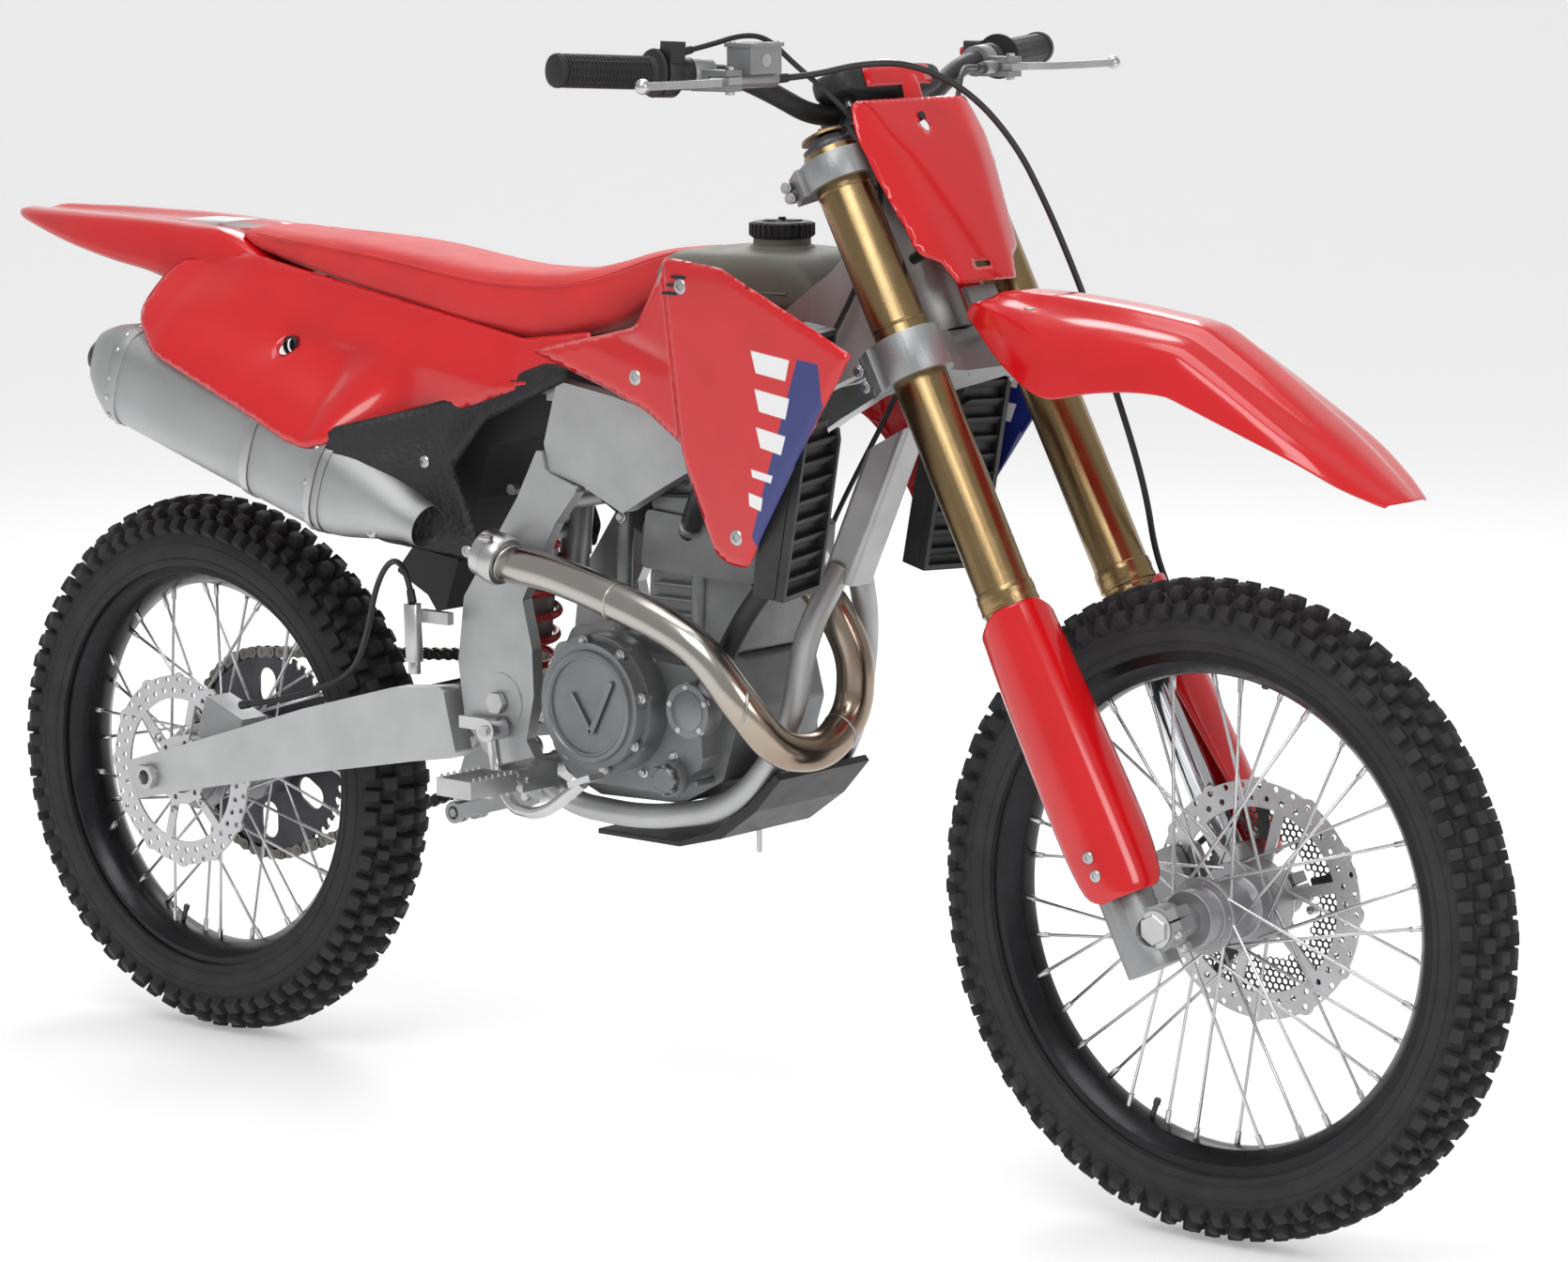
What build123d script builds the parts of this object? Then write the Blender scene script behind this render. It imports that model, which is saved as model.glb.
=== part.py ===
from build123d import *
import os
from math import sin, cos, tan, radians, degrees, hypot, atan2, pi, sqrt

# Motocross motorcycle, at full size, in millimetres.
# +X points forward, +Y to the rider's left and +Z up. The ground is Z = 0, and the origin lies on it
# below the middle of the machine, half way between the two tyres' outer ends.
# Each function below makes one named sub-part. A sub-part that comes in several equal pieces is one
# node that holds separate solids.

# ---------------------------------------------------------------- driving dimensions
WHEELBASE = 1477.0
FRONT_TYRE_R = 346.7          # 80/100-21
REAR_TYRE_R = 331.0           # 100/90-19
FRONT_TYRE_W = 86.0
REAR_TYRE_W = 106.0
FRONT_RIM_R = 277.0           # to the flange's edge
REAR_RIM_R = 252.0
FRONT_RIM_W = 54.0
REAR_RIM_W = 68.0
TYRE_WALL = 8.0
RIM_WALL = 3.2
SPOKES = 36
SPOKE_D = 3.6
NIPPLE_D = 6.4
RIM_GAP = 0.3                 # between a tyre and its rim

CASTER_DEG = 27.45
TRAIL = 115.0
FORK_SPREAD = 208.0           # between the two legs' centres
FORK_OFFSET = 28.0            # legs ahead of the steering axis
OUTER_TUBE_D = 59.0
OUTER_TUBE_WALL = 4.0
INNER_TUBE_D = 49.0
SLIDE_GAP = 0.05              # radial running gap between the bushes and the inner tubes
OUTER_TUBE_LOW = 706.0        # heights along the steering axis, from the ground
OUTER_TUBE_TOP = 1244.0
LOWER_CLAMP_LOW = 984.0
LOWER_CLAMP_TOP = 1030.0
UPPER_CLAMP_LOW = 1206.0
UPPER_CLAMP_TOP = 1236.0
HEAD_GAP = 4.0                # between the head tube and each clamp
HEAD_TUBE_R = 33.0
STEM_R = 15.0
BEARING_R = 27.0
BEARING_H = 16.0
BEARING_PLAY = 0.1            # end gap of each bearing in its seat
RUNNING_GAP = 0.05
LUG_TOP = 424.0

FRONT_AXLE_R = 10.0
FRONT_AXLE_BORE_R = 7.5
FRONT_AXLE_HALF = 118.0
REAR_AXLE_R = 12.5
REAR_AXLE_BORE_R = 8.5
REAR_AXLE_HALF = 132.0
AXLE_FIT = 0.05               # radial running gap in the wheel bearings
FRONT_DISC_R = 130.0
REAR_DISC_R = 120.0
FRONT_DISC_Y = 67.0
REAR_DISC_Y = -70.0
DISC_T = 3.0
SPROCKET_Y = 80.0
SPROCKET_T = 5.0
REAR_TEETH = 50
DRIVE_TEETH = 13
CHAIN_PITCH = 15.875
CHAIN_ROLLER_R = 5.08
CHAIN_PLATE_T = 2.0
CHAIN_PLATE_H = 15.0
CHAIN_INNER_W = 6.4

PIVOT_X, PIVOT_Z = -182.0, 480.0
SWING_BOSS_R = 30.0
PIVOT_SHAFT_R = 9.0
DRIVE_X, DRIVE_Z = -96.0, 484.0

PLATE_IN, PLATE_OUT = 90.0, 106.0     # the frame's pivot plates, from and to the centre plane
CASE_HALF = 72.0                      # engine cases
CRADLE_Y = 72.0
CRADLE_R = 14.0

BAR_X, BAR_Z = 264.0, 1152.0          # the middle of the handlebar
BAR_D = 22.2
BAR_MID_D = 28.6
BAR_HALF = 405.0
GRIP_D = 34.0
GRIP_LEN = 118.0
GRIP_END = 8.5

SHELL_T = 3.0                         # moulded plastic
DISC_HOLE_R = 3.2

LEVER_T = 8.0
LEVER_HEEL_R = 14.0                   # room round the pin for the lever's heel
LEVER_SIDE_GAP = 0.6                  # above and below the lever in its fork
PERCH_ALONG = 158.0                   # from the bar's end
PERCH_REACH = 34.0
PIN_R = 3.2
PIN_GAP = 0.08
SWITCH_ALONG = 140.0
SWITCH_LEN = 16.0
BUTTON_R = 5.0
OUTLET_R = 19.0
PEG_X, PEG_Z = -116.0, 408.0
BRIDGE_X, BRIDGE_Z, BRIDGE_R = -146.0, 706.0, 11.0    # the cross tube that carries the shock
CAP_X = 146.0
PANEL_GAP = 4.0
CAP_THREAD_R = 24.0
ARM_IN, ARM_OUT = 93.0, 121.0         # the swingarm's two arms, from and to the centre plane
EAR_IN, EAR_OUT = 40.0, 66.0
SHOCK_TOP_X, SHOCK_TOP_Z = -205.0, 716.0
SHOCK_LOW_X, SHOCK_LOW_Z = -240.0, 406.0
ROCKER_X, ROCKER_Z = -310.0, 415.4
LINK_X, LINK_Z = -334.5, 321.8
LINK_FRAME_X, LINK_FRAME_Z = -217.0, 356.0
MASTER_Y = 136.0                      # rear master cylinder, clear of the arm's outer face
OPEN_PIVOT_GAP = 2.6                  # play in the two pivots that close the linkage
ROD_R = 8.0
ROD_TOP = 122.0                       # the rod's inner end, down from the upper eye
SPRING_WIRE = 9.0
SHIFT_X, SHIFT_Z = -64.0, 424.0
HOSE_D = 7.0
CABLE_D = 6.0

# ---------------------------------------------------------------- places worked out from them
FRONT_X = (WHEELBASE + REAR_TYRE_R - FRONT_TYRE_R) / 2
REAR_X = FRONT_X - WHEELBASE
GROUND_X = FRONT_X + TRAIL            # where the steering axis meets the ground
CASTER = radians(CASTER_DEG)
AXLE_S = FRONT_TYRE_R * cos(CASTER) + TRAIL * sin(CASTER)
AXLE_N = FRONT_TYRE_R * sin(CASTER) - TRAIL * cos(CASTER)
FORK_Y = FORK_SPREAD / 2
SWING_LEN = hypot(PIVOT_X - REAR_X, PIVOT_Z - REAR_TYRE_R)
SWING_DROP = atan2(PIVOT_Z - REAR_TYRE_R, PIVOT_X - REAR_X)


# ---------------------------------------------------------------- helpers
def steered(shape):
    """Takes a shape from the steering frame (X ahead, Z up along the axis) to the row frame."""
    return Pos(GROUND_X, 0, 0) * Rot(0, -CASTER_DEG, 0) * shape


def steer_xz(s, n):
    """The row frame's x and z of a point s up the steering axis and n ahead of it."""
    return GROUND_X - s * sin(CASTER) + n * cos(CASTER), s * cos(CASTER) + n * sin(CASTER)


def swing_xz(u, v):
    """x and z of a point u back along the swingarm from its pivot and v above its centre line."""
    return (PIVOT_X - u * cos(SWING_DROP) - v * sin(SWING_DROP),
            PIVOT_Z - u * sin(SWING_DROP) + v * cos(SWING_DROP))


def side_face(points, y, round_r=0):
    """A face with these x, z corners, in the plane at y."""
    plane = Plane(origin=(0, y, 0), x_dir=(1, 0, 0), z_dir=(0, -1, 0))
    flat = make_face(Polyline(*points, close=True))
    if round_r:
        flat = fillet(flat.vertices(), round_r)
    return plane * flat


def slab(points, y0, y1, round_r=0):
    """A plate between y0 and y1 with these x, z corners."""
    return extrude(side_face(points, y1, round_r), amount=abs(y1 - y0), dir=(0, -1, 0))


def both(shape):
    """A right-hand shape and its mirror image."""
    return [shape, mirror(shape, about=Plane.XZ)]


def rod(a, b, r):
    """A round bar from a to b."""
    a, b = Vector(*a), Vector(*b)
    return extrude(Plane(origin=a, z_dir=b - a) * Circle(r), amount=(b - a).length)


def tube(a, b, r, bore):
    a, b = Vector(*a), Vector(*b)
    ring = Circle(r) - Circle(bore)
    return extrude(Plane(origin=a, z_dir=b - a) * ring, amount=(b - a).length)


def cross_rod(x, z, y0, y1, r, bore=0):
    """A bar or bush across the machine."""
    section = Circle(r) - Circle(bore) if bore else Circle(r)
    return extrude(Plane(origin=(x, y1, z), x_dir=(1, 0, 0), z_dir=(0, -1, 0)) * section, amount=y1 - y0)


def path_of(points):
    """Straight runs joined by arcs as large as their runs allow."""
    vectors = [Vector(*p) for p in points]
    radii = []
    for before, at, after in zip(vectors, vectors[1:], vectors[2:]):
        turn = radians((at - before).get_angle(after - at))
        radii.append(0.45 * min((at - before).length, (after - at).length) / tan(turn / 2))
    return FilletPolyline(*vectors, radius=radii), radii


def pipe(points, r, bore=0):
    """A round bar or pipe along a bent path."""
    path, _ = path_of(points)
    start = Plane(origin=path @ 0, z_dir=path % 0)
    solid = sweep(start * Circle(r), path=path)
    return solid - sweep(start * Circle(bore), path=path) if bore else solid


def round_part(profile, x, z):
    """Revolves r, y points about the cross axis through x, z."""
    face = make_face(Polyline(*profile, close=True))
    return Pos(x, 0, z) * revolve(face, axis=Axis.Y)


def ring_places(count, radius, start=0.0):
    """x, z places round a circle."""
    return [(radius * cos(radians(start) + 2 * pi * i / count),
             radius * sin(radians(start) + 2 * pi * i / count)) for i in range(count)]


def flat_ring_part(face, x, z, y, thickness):
    """Extrudes a face drawn in x, z about the origin to a plate centred on y."""
    plane = Plane(origin=(x, y + thickness / 2, z), x_dir=(1, 0, 0), z_dir=(0, -1, 0))
    return extrude(plane * face, amount=thickness)


# ---------------------------------------------------------------- wheels
def rim(flange_r, width):
    """A drop-centre rim, revolved from its section."""
    half = width / 2
    well_r = flange_r - 21
    outside = [(flange_r, -half), (flange_r, -half + RIM_WALL), (flange_r - 11, -half + RIM_WALL + 1),
               (flange_r - 12, -half * 0.55), (well_r, -half * 0.35), (well_r, half * 0.35),
               (flange_r - 12, half * 0.55), (flange_r - 11, half - RIM_WALL - 1),
               (flange_r, half - RIM_WALL), (flange_r, half)]
    inside = [(flange_r - 15, half), (well_r - 8, half * 0.45), (well_r - 10, 0),
              (well_r - 8, -half * 0.45), (flange_r - 15, -half)]
    return outside + inside


def tyre(outer_r, width, flange_r, rim_width):
    """A tyre's casing with its inner tube's space inside, as a section."""
    seat_half = rim_width / 2 - RIM_WALL - 1 - RIM_GAP
    low = flange_r - 11 + RIM_GAP
    half = width / 2
    tall = outer_r - flange_r
    outside = [(low, -seat_half), (flange_r + 2, -seat_half + 1), (flange_r + tall * 0.35, -half * 0.93),
               (flange_r + tall * 0.62, -half), (outer_r - tall * 0.14, -half * 0.94), (outer_r - 2,
                                                                                        -half * 0.5),
               (outer_r, 0)]
    inside = [(outer_r - 2.1 * TYRE_WALL, 0), (outer_r - 2.3 * TYRE_WALL, -half * 0.45),
              (flange_r + tall * 0.45, -half * 0.93 + TYRE_WALL), (flange_r + 4, -seat_half + 1 + TYRE_WALL),
              (low, -seat_half + TYRE_WALL)]
    mirrored = [(r, -y) for r, y in outside[-2::-1]]
    mirrored_in = [(r, -y) for r, y in inside[1:]]
    return outside + mirrored + mirrored_in[::-1] + inside


def hub(flanges, barrel_r, bore_r, ends, bosses):
    """A hub's section: a barrel with two spoke flanges, and bosses that carry a disc or sprocket."""
    (y0, r0), (y1, r1) = flanges
    br0, br1 = bosses
    t = 4.0
    return [(bore_r, ends[0]), (br0, ends[0]), (br0, y0 - t), (r0, y0 - t), (r0, y0 + t),
            (barrel_r + 6, y0 + t), (barrel_r, y0 + 3 * t), (barrel_r, y1 - 3 * t), (barrel_r + 6, y1 - t),
            (r1, y1 - t), (r1, y1 + t), (br1, y1 + t), (br1, ends[1]), (bore_r, ends[1])]


def spokes(x, z, flanges, rim_r, rim_half, start):
    """Wire spokes laced tangentially to both flanges, each with its nipple in the rim."""
    made = []
    side_count = SPOKES // 2
    for side, (y, r) in zip((-1, 1), flanges):
        for i in range(side_count):
            lean = 1 if i % 2 else -1
            step = 2 * pi / side_count
            at = radians(start) + i * step + (step / 2 if side > 0 else 0)
            hub_at = at + lean * radians(62)
            out = 2.6 * lean * side
            hub_p = (x + (r - 5) * cos(hub_at), y + out, z + (r - 5) * sin(hub_at))
            rim_p = (x + rim_r * cos(at), side * rim_half * 0.22 + lean * 1.5, z + rim_r * sin(at))
            run = Vector(*rim_p) - Vector(*hub_p)
            tip = Vector(*hub_p) + run * (1 - 17 / run.length)
            made.append(rod(hub_p, tuple(tip), SPOKE_D / 2))
            made.append(rod(tuple(tip), rim_p, NIPPLE_D / 2))
    return made


def wave_disc(radius, inner, waves, holes, hub_r, arms):
    """A petal-edged brake disc: a drilled ring on arms that reach in to the hub."""
    edge = Circle(radius - 4)
    for px, pz in ring_places(waves, radius - 11):
        edge += Pos(px, pz) * Circle(11)
    face = edge - Circle(inner)
    for ring_r, shift in ((radius - 9, 0.0), (radius - 22, 0.5)):
        for px, pz in ring_places(holes, ring_r, shift * 360 / holes):
            face -= Pos(px, pz) * Circle(DISC_HOLE_R)
    for px, pz in ring_places(arms, 1, 15):
        turn = degrees(atan2(pz, px))
        arm = Pos((hub_r + inner) / 2 * px, (hub_r + inner) / 2 * pz) * Rot(0, 0, turn)
        face += arm * Rectangle(inner - hub_r + 8, 12)
    face += Circle(hub_r + 7) - Circle(hub_r - 7)
    for px, pz in ring_places(arms, hub_r, 15):
        face -= Pos(px, pz) * Circle(3.2)
    return face


def sprocket_face(teeth, pitch, bore):
    """A chain wheel's outline, with a round seat for each roller."""
    pitch_r = pitch / (2 * sin(pi / teeth))
    face = Circle(pitch_r + 3.2)
    for px, pz in ring_places(teeth, pitch_r):
        face -= Pos(px, pz) * Circle(CHAIN_ROLLER_R + 0.15)
    return face - Circle(bore)


FRONT_FLANGES = ((-34.0, 40.0), (30.0, 46.0))
REAR_FLANGES = ((-40.0, 52.0), (36.0, 54.0))


def front_rim():
    return round_part(rim(FRONT_RIM_R, FRONT_RIM_W), FRONT_X, FRONT_TYRE_R)


def rear_rim():
    return round_part(rim(REAR_RIM_R, REAR_RIM_W), REAR_X, REAR_TYRE_R)


def front_tyre():
    return round_part(tyre(FRONT_TYRE_R, FRONT_TYRE_W, FRONT_RIM_R, FRONT_RIM_W), FRONT_X, FRONT_TYRE_R)


def rear_tyre():
    return round_part(tyre(REAR_TYRE_R, REAR_TYRE_W, REAR_RIM_R, REAR_RIM_W), REAR_X, REAR_TYRE_R)


def front_hub():
    boss = FRONT_DISC_Y - DISC_T / 2
    section = hub(FRONT_FLANGES, 27, FRONT_AXLE_R + AXLE_FIT, (-62, boss), (30, 45))
    return round_part(section, FRONT_X, FRONT_TYRE_R)


def rear_hub():
    left = SPROCKET_Y - SPROCKET_T / 2
    right = REAR_DISC_Y + DISC_T / 2
    section = hub(REAR_FLANGES, 34, REAR_AXLE_R + AXLE_FIT, (right, left), (42, 50))
    return round_part(section, REAR_X, REAR_TYRE_R)


def front_spokes():
    return spokes(FRONT_X, FRONT_TYRE_R, FRONT_FLANGES, FRONT_RIM_R - 27, FRONT_RIM_W / 2, 4)


def rear_spokes():
    return spokes(REAR_X, REAR_TYRE_R, REAR_FLANGES, REAR_RIM_R - 27, REAR_RIM_W / 2, 9)


def front_disc():
    face = wave_disc(FRONT_DISC_R, 98, 12, 36, 38, 6)
    return flat_ring_part(face, FRONT_X, FRONT_TYRE_R, FRONT_DISC_Y, DISC_T)


def rear_disc():
    face = wave_disc(REAR_DISC_R, 88, 12, 36, 35, 6)
    return flat_ring_part(face, REAR_X, REAR_TYRE_R, REAR_DISC_Y, DISC_T)


def rear_sprocket():
    face = sprocket_face(REAR_TEETH, CHAIN_PITCH, 40)
    for px, pz in ring_places(6, 84, 30):
        face -= Pos(px, pz) * Rot(0, 0, degrees(atan2(pz, px))) * SlotOverall(46, 30)
    for px, pz in ring_places(6, 45.5):
        face -= Pos(px, pz) * Circle(3.4)
    return flat_ring_part(face, REAR_X, REAR_TYRE_R, SPROCKET_Y, SPROCKET_T)


def drive_sprocket():
    face = sprocket_face(DRIVE_TEETH, CHAIN_PITCH, 11)
    return flat_ring_part(face, DRIVE_X, DRIVE_Z, SPROCKET_Y, SPROCKET_T)


def rear_axle():
    # a hollow spindle with a hexagon head on the right and a nut on the left
    spindle = cross_rod(REAR_X, REAR_TYRE_R, -REAR_AXLE_HALF, REAR_AXLE_HALF, REAR_AXLE_R, REAR_AXLE_BORE_R)
    hexagon = RegularPolygon(16.5, 6) - Circle(REAR_AXLE_R)
    for y in (-REAR_AXLE_HALF + 8, REAR_AXLE_HALF):
        plane = Plane(origin=(REAR_X, y, REAR_TYRE_R), x_dir=(1, 0, 0), z_dir=(0, -1, 0))
        spindle += extrude(plane * hexagon, amount=8)
    return spindle


def front_axle():
    head = 7
    spindle = cross_rod(FRONT_X, FRONT_TYRE_R, -FRONT_AXLE_HALF, FRONT_AXLE_HALF + head, FRONT_AXLE_R,
                        FRONT_AXLE_BORE_R)
    plane = Plane(origin=(FRONT_X, FRONT_AXLE_HALF + head, FRONT_TYRE_R), x_dir=(1, 0, 0), z_dir=(0, -1, 0))
    return spindle + extrude(plane * (RegularPolygon(14, 6) - Circle(FRONT_AXLE_R)), amount=head)


# ---------------------------------------------------------------- fork, in the steering frame
def leg_tube(r, bore, low, top, y):
    return Pos(FORK_OFFSET, y, low) * extrude(Circle(r) - Circle(bore), amount=top - low)


def fork_outer_tubes():
    # gold outer tubes with a stepped seal holder at the foot and a bush inside it
    tubes = []
    outer = OUTER_TUBE_D / 2
    for y in (-FORK_Y, FORK_Y):
        body = leg_tube(outer, outer - OUTER_TUBE_WALL, OUTER_TUBE_LOW + 40, OUTER_TUBE_TOP, y)
        bush = leg_tube(outer + 1.5, INNER_TUBE_D / 2 + SLIDE_GAP, OUTER_TUBE_LOW, OUTER_TUBE_LOW + 40, y)
        groove = leg_tube(outer + 3, outer - 0.5, OUTER_TUBE_LOW + 12, OUTER_TUBE_LOW + 18, y)
        tubes.append(steered(body + bush - groove))
    return tubes


def fork_caps():
    caps = []
    for y in (-FORK_Y, FORK_Y):
        body = Pos(FORK_OFFSET, y, OUTER_TUBE_TOP) * extrude(Circle(OUTER_TUBE_D / 2 - 2), amount=6)
        crown = Pos(FORK_OFFSET, y, OUTER_TUBE_TOP + 6) * extrude(RegularPolygon(20, 8), amount=7)
        screw = Pos(FORK_OFFSET, y, OUTER_TUBE_TOP + 13) * extrude(Circle(6), amount=3)
        caps.append(steered(body + crown + screw))
    return caps


def fork_inner_tubes():
    """The two chromed inner tubes."""
    tops = OUTER_TUBE_LOW + 190
    return [steered(leg_tube(INNER_TUBE_D / 2, INNER_TUBE_D / 2 - 2.5, LUG_TOP, tops,
                             y)) for y in (-FORK_Y, FORK_Y)]


def axle_lug(y):
    """A leg's cast foot: a socket for the inner tube and a split clamp round the axle ahead of it."""
    socket_r = INNER_TUBE_D / 2 + 4
    body = Pos(FORK_OFFSET, y, AXLE_S - 36) * extrude(Circle(socket_r), amount=LUG_TOP - AXLE_S + 36)
    inward = 1 if y < 0 else -1
    face_y = y - inward * 12
    block = Pos(AXLE_N, y - inward * 2, AXLE_S) * Rot(90, 0, 0) * extrude(Circle(24), amount=12, both=True)
    bridge = Pos((AXLE_N + FORK_OFFSET) / 2, y - inward * 2, AXLE_S) * Box(AXLE_N - FORK_OFFSET, 24, 46)
    clamp = Pos(AXLE_N + 14, y - inward * 2, AXLE_S) * Box(36, 24, 26)
    body = body + block + bridge + clamp
    slit = Pos(AXLE_N + 22, face_y, AXLE_S) * Box(40, 60, 2.5)
    bore = Pos(AXLE_N, y, AXLE_S) * Rot(90, 0, 0) * extrude(Circle(FRONT_AXLE_R), amount=60, both=True)
    out = -inward
    recess = Pos(AXLE_N, out * (FRONT_AXLE_HALF + 20), AXLE_S) * Rot(90, 0, 0) * extrude(Circle(17),
                                                                                         amount=20, both=True)
    return steered(body - slit - bore - recess)


def fork_guard(y):
    """The moulded guard ahead of one inner tube: a half shell that wraps its front and outer side."""
    out = -1 if y < 0 else 1
    low, top = AXLE_S + 44, OUTER_TUBE_LOW + 14
    shell = Circle(47) - Circle(44)
    inner_half = Pos(0, -out * 78) * Rectangle(120, 100)
    keep = shell - inner_half - Pos(-74, out * 20) * Rectangle(100, 140)
    body = Pos(FORK_OFFSET, y, low) * extrude(keep, amount=top - low)
    foot_r = INNER_TUBE_D / 2 + 4
    tab = Pos(FORK_OFFSET + foot_r + 9, y + out * 2, low + 6) * Box(18.5, 26, 10)
    return steered(body + tab) - axle_lug(y)


def fork_guards():
    return [fork_guard(-FORK_Y), fork_guard(FORK_Y)]


def clamp_plate(low, top, boss_r, waist):
    """A triple clamp: two split bosses round the legs and a bridge to the stem."""
    height = top - low
    face = Pos(FORK_OFFSET, -FORK_Y) * Circle(boss_r) + Pos(FORK_OFFSET, FORK_Y) * Circle(boss_r)
    half = [(FORK_OFFSET + 4, 30), (FORK_OFFSET + 20, FORK_Y - 14), (FORK_OFFSET - 24, FORK_Y - 10),
            (-waist, 26)]
    face += make_face(Polyline(*half, *[(n, -y) for n, y in reversed(half)], close=True))
    face += Circle(waist)
    for out in (-1, 1):
        ear = Pos(FORK_OFFSET - 34, out * (FORK_Y + 14)) * Rotation(0, 0, out * 35) * Rectangle(34, 24)
        face += ear
        face -= Pos(FORK_OFFSET, out * FORK_Y) * Circle(OUTER_TUBE_D / 2)
        slit_at = Pos(FORK_OFFSET, out * FORK_Y) * Rot(0, 0, 180 - out * 22) * Pos(45, 0)
        face -= slit_at * Rectangle(50, 2.4)
    face -= Circle(STEM_R)
    return Pos(0, 0, low) * extrude(face, amount=height)


def lower_clamp():
    return steered(clamp_plate(LOWER_CLAMP_LOW, LOWER_CLAMP_TOP, 38, 30))


def upper_clamp():
    return steered(clamp_plate(UPPER_CLAMP_LOW, UPPER_CLAMP_TOP, 37, 28))


def steering_stem():
    shaft = Pos(0, 0, LOWER_CLAMP_LOW) * extrude(Circle(STEM_R),
                                                 amount=UPPER_CLAMP_TOP - LOWER_CLAMP_LOW + 10)
    nut = Pos(0, 0, UPPER_CLAMP_TOP) * extrude(RegularPolygon(19, 6) - Circle(STEM_R), amount=9)
    return steered(shaft + nut)


def steering_bearings():
    """A bearing in each end of the head tube, each one closed ring."""
    low = LOWER_CLAMP_TOP + HEAD_GAP
    top = UPPER_CLAMP_LOW - HEAD_GAP - BEARING_H
    rings = []
    for at in (low, top):
        ring = Circle(BEARING_R - RUNNING_GAP) - Circle(STEM_R)
        rings.append(steered(Pos(0, 0, at + BEARING_PLAY) * extrude(ring,
                                                                    amount=BEARING_H - 2 * BEARING_PLAY)))
    return rings


# ---------------------------------------------------------------- bars and controls
def bar_points():
    """The bar's right-hand bends, out to its end."""
    right = [(BAR_X, -92, BAR_Z), (BAR_X - 12, -144, BAR_Z + 26), (BAR_X - 20, -196, BAR_Z + 46),
             (BAR_X - 76, -BAR_HALF, BAR_Z + 56)]
    left = [(x, -y, z) for x, y, z in right]
    return right[::-1] + left


def grip_frame(side):
    """The plane at the bar's end, z inwards along the bar, and the straight run's length."""
    points = bar_points() if side < 0 else bar_points()[::-1]
    end, bend = Vector(*points[0]), Vector(*points[1])
    return Plane(origin=end, z_dir=bend - end, x_dir=(0, 0, 1))


def on_bar(side, along, r, bore, length):
    """A ring on the bar's straight part, along mm in from its end."""
    section = Circle(r) - Circle(bore) if bore else Circle(r)
    return extrude(grip_frame(side).offset(along) * section, amount=length)


def handlebar():
    points = bar_points()
    thin = pipe(points, BAR_D / 2, BAR_D / 2 - 3)
    return thin


def bar_mid_sleeve():
    """The fat middle of the bar, on which the clamps hold."""
    sleeve = cross_rod(BAR_X, BAR_Z, -58, 58, BAR_MID_D / 2)
    return sleeve - cross_rod(BAR_X, BAR_Z, -60, 60, BAR_D / 2)


def bar_clamps():
    """Two split holders on the upper clamp."""
    made = []
    foot_x, foot_z = steer_xz(UPPER_CLAMP_TOP, 8)
    for y in (-44, 44):
        block = Pos(BAR_X, y, BAR_Z) * Rot(0, -CASTER_DEG, 0) * Box(44, 24, 40)
        s_bar = (BAR_Z * cos(CASTER) + (GROUND_X - BAR_X) * sin(CASTER))
        n_bar = (BAR_X - GROUND_X) * cos(CASTER) + BAR_Z * sin(CASTER)
        post = steered(Pos(n_bar, y, (UPPER_CLAMP_TOP + s_bar) / 2) * Box(30, 22, s_bar - UPPER_CLAMP_TOP))
        made.append(block + post - cross_rod(BAR_X, BAR_Z, -80, 80, BAR_MID_D / 2))
    return made


def grip(side):
    """A rubber grip with a flange at its inner end, closed over the bar's end."""
    half = GRIP_D / 2
    bore = BAR_D / 2
    body = on_bar(side, 0, half, bore, GRIP_LEN)
    flange = on_bar(side, GRIP_LEN - 4, half + 8, bore, 4)
    cap = extrude(grip_frame(side).offset(-GRIP_END) * Circle(half + 1.5), amount=GRIP_END)
    return body + flange + cap


THROTTLE_AT = GRIP_LEN + 1
THROTTLE_GAP = 0.05


def throttle_grip():
    """The right grip moulded on its turning sleeve, whose cable drum runs in the housing."""
    sleeve = on_bar(-1, -0.5, BAR_D / 2 + 2.0, BAR_D / 2 + THROTTLE_GAP, THROTTLE_AT + 20)
    drum = on_bar(-1, THROTTLE_AT + 4, 19, BAR_D / 2 + THROTTLE_GAP, 8)
    half = GRIP_D / 2
    body = on_bar(-1, 0, half, BAR_D / 2 + 1.9, GRIP_LEN)
    flange = on_bar(-1, GRIP_LEN - 4, half + 8, BAR_D / 2 + 1.9, 4)
    cap = extrude(grip_frame(-1).offset(-GRIP_END) * Circle(half + 1.5), amount=GRIP_END - 0.5)
    return sleeve + drum + body + flange + cap


def throttle_housing():
    """The housing round the cable drum, with the cables' boss on top."""
    shell = on_bar(-1, THROTTLE_AT + 1, 25, 19.6, 18)
    wall = on_bar(-1, THROTTLE_AT + 13, 24, BAR_D / 2 + 2.0 + 0.6, 6)
    frame = grip_frame(-1).offset(THROTTLE_AT + 10)
    boss = extrude(frame * Pos(22, 14) * Rectangle(22, 20), amount=9, both=True)
    hollow = on_bar(-1, THROTTLE_AT - 20, 19.6, 0, 60)
    return shell + wall + (boss - hollow)


def bar_point(side, along):
    frame = grip_frame(side)
    return frame.origin + frame.z_dir * along


def perch_pin(side):
    """The lever's pivot point, ahead of the bar."""
    at = bar_point(side, PERCH_ALONG + 13)
    return Vector(at.X + PERCH_REACH + 9, at.Y, at.Z - 6)


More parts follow.
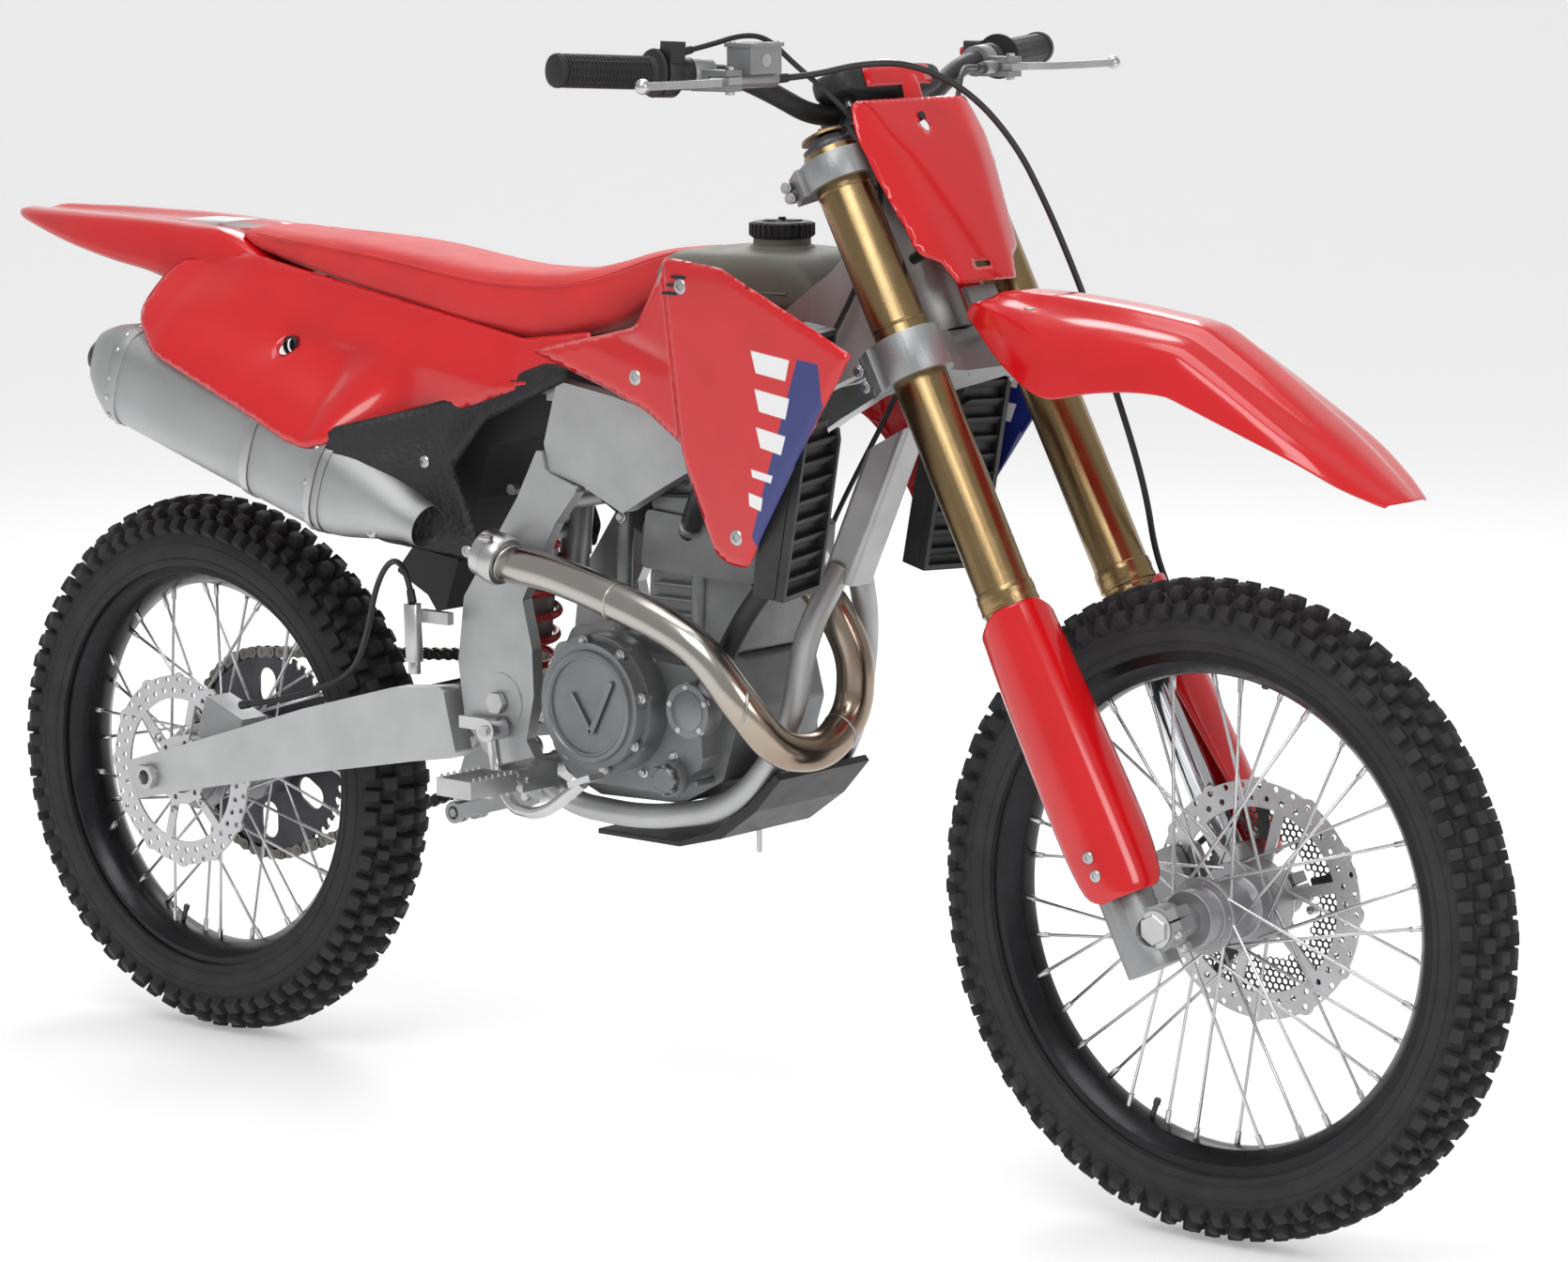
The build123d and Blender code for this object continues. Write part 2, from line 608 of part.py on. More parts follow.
def perch(side):
    """A ring clamp on the bar with an arm ahead of it that forks round the lever."""
    ring = on_bar(side, PERCH_ALONG, 17, BAR_D / 2, 26)
    at = bar_point(side, PERCH_ALONG + 13)
    arm = Pos(at.X + PERCH_REACH / 2 + 8, at.Y, at.Z - 6) * Box(PERCH_REACH + 14, 24, 22)
    gap = Pos(at.X + PERCH_REACH + 8, at.Y, at.Z - 6) * Box(36, 60, LEVER_T + 2 * LEVER_SIDE_GAP)
    inside = on_bar(side, PERCH_ALONG - 20, BAR_D / 2, 0, 70)
    return ring + (arm - gap - inside)


def heel_space(side):
    """The room that the lever's heel turns in."""
    pin = perch_pin(side)
    return Pos(pin.X, pin.Y, pin.Z) * Cylinder(LEVER_HEEL_R, LEVER_T + 2 * LEVER_SIDE_GAP)


def lever_pin(side):
    pin = perch_pin(side)
    return Pos(pin.X, pin.Y, pin.Z) * Cylinder(PIN_R, 22)


def lever(side):
    """A forged hand lever with a ball end."""
    pin = perch_pin(side)
    outline = [(-9, -9), (9, -9), (12, 16), (27, 44), (31, 96), (27, 160), (19, 160), (21, 96), (15, 52),
               (-6, 22)]
    turned = extrude(make_face(Polyline(*outline, close=True)), amount=LEVER_T / 2, both=True)
    turned += Pos(23, 162) * Sphere(8)
    turned -= Cylinder(PIN_R + PIN_GAP, 40)
    placed = turned if side > 0 else mirror(turned, about=Plane.XZ)
    return Pos(pin.X, pin.Y, pin.Z) * placed


def brake_perch():
    """The front brake's master cylinder on its bar clamp, with its reservoir, and the lever's pin."""
    pin = perch_pin(-1)
    base = perch(-1)
    cylinder = rod((pin.X - 14, pin.Y + 11.5, pin.Z), (pin.X - 2, pin.Y + 74, pin.Z), 9)
    pot = Pos(pin.X - 4, pin.Y + 44, pin.Z + 20) * Box(32, 50, 28)
    lid = Pos(pin.X - 4, pin.Y + 44, pin.Z + 36) * Box(36, 54, 4)
    bar = on_bar(-1, PERCH_ALONG - 60, BAR_D / 2 + 1, 0, 160)
    return (base + cylinder + pot + lid - bar - heel_space(-1)) + lever_pin(-1)


def clutch_perch():
    """The clutch lever's perch, with its cable adjuster and the lever's pin."""
    pin = perch_pin(1)
    adjuster = rod((pin.X - 14, pin.Y - 11.5, pin.Z), (pin.X - 6, pin.Y - 42, pin.Z), 7)
    return perch(1) + adjuster - heel_space(1) + lever_pin(1)


def button_place(side):
    """The plane of a switch case's rear face at its button, looking forward along the button's travel."""
    frame = grip_frame(side)
    ahead = frame.y_dir * -side
    at = frame.origin + frame.z_dir * (SWITCH_ALONG + SWITCH_LEN / 2) + frame.x_dir * 8 - ahead * 26
    return Plane(origin=at, z_dir=ahead, x_dir=(0, 0, 1))


def switch_case(side):
    """A switch's case on the bar, with a blind hole for its button."""
    ring = on_bar(side, SWITCH_ALONG, 17, BAR_D / 2, SWITCH_LEN)
    inside = on_bar(side, SWITCH_ALONG - 10, BAR_D / 2, 0, 40)
    box = extrude(button_place(side) * RectangleRounded(24, SWITCH_LEN - 2, 3), amount=20)
    hole = extrude(button_place(side) * Circle(BUTTON_R + PIN_GAP), amount=6)
    return ring + (box - inside) - hole


def button(side):
    """A push button that travels into its case."""
    return extrude(button_place(side).offset(-5) * Circle(BUTTON_R), amount=7)


def number_plate():
    """A facetted front plate with side returns, ahead of the clamps."""
    front = [(78, 1276), (72, 1089), (69, 1060), (72.5, 1060), (75.5, 1089), (81.5, 1276)]
    middle = extrude(Plane(origin=(0, 84, 0), x_dir=(1, 0, 0), z_dir=(0, -1, 0))
                     * make_face(Polyline(*front, close=True)), amount=168)
    wings = []
    for out in (-1, 1):
        wing = [(80.5, out * 84), (71, out * 106), (68.5, out * 104.5), (77, out * 81)]
        wings.append(Pos(0, 0, 1100) * extrude(make_face(Polyline(*wing, close=True)), amount=172))
    plate = middle + wings[0] + wings[1]
    plate -= Pos(80, 0, 1246) * Rot(0, 90, 0) * Cylinder(9, 30)
    plate -= Pos(74, 0, 1078) * Box(30, 44, 9)
    return steered(plate)


def plate_tab():
    """The bracket that carries the number plate's foot on the lower clamp."""
    return steered(Pos(54, 0, 1020) * Box(46, 50, 7) + Pos(65, 0, 1042) * Box(7, 50, 44))


def front_fender():
    """A long arched fender below the lower clamp, narrow between the legs and wide ahead of them."""
    top = [(1045, 83), (1040, 105), (985, 190), (901, 315), (651, 455)]
    under = [(648, 447), (893, 308), (960, 205), (976, 150), (978, -60), (982, -60), (982, 70)]
    flat = [(n, s) for s, n in top + under]
    side_plane = Plane(origin=(0, 90, 0), x_dir=(1, 0, 0), z_dir=(0, -1, 0))
    spine = extrude(side_plane * make_face(Polyline(*flat, close=True)), amount=180)
    plan = make_face(Polyline((-70, -48), (86, -50), (100, -78), (330, -70), (430, -38), (470, -8),
                              (470, 8), (430, 38), (330, 70), (100, 78), (86, 50), (-70, 48), close=True))
    body = spine & (Pos(0, 0, 600) * extrude(plan, amount=500))
    skirts = []
    for out in (-1, 1):
        skirt = [(100, 900), (100, 975), (190, 965), (308, 895), (420, 700), (408, 690), (300, 850),
                 (200, 890)]
        plane = Plane(origin=(0, 76 if out > 0 else -72, 0), x_dir=(1, 0, 0), z_dir=(0, -1, 0))
        skirts.append(extrude(plane * make_face(Polyline(*skirt, close=True)), amount=4))
    trimmed = body
    for skirt in skirts:
        trimmed += skirt & (Pos(0, 0, 600) * extrude(plan, amount=500))
    room = Pos(57, 0, 1020) * Box(70, 60, 12)
    return steered(trimmed - room)


def front_caliper():
    """A two-piston caliper behind the left leg, slotted over the disc, with its two arms to the leg."""
    body = Pos(-34, 74, AXLE_S + 52) * Box(56, 48, 74)
    body = fillet(body.edges().filter_by(Axis.Y), 12)
    slot = Pos(AXLE_N, FRONT_DISC_Y, AXLE_S) * Rot(90, 0, 0) * extrude(Circle(FRONT_DISC_R + 2),
                                                                       amount=2.8, both=True)
    leg = Pos(FORK_OFFSET, FORK_Y, AXLE_S - 36) * extrude(Circle(INNER_TUBE_D / 2 + 4), amount=200)
    arms = Pos(-4, FORK_Y - 5, AXLE_S + 26) * Box(24, 14, 14)
    arms += Pos(-4, FORK_Y - 5, AXLE_S + 54) * Box(24, 14, 14)
    return steered(body - slot + (arms - slot) - leg)


def disc_guard():
    """A moulded guard over the front half of the front disc."""
    ring = Circle(FRONT_DISC_R + 10) - Circle(52)
    keep = Pos(120, 10) * Rectangle(200, 190)
    face = ring & keep
    for k in range(-2, 3):
        for r in (74, 92, 110):
            a = radians(k * 13 + 8)
            face -= Pos(r * cos(a), r * sin(a)) * RegularPolygon(7, 6)
    plane = Plane(origin=(AXLE_N, 82, AXLE_S), x_dir=(1, 0, 0), z_dir=(0, -1, 0))
    return steered(extrude(plane * face, amount=3))


# ---------------------------------------------------------------- frame
def in_plan(points, low, high):
    """A prism standing on these x, y corners."""
    return Pos(0, 0, low) * extrude(make_face(Polyline(*points, close=True)), amount=high - low)


def head_space():
    """What the frame leaves free for the stem and its bearings."""
    bore = Pos(0, 0, LOWER_CLAMP_TOP) * extrude(Circle(STEM_R + 3), amount=UPPER_CLAMP_LOW - LOWER_CLAMP_TOP)
    low = LOWER_CLAMP_TOP + HEAD_GAP
    seat = Pos(0, 0, low) * extrude(Circle(BEARING_R), amount=BEARING_H)
    top = Pos(0, 0, UPPER_CLAMP_LOW - HEAD_GAP - BEARING_H) * extrude(Circle(BEARING_R), amount=BEARING_H)
    clamp_room = LOWER_CLAMP_TOP + HEAD_GAP - LOWER_CLAMP_LOW + 20
    below = Pos(0, 0, LOWER_CLAMP_LOW - 20) * extrude(Circle(160), amount=clamp_room)
    above = Pos(0, 0, UPPER_CLAMP_LOW - HEAD_GAP) * extrude(Circle(160), amount=60)
    return steered(bore + seat + top + below + above)


def main_spars():
    """The head tube with the two alloy spars, which spread round the tank and drop to the pivot plates."""
    low, top = LOWER_CLAMP_TOP + HEAD_GAP, UPPER_CLAMP_LOW - HEAD_GAP
    head = steered(Pos(0, 0, low) * extrude(Circle(HEAD_TUBE_R), amount=top - low))
    side = [(345, 905), (336, 985), (300, 1030), (262, 985), (150, 893), (47, 823), (-18, 838), (-96, 850),
            (-116, 779), (-109, 748), (-60, 735), (-3, 709), (60, 745), (180, 812), (300, 872)]
    web = slab(side, -110, 110, 6)
    outer = [(352, 30), (300, 47), (240, 68), (150, 86), (47, 96), (-130, PLATE_OUT - 5)]
    inner = [(-130, 79), (47, 74), (150, 64), (240, 46), (300, 24), (352, 10)]
    left = in_plan(outer + inner, 680, 1060)
    band = left + mirror(left, about=Plane.XZ)
    gusset = slab([(340, 905), (330, 960), (262, 960), (200, 850), (300, 872)], -24, 24)
    return head + (web & band) + gusset - head_space()


def pivot_plates():
    """The cast plates that hold the swingarm's shaft, with the footpeg hangers' bosses."""
    side = [(-118, 779), (-152, 716), (-236, 596), (-246, 520), (-236, 452), (-205, 420), (-160, 384),
            (-122, 372), (-116, 404), (-142, 440), (-130, 492), (-132, 545), (-146, 600), (-96, 690),
            (-60, 733), (-109, 747.5)]
    plates = []
    for y in (-PLATE_OUT, PLATE_IN):
        plate = slab(side, y, y + PLATE_OUT - PLATE_IN, 5)
        boss = cross_rod(PIVOT_X, PIVOT_Z, y - 1, y + PLATE_OUT - PLATE_IN + 1, 34)
        plates.append(plate + boss)
    shaft = cross_rod(PIVOT_X, PIVOT_Z, -120, 120, PIVOT_SHAFT_R)
    bridge = cross_rod(BRIDGE_X, BRIDGE_Z, -PLATE_IN, PLATE_IN, BRIDGE_R)
    low = cross_rod(-168, 400, -PLATE_IN, PLATE_IN, 11)
    return plates[0] + plates[1] + bridge + low - shaft


def main_frame():
    return main_spars() + (pivot_plates() - main_spars())


def pivot_shaft():
    """The swingarm's shaft, with a nut at each end."""
    shaft = cross_rod(PIVOT_X, PIVOT_Z, -PLATE_OUT - 6, PLATE_OUT + 6, PIVOT_SHAFT_R - RUNNING_GAP)
    for y in (-PLATE_OUT - 2, PLATE_OUT + 9):
        plane = Plane(origin=(PIVOT_X, y, PIVOT_Z), x_dir=(1, 0, 0), z_dir=(0, -1, 0))
        shaft += extrude(plane * RegularPolygon(13, 6), amount=8)
    return shaft


def cradle():
    """The downtube, and its two legs that run under the engine back to the pivot plates."""
    down = steered_box((352, 0, 908), (238, 0, 650), 40, 44) - head_space()
    legs = []
    for out in (-1, 1):
        route = [(240, out * 16, 662), (222, out * 54, 590), (205, out * 58, 480), (140, out * 74, 392),
                 (20, out * 84, 368), (-80, out * 87, 372), (-122, out * 91.9, 392)]
        legs.append(pipe(route, CRADLE_R) - down)
    left_leg, right_leg = legs
    return [down, left_leg, right_leg - left_leg]


def steered_box(a, b, deep, wide):
    """A rectangular bar from a to b."""
    a, b = Vector(*a), Vector(*b)
    plane = Plane(origin=a, z_dir=b - a, x_dir=(0, 1, 0))
    return extrude(plane * RectangleRounded(wide, deep, 7), amount=(b - a).length)


def subframe():
    """Two upper rails and two stays that carry the seat, the airbox and the rear fender."""
    made = None
    for out in (-1, 1):
        upper = pipe([(-96, out * 84, 838), (-260, out * 74, 848), (-420, out * 64, 880),
                      (-600, out * 52, 930)], 9)
        lower = pipe([(-232, out * 82, 640), (-330, out * 76, 720), (-440, out * 66, 830),
                      (-500, out * 60, 892)], 8)
        lug = Pos(-228, out * 84, 636) * Box(22, 14, 22) + Pos(-106, out * 85, 838) * Box(24, 16, 24)
        made = (made + upper + lower + lug) if made else upper + lower + lug
    bar = cross_rod(-585, 926, -52, 52, 8)
    return made + bar


# ---------------------------------------------------------------- engine
def crankcase():
    side = [(-128, 520), (-100, 572), (-20, 572), (130, 560), (146, 500), (120, 420), (60, 388), (-60, 384),
            (-112, 404), (-126, 440)]
    body = slab(side, -CASE_HALF, CASE_HALF, 14)
    right = slab([(-100, 560), (110, 548), (118, 440), (60, 404), (-70, 404), (-104, 440)], -104,
                 -CASE_HALF, 16)
    left = slab([(-40, 556), (110, 548), (118, 440), (60, 404), (-40, 410), (-52, 470)], CASE_HALF, 96, 16)
    return body + right + left + cross_rod(DRIVE_X, DRIVE_Z, CASE_HALF, CASE_HALF + 3, 22)


def output_shaft():
    """The gearbox shaft's end, which the drive sprocket turns with."""
    return cross_rod(DRIVE_X, DRIVE_Z, CASE_HALF + 3.5, SPROCKET_Y + 8, 11)


def cylinder_block():
    low = slab([(0, 572), (136, 562), (152, 640), (4, 646)], -58, 58, 6)
    head = slab([(-2, 646), (160, 640), (166, 700), (6, 712)], -68, 68, 8)
    port = rod((150, 0, 671), (176, 0, 650), 27)
    inlet = rod((10, 0, 668), (-34, 0, 690), 26)
    return low + head + port + inlet


def head_cover():
    return slab([(8, 712.2), (158, 701.4), (150, 732), (90, 742), (16, 740)], -62, 62, 6)


def clutch_cover():
    disc = Pos(-10, -104, 500) * Rot(90, 0, 0) * extrude(Circle(78), amount=30)
    cap = Pos(-10, -134, 500) * Rot(90, 0, 0) * extrude(Circle(70), amount=14)
    rib = Pos(-10, -148, 500) * Rot(90, 0, 0) * extrude(Circle(58) - Circle(53), amount=3)
    made = disc + cap + rib
    for px, pz in ring_places(8, 73, 11):
        made += Pos(-10 + px, -134, 500 + pz) * Rot(90, 0, 0) * extrude(Circle(5), amount=5)
    return made


def ignition_cover():
    disc = Pos(40, 116, 486) * Rot(90, 0, 0) * extrude(Circle(60), amount=20)
    return disc + Pos(40, 122, 486) * Rot(90, 0, 0) * extrude(Circle(44), amount=6)


def water_pump():
    body = Pos(116, -104, 505) * Rot(90, 0, 0) * extrude(Circle(30), amount=24)
    spout = rod((128, -116, 520), (150, -116, 556), 11)
    cap = Pos(78, -104, 424) * Rot(90, 0, 0) * extrude(Circle(20), amount=14)
    return [body + spout, cap]


EXHAUST = [(178, 0, 648.4), (221, -2, 612), (243, 8, 560), (243, 4, 500), (243, -50, 462), (228, -108, 470),
           (205, -140, 520), (160, -154, 580), (95, -158, 608), (0, -154, 632), (-70, -142, 642),
           (-140, -133, 645)]


def exhaust_header():
    """The header pipe, from the port round the frame's legs and back along the right side."""
    return pipe(EXHAUST, 21, 19)


def muffler_axis(t):
    """Along the silencer, from its front at 0 to its tail at 1."""
    a, b = Vector(-392, -136, 716), Vector(-772, -136, 832)
    return a + (b - a) * t


def oval(wide, tall):
    return SlotCenterToCenter(tall - wide, wide) if tall > wide else Circle(wide / 2)


def muffler():
    """The silencer: a cone from the header, an oval can and its inner pipe."""
    front, tail = muffler_axis(0), muffler_axis(0.93)
    plane = Plane(origin=front, z_dir=tail - front, x_dir=(0, 0, 1))
    can = extrude(plane * (oval(92, 122) - oval(88, 118)), amount=(tail - front).length)
    cone_plane = Plane(origin=(-262, -136, 680), z_dir=Vector(-1, 0, 0.3), x_dir=(0, 0, 1))
    cone_inside = loft([plane * oval(88, 118), cone_plane * Circle(24.5)])
    cone = loft([plane * oval(92, 122), cone_plane * Circle(27)]) - cone_inside
    link = pipe([(-136, -133.2, 644.8), (-200, -134.6, 656), (-264, -136, 680.5)], 24.4, 22.4)
    return can + cone + link


def muffler_end():
    """The tail cap, a facetted cone with the outlet."""
    tail, tip = muffler_axis(0.932), muffler_axis(1.04)
    plane = Plane(origin=tail, z_dir=tip - tail, x_dir=(0, 0, 1))
    far = Plane(origin=tip, z_dir=tip - tail, x_dir=(0, 0, 1))
    body = loft([plane * oval(92, 122), far * oval(60, 72)])
    return body - extrude(plane * Circle(OUTLET_R), amount=200) - extrude(plane * oval(84, 114), amount=12)


# ---------------------------------------------------------------- cooling, tank, bodywork
CLAMP_SWEEP_R = 152.0
SWEEP_GAP = 2.0
RADIATOR = [(96, -146), (184, -146), (184, 146), (144, 146), (133, 100), (121, 62), (98, 20)]


def fork_sweep():
    """The room that the lower clamp and the fork tubes sweep as the bars turn."""
    clamp_low, clamp_top = LOWER_CLAMP_LOW - SWEEP_GAP, LOWER_CLAMP_TOP + SWEEP_GAP
    clamp = Pos(0, 0, clamp_low) * extrude(Circle(CLAMP_SWEEP_R), amount=clamp_top - clamp_low)
    legs_r = hypot(FORK_Y, FORK_OFFSET) + OUTER_TUBE_D / 2 + SWEEP_GAP
    legs = Pos(0, 0, OUTER_TUBE_LOW) * extrude(Circle(legs_r), amount=OUTER_TUBE_TOP - OUTER_TUBE_LOW)
    return steered(clamp + legs)


def radiator_place():
    """The left radiator's plane: y across it, z up it, x out of its front."""
    return Pos(255, 0, 800) * Rot(0, 10, 0) * Rot(0, 0, -12) * Rot(0, 90, 0) * Rot(0, 0, 90)


def radiator(side):
    block = extrude(make_face(Polyline(*RADIATOR, close=True)), amount=13, both=True)
    turned = radiator_place() * block - fork_sweep()
    return turned if side > 0 else mirror(turned, about=Plane.XZ)


def radiator_louvre(side):
    """A moulded grille of slats ahead of one radiator."""
    outline = make_face(Polyline(*RADIATOR, close=True))
    made = extrude(outline - offset(outline, -6), amount=10)
    for k in range(-6, 7):
        made += Pos(140, k * 21, 5) * Rot(32, 0, 0) * Box(96, 11, 2)
    made = made & extrude(outline, amount=10)
    placed = radiator_place() * Pos(0, 0, 14) * made - fork_sweep()
    return placed if side > 0 else mirror(placed, about=Plane.XZ)


def shroud(side):
    """The big side shroud: a moulded panel that leans out towards its nose."""
    outline = [(-118, 884), (62, 922), (118, 1002), (212, 995), (300, 962), (413, 918), (330, 800),
               (252, 680),
               (200, 686), (139, 801), (20, 850)]
    panel = Pos(-118, -128, 0) * Rot(0, 0, -9.2) * slab([(x + 118, z) for x, z in outline], -4, 0, 10)
    return panel if side < 0 else mirror(panel, about=Plane.XZ)


def spar_space(gap):
    """The room the spars and the head gusset take out of the tank, as plain prisms."""
    top = [(262, 985 + gap), (150, 893 + gap), (47, 823 + gap), (-18, 838 + gap), (-96, 850 + gap)]
    below = slab(top + [(-96, 700), (262, 700)], -120, 120)
    inner = [(-130, 79 - gap), (47, 74 - gap), (150, 64 - gap), (240, 46 - gap), (300, 24 - gap)]
    beside = in_plan(inner + [(300, 120), (-130, 120)], 690, 1070)
    gusset = slab([(200 - gap, 849), (300, 849), (300, 960 + gap), (262 - gap, 960 + gap)], -25, 25)
    return (below & beside) + (below & mirror(beside, about=Plane.XZ)) + gusset


def fuel_tank():
    """The tank between the spars, with its filler neck."""
    side = [(64, 1003), (203, 1004), (238, 976), (150, 884), (60, 822), (2, 852), (-26, 912), (36, 958)]
    plan = in_plan([(-40, -70), (64, -73), (150, -62), (245, -30), (245, 30), (150, 62), (64, 73),
                    (-40, 70)], 700, 1100)
    top = slab([(64, 1003), (203, 1004), (236, 976), (200, 940), (60, 940), (40, 960)], -94, 94)
    wide = in_plan([(-40, -80), (64, -94), (150, -90), (245, -60), (245, 60), (150, 90), (64, 94),
                    (-40, 80)], 938, 1100)
    neck = Pos(CAP_X, 0, 1000) * extrude(Circle(31), amount=14)
    bore = Pos(CAP_X, 0, 975) * extrude(Circle(CAP_THREAD_R + 0.3), amount=50)
    return (slab(side, -73, 73) & plan) + (top & wide) + neck - bore - spar_space(0.5)


def fuel_cap():
    """A ribbed screw cap with its plug in the neck."""
    top = Pos(CAP_X, 0, 1014.5) * extrude(Circle(36), amount=18)
    for px, py in ring_places(16, 37):
        top -= Pos(CAP_X + px, py, 1014) * extrude(Circle(3.2), amount=30)
    return top + Pos(CAP_X, 0, 990) * extrude(Circle(CAP_THREAD_R), amount=25)


def seat():
    side = [(-643, 994), (-409, 984), (-233, 965), (-142, 965), (-60, 978), (0, 998), (54, 1006), (33, 966),
            (-34, 918), (-159, 884), (-372, 921), (-500, 950), (-606, 972)]
    plan = in_plan([(60, -40), (-60, -62), (-240, -78), (-420, -82), (-660, -62), (-660, 62), (-420, 82),
                    (-240, 78), (-60, 62), (60, 40)], 860, 1040)
    return (slab(side, -90, 90, 5) & plan) - fuel_tank()


def rear_fender():
    """The tail: a long moulded fender under the seat, with turned-down sides."""
    outer = [(-1051, 996), (-1046, 1002), (-800, 998), (-644, 990), (-606, 968), (-560, 930), (-660, 906),
             (-748, 932), (-900, 958)]
    inner = [(-1100, 988), (-800, 993), (-648, 985), (-640, 966), (-560, 800), (-1100, 800)]
    plan = in_plan([(-540, -78), (-660, -86), (-800, -88), (-960, -76), (-1052, -44), (-1052, 44), (-960, 76),
                    (-800, 88), (-660, 86), (-540, 78)], 780, 1040)
    small = in_plan([(-400, -72), (-660, -81), (-800, -83), (-956, -72), (-1047, -42), (-1047, 42),
                     (-956, 72),
                     (-800, 83), (-660, 81), (-400, 72)], 780, 1040)
    return (slab(outer, -100, 100) & plan) - (slab(inner, -100, 100) & small) - seat()


def side_panel(side):
    """A number panel below the seat, with one round cooling hole."""
    outline = [(-711, 943), (-600, 952), (-372, 915), (-165, 878), (-62, 884), (-110, 850), (-300, 790),
               (-414, 758),
               (-520, 800), (-668, 858), (-705, 890)]
    panel = Pos(-62, -112, 0) * Rot(0, 0, 1.5) * slab([(x + 62, z) for x, z in outline], -SHELL_T, 0, 6)
    panel -= cross_rod(-495, 867, -160, -60, 9)
    front, tail = muffler_axis(-0.05), muffler_axis(1.05)
    plane = Plane(origin=front, z_dir=tail - front, x_dir=(0, 0, 1))
    if side < 0:
        panel -= extrude(plane * oval(92 + 2 * PANEL_GAP, 122 + 2 * PANEL_GAP), amount=(tail - front).length)
    return panel if side < 0 else mirror(panel, about=Plane.XZ)


def airbox():
    """The moulded airbox between the subframe's rails, open at the front to the inlet tract."""
    side = [(-112, 868), (-240, 884), (-372, 914), (-430, 925), (-404, 820), (-372, 640), (-300, 632),
            (-262, 700),
            (-244, 762), (-150, 790)]
    wall = [(-118, 862), (-240, 879), (-372, 909), (-422, 917), (-398, 820), (-368, 645), (-303, 637),
            (-267, 702), (-248, 767), (-153, 795)]
    return slab(side, -52, 52) - slab(wall, -48, 48) - intake_boot()


def mud_flap():
    side = [(-374, 634), (-300, 626), (-322, 566), (-336, 562), (-350, 580), (-400, 604)]
    return slab(side, -46, 46, 3)


def skid_plate():
    """The plate under the cradle, turned up ahead of the engine."""
    side = [(-60, 340), (60, 340), (120, 356), (170, 392), (206, 432), (200, 438), (160, 400), (110, 364),
            (58, 346), (-60, 346)]
    return slab(side, -78, 78) - cradle()


def throttle_body():
    body = rod((-36.5, 0, 691.3), (-92, 0, 722), 25)
    side_case = Pos(-62, 32, 706) * Rot(0, 29, 0) * Box(36, 26, 34)
    return [body + side_case - intake_boot(), intake_boot()]


def intake_boot():
    """The rubber duct from the throttle body up over the shock to the airbox."""
    return pipe([(-92.2, 0, 722.1), (-116, 0, 740), (-152, 0, 802)], 26, 22)


def rear_master_cylinder():
    """The rear brake's master cylinder on the frame plate, with the pedal's push rod boot."""
    body = rod((-286, -MASTER_Y, 520), (-288, -MASTER_Y, 586), 10)
    boot = rod((-285.8, -MASTER_Y, 506), (-286, -MASTER_Y, 520), 7)
    tab = Pos(-262, -MASTER_Y + 11, 572) * Box(46, 10, 14)
    return body + boot + (tab - body)


# ---------------------------------------------------------------- swingarm and what it carries
def along_swing(points, y0, y1, round_r=0):
    """A plate between y0 and y1 whose corners are given along and above the swingarm's centre line."""
    return slab([swing_xz(u, v) for u, v in points], y0, y1, round_r)


def swingarm():
    """Two tapered arms welded to a cast cross piece, whose ears turn on the pivot shaft."""
    arm = [(70, 30), (70, -52), (140, -46), (300, -36), (SWING_LEN - 60, -26), (SWING_LEN + 34, -24),
           (SWING_LEN + 38, 24), (SWING_LEN - 60, 28), (300, 40), (150, 42)]
    ear = [(-12, 26), (170, 32), (170, -36), (-12, -26)]
    cross = along_swing([(158, 34), (198, 34), (198, -38), (158, -38)], -ARM_IN, ARM_IN)
    axle = cross_rod(REAR_X, REAR_TYRE_R, -150, 150, REAR_AXLE_R)
    arms, ears = [], None
    for out in (-1, 1):
        y0, y1 = sorted((out * ARM_IN, out * ARM_OUT))
        e0, e1 = sorted((out * EAR_IN, out * EAR_OUT))
        arms.append(along_swing(arm, y0, y1, 8) - axle)
        one = along_swing(ear, e0, e1, 8) + cross_rod(PIVOT_X, PIVOT_Z, e0, e1, SWING_BOSS_R)
        ears = one if ears is None else ears + one
    lug_side = [(138, -16), (165, 10), (165, -36), (140, -43)]
    x, z = ROCKER_X, ROCKER_Z
    for y0 in (-24, 16):
        ears += along_swing(lug_side, y0, y0 + 8) + cross_rod(x, z, y0, y0 + 8, 14)
    ears += cross_rod(x, z, -28, 28, 6)
    ears -= cross_rod(PIVOT_X, PIVOT_Z, -150, 150, PIVOT_SHAFT_R)
    return [*arms, cross, *[piece for piece in (ears - cross).solids()]]


def chain_guide():
    """The block under the left arm that keeps the chain on the sprocket, and the slider on the pivot."""
    block = along_swing([(384, -33), (376, -122), (436, -128), (440, -31)], 66, ARM_IN)
    room = along_swing([(340, -84), (340, -114), (480, -124), (480, -90)], 71, 89.5)
    return block - room


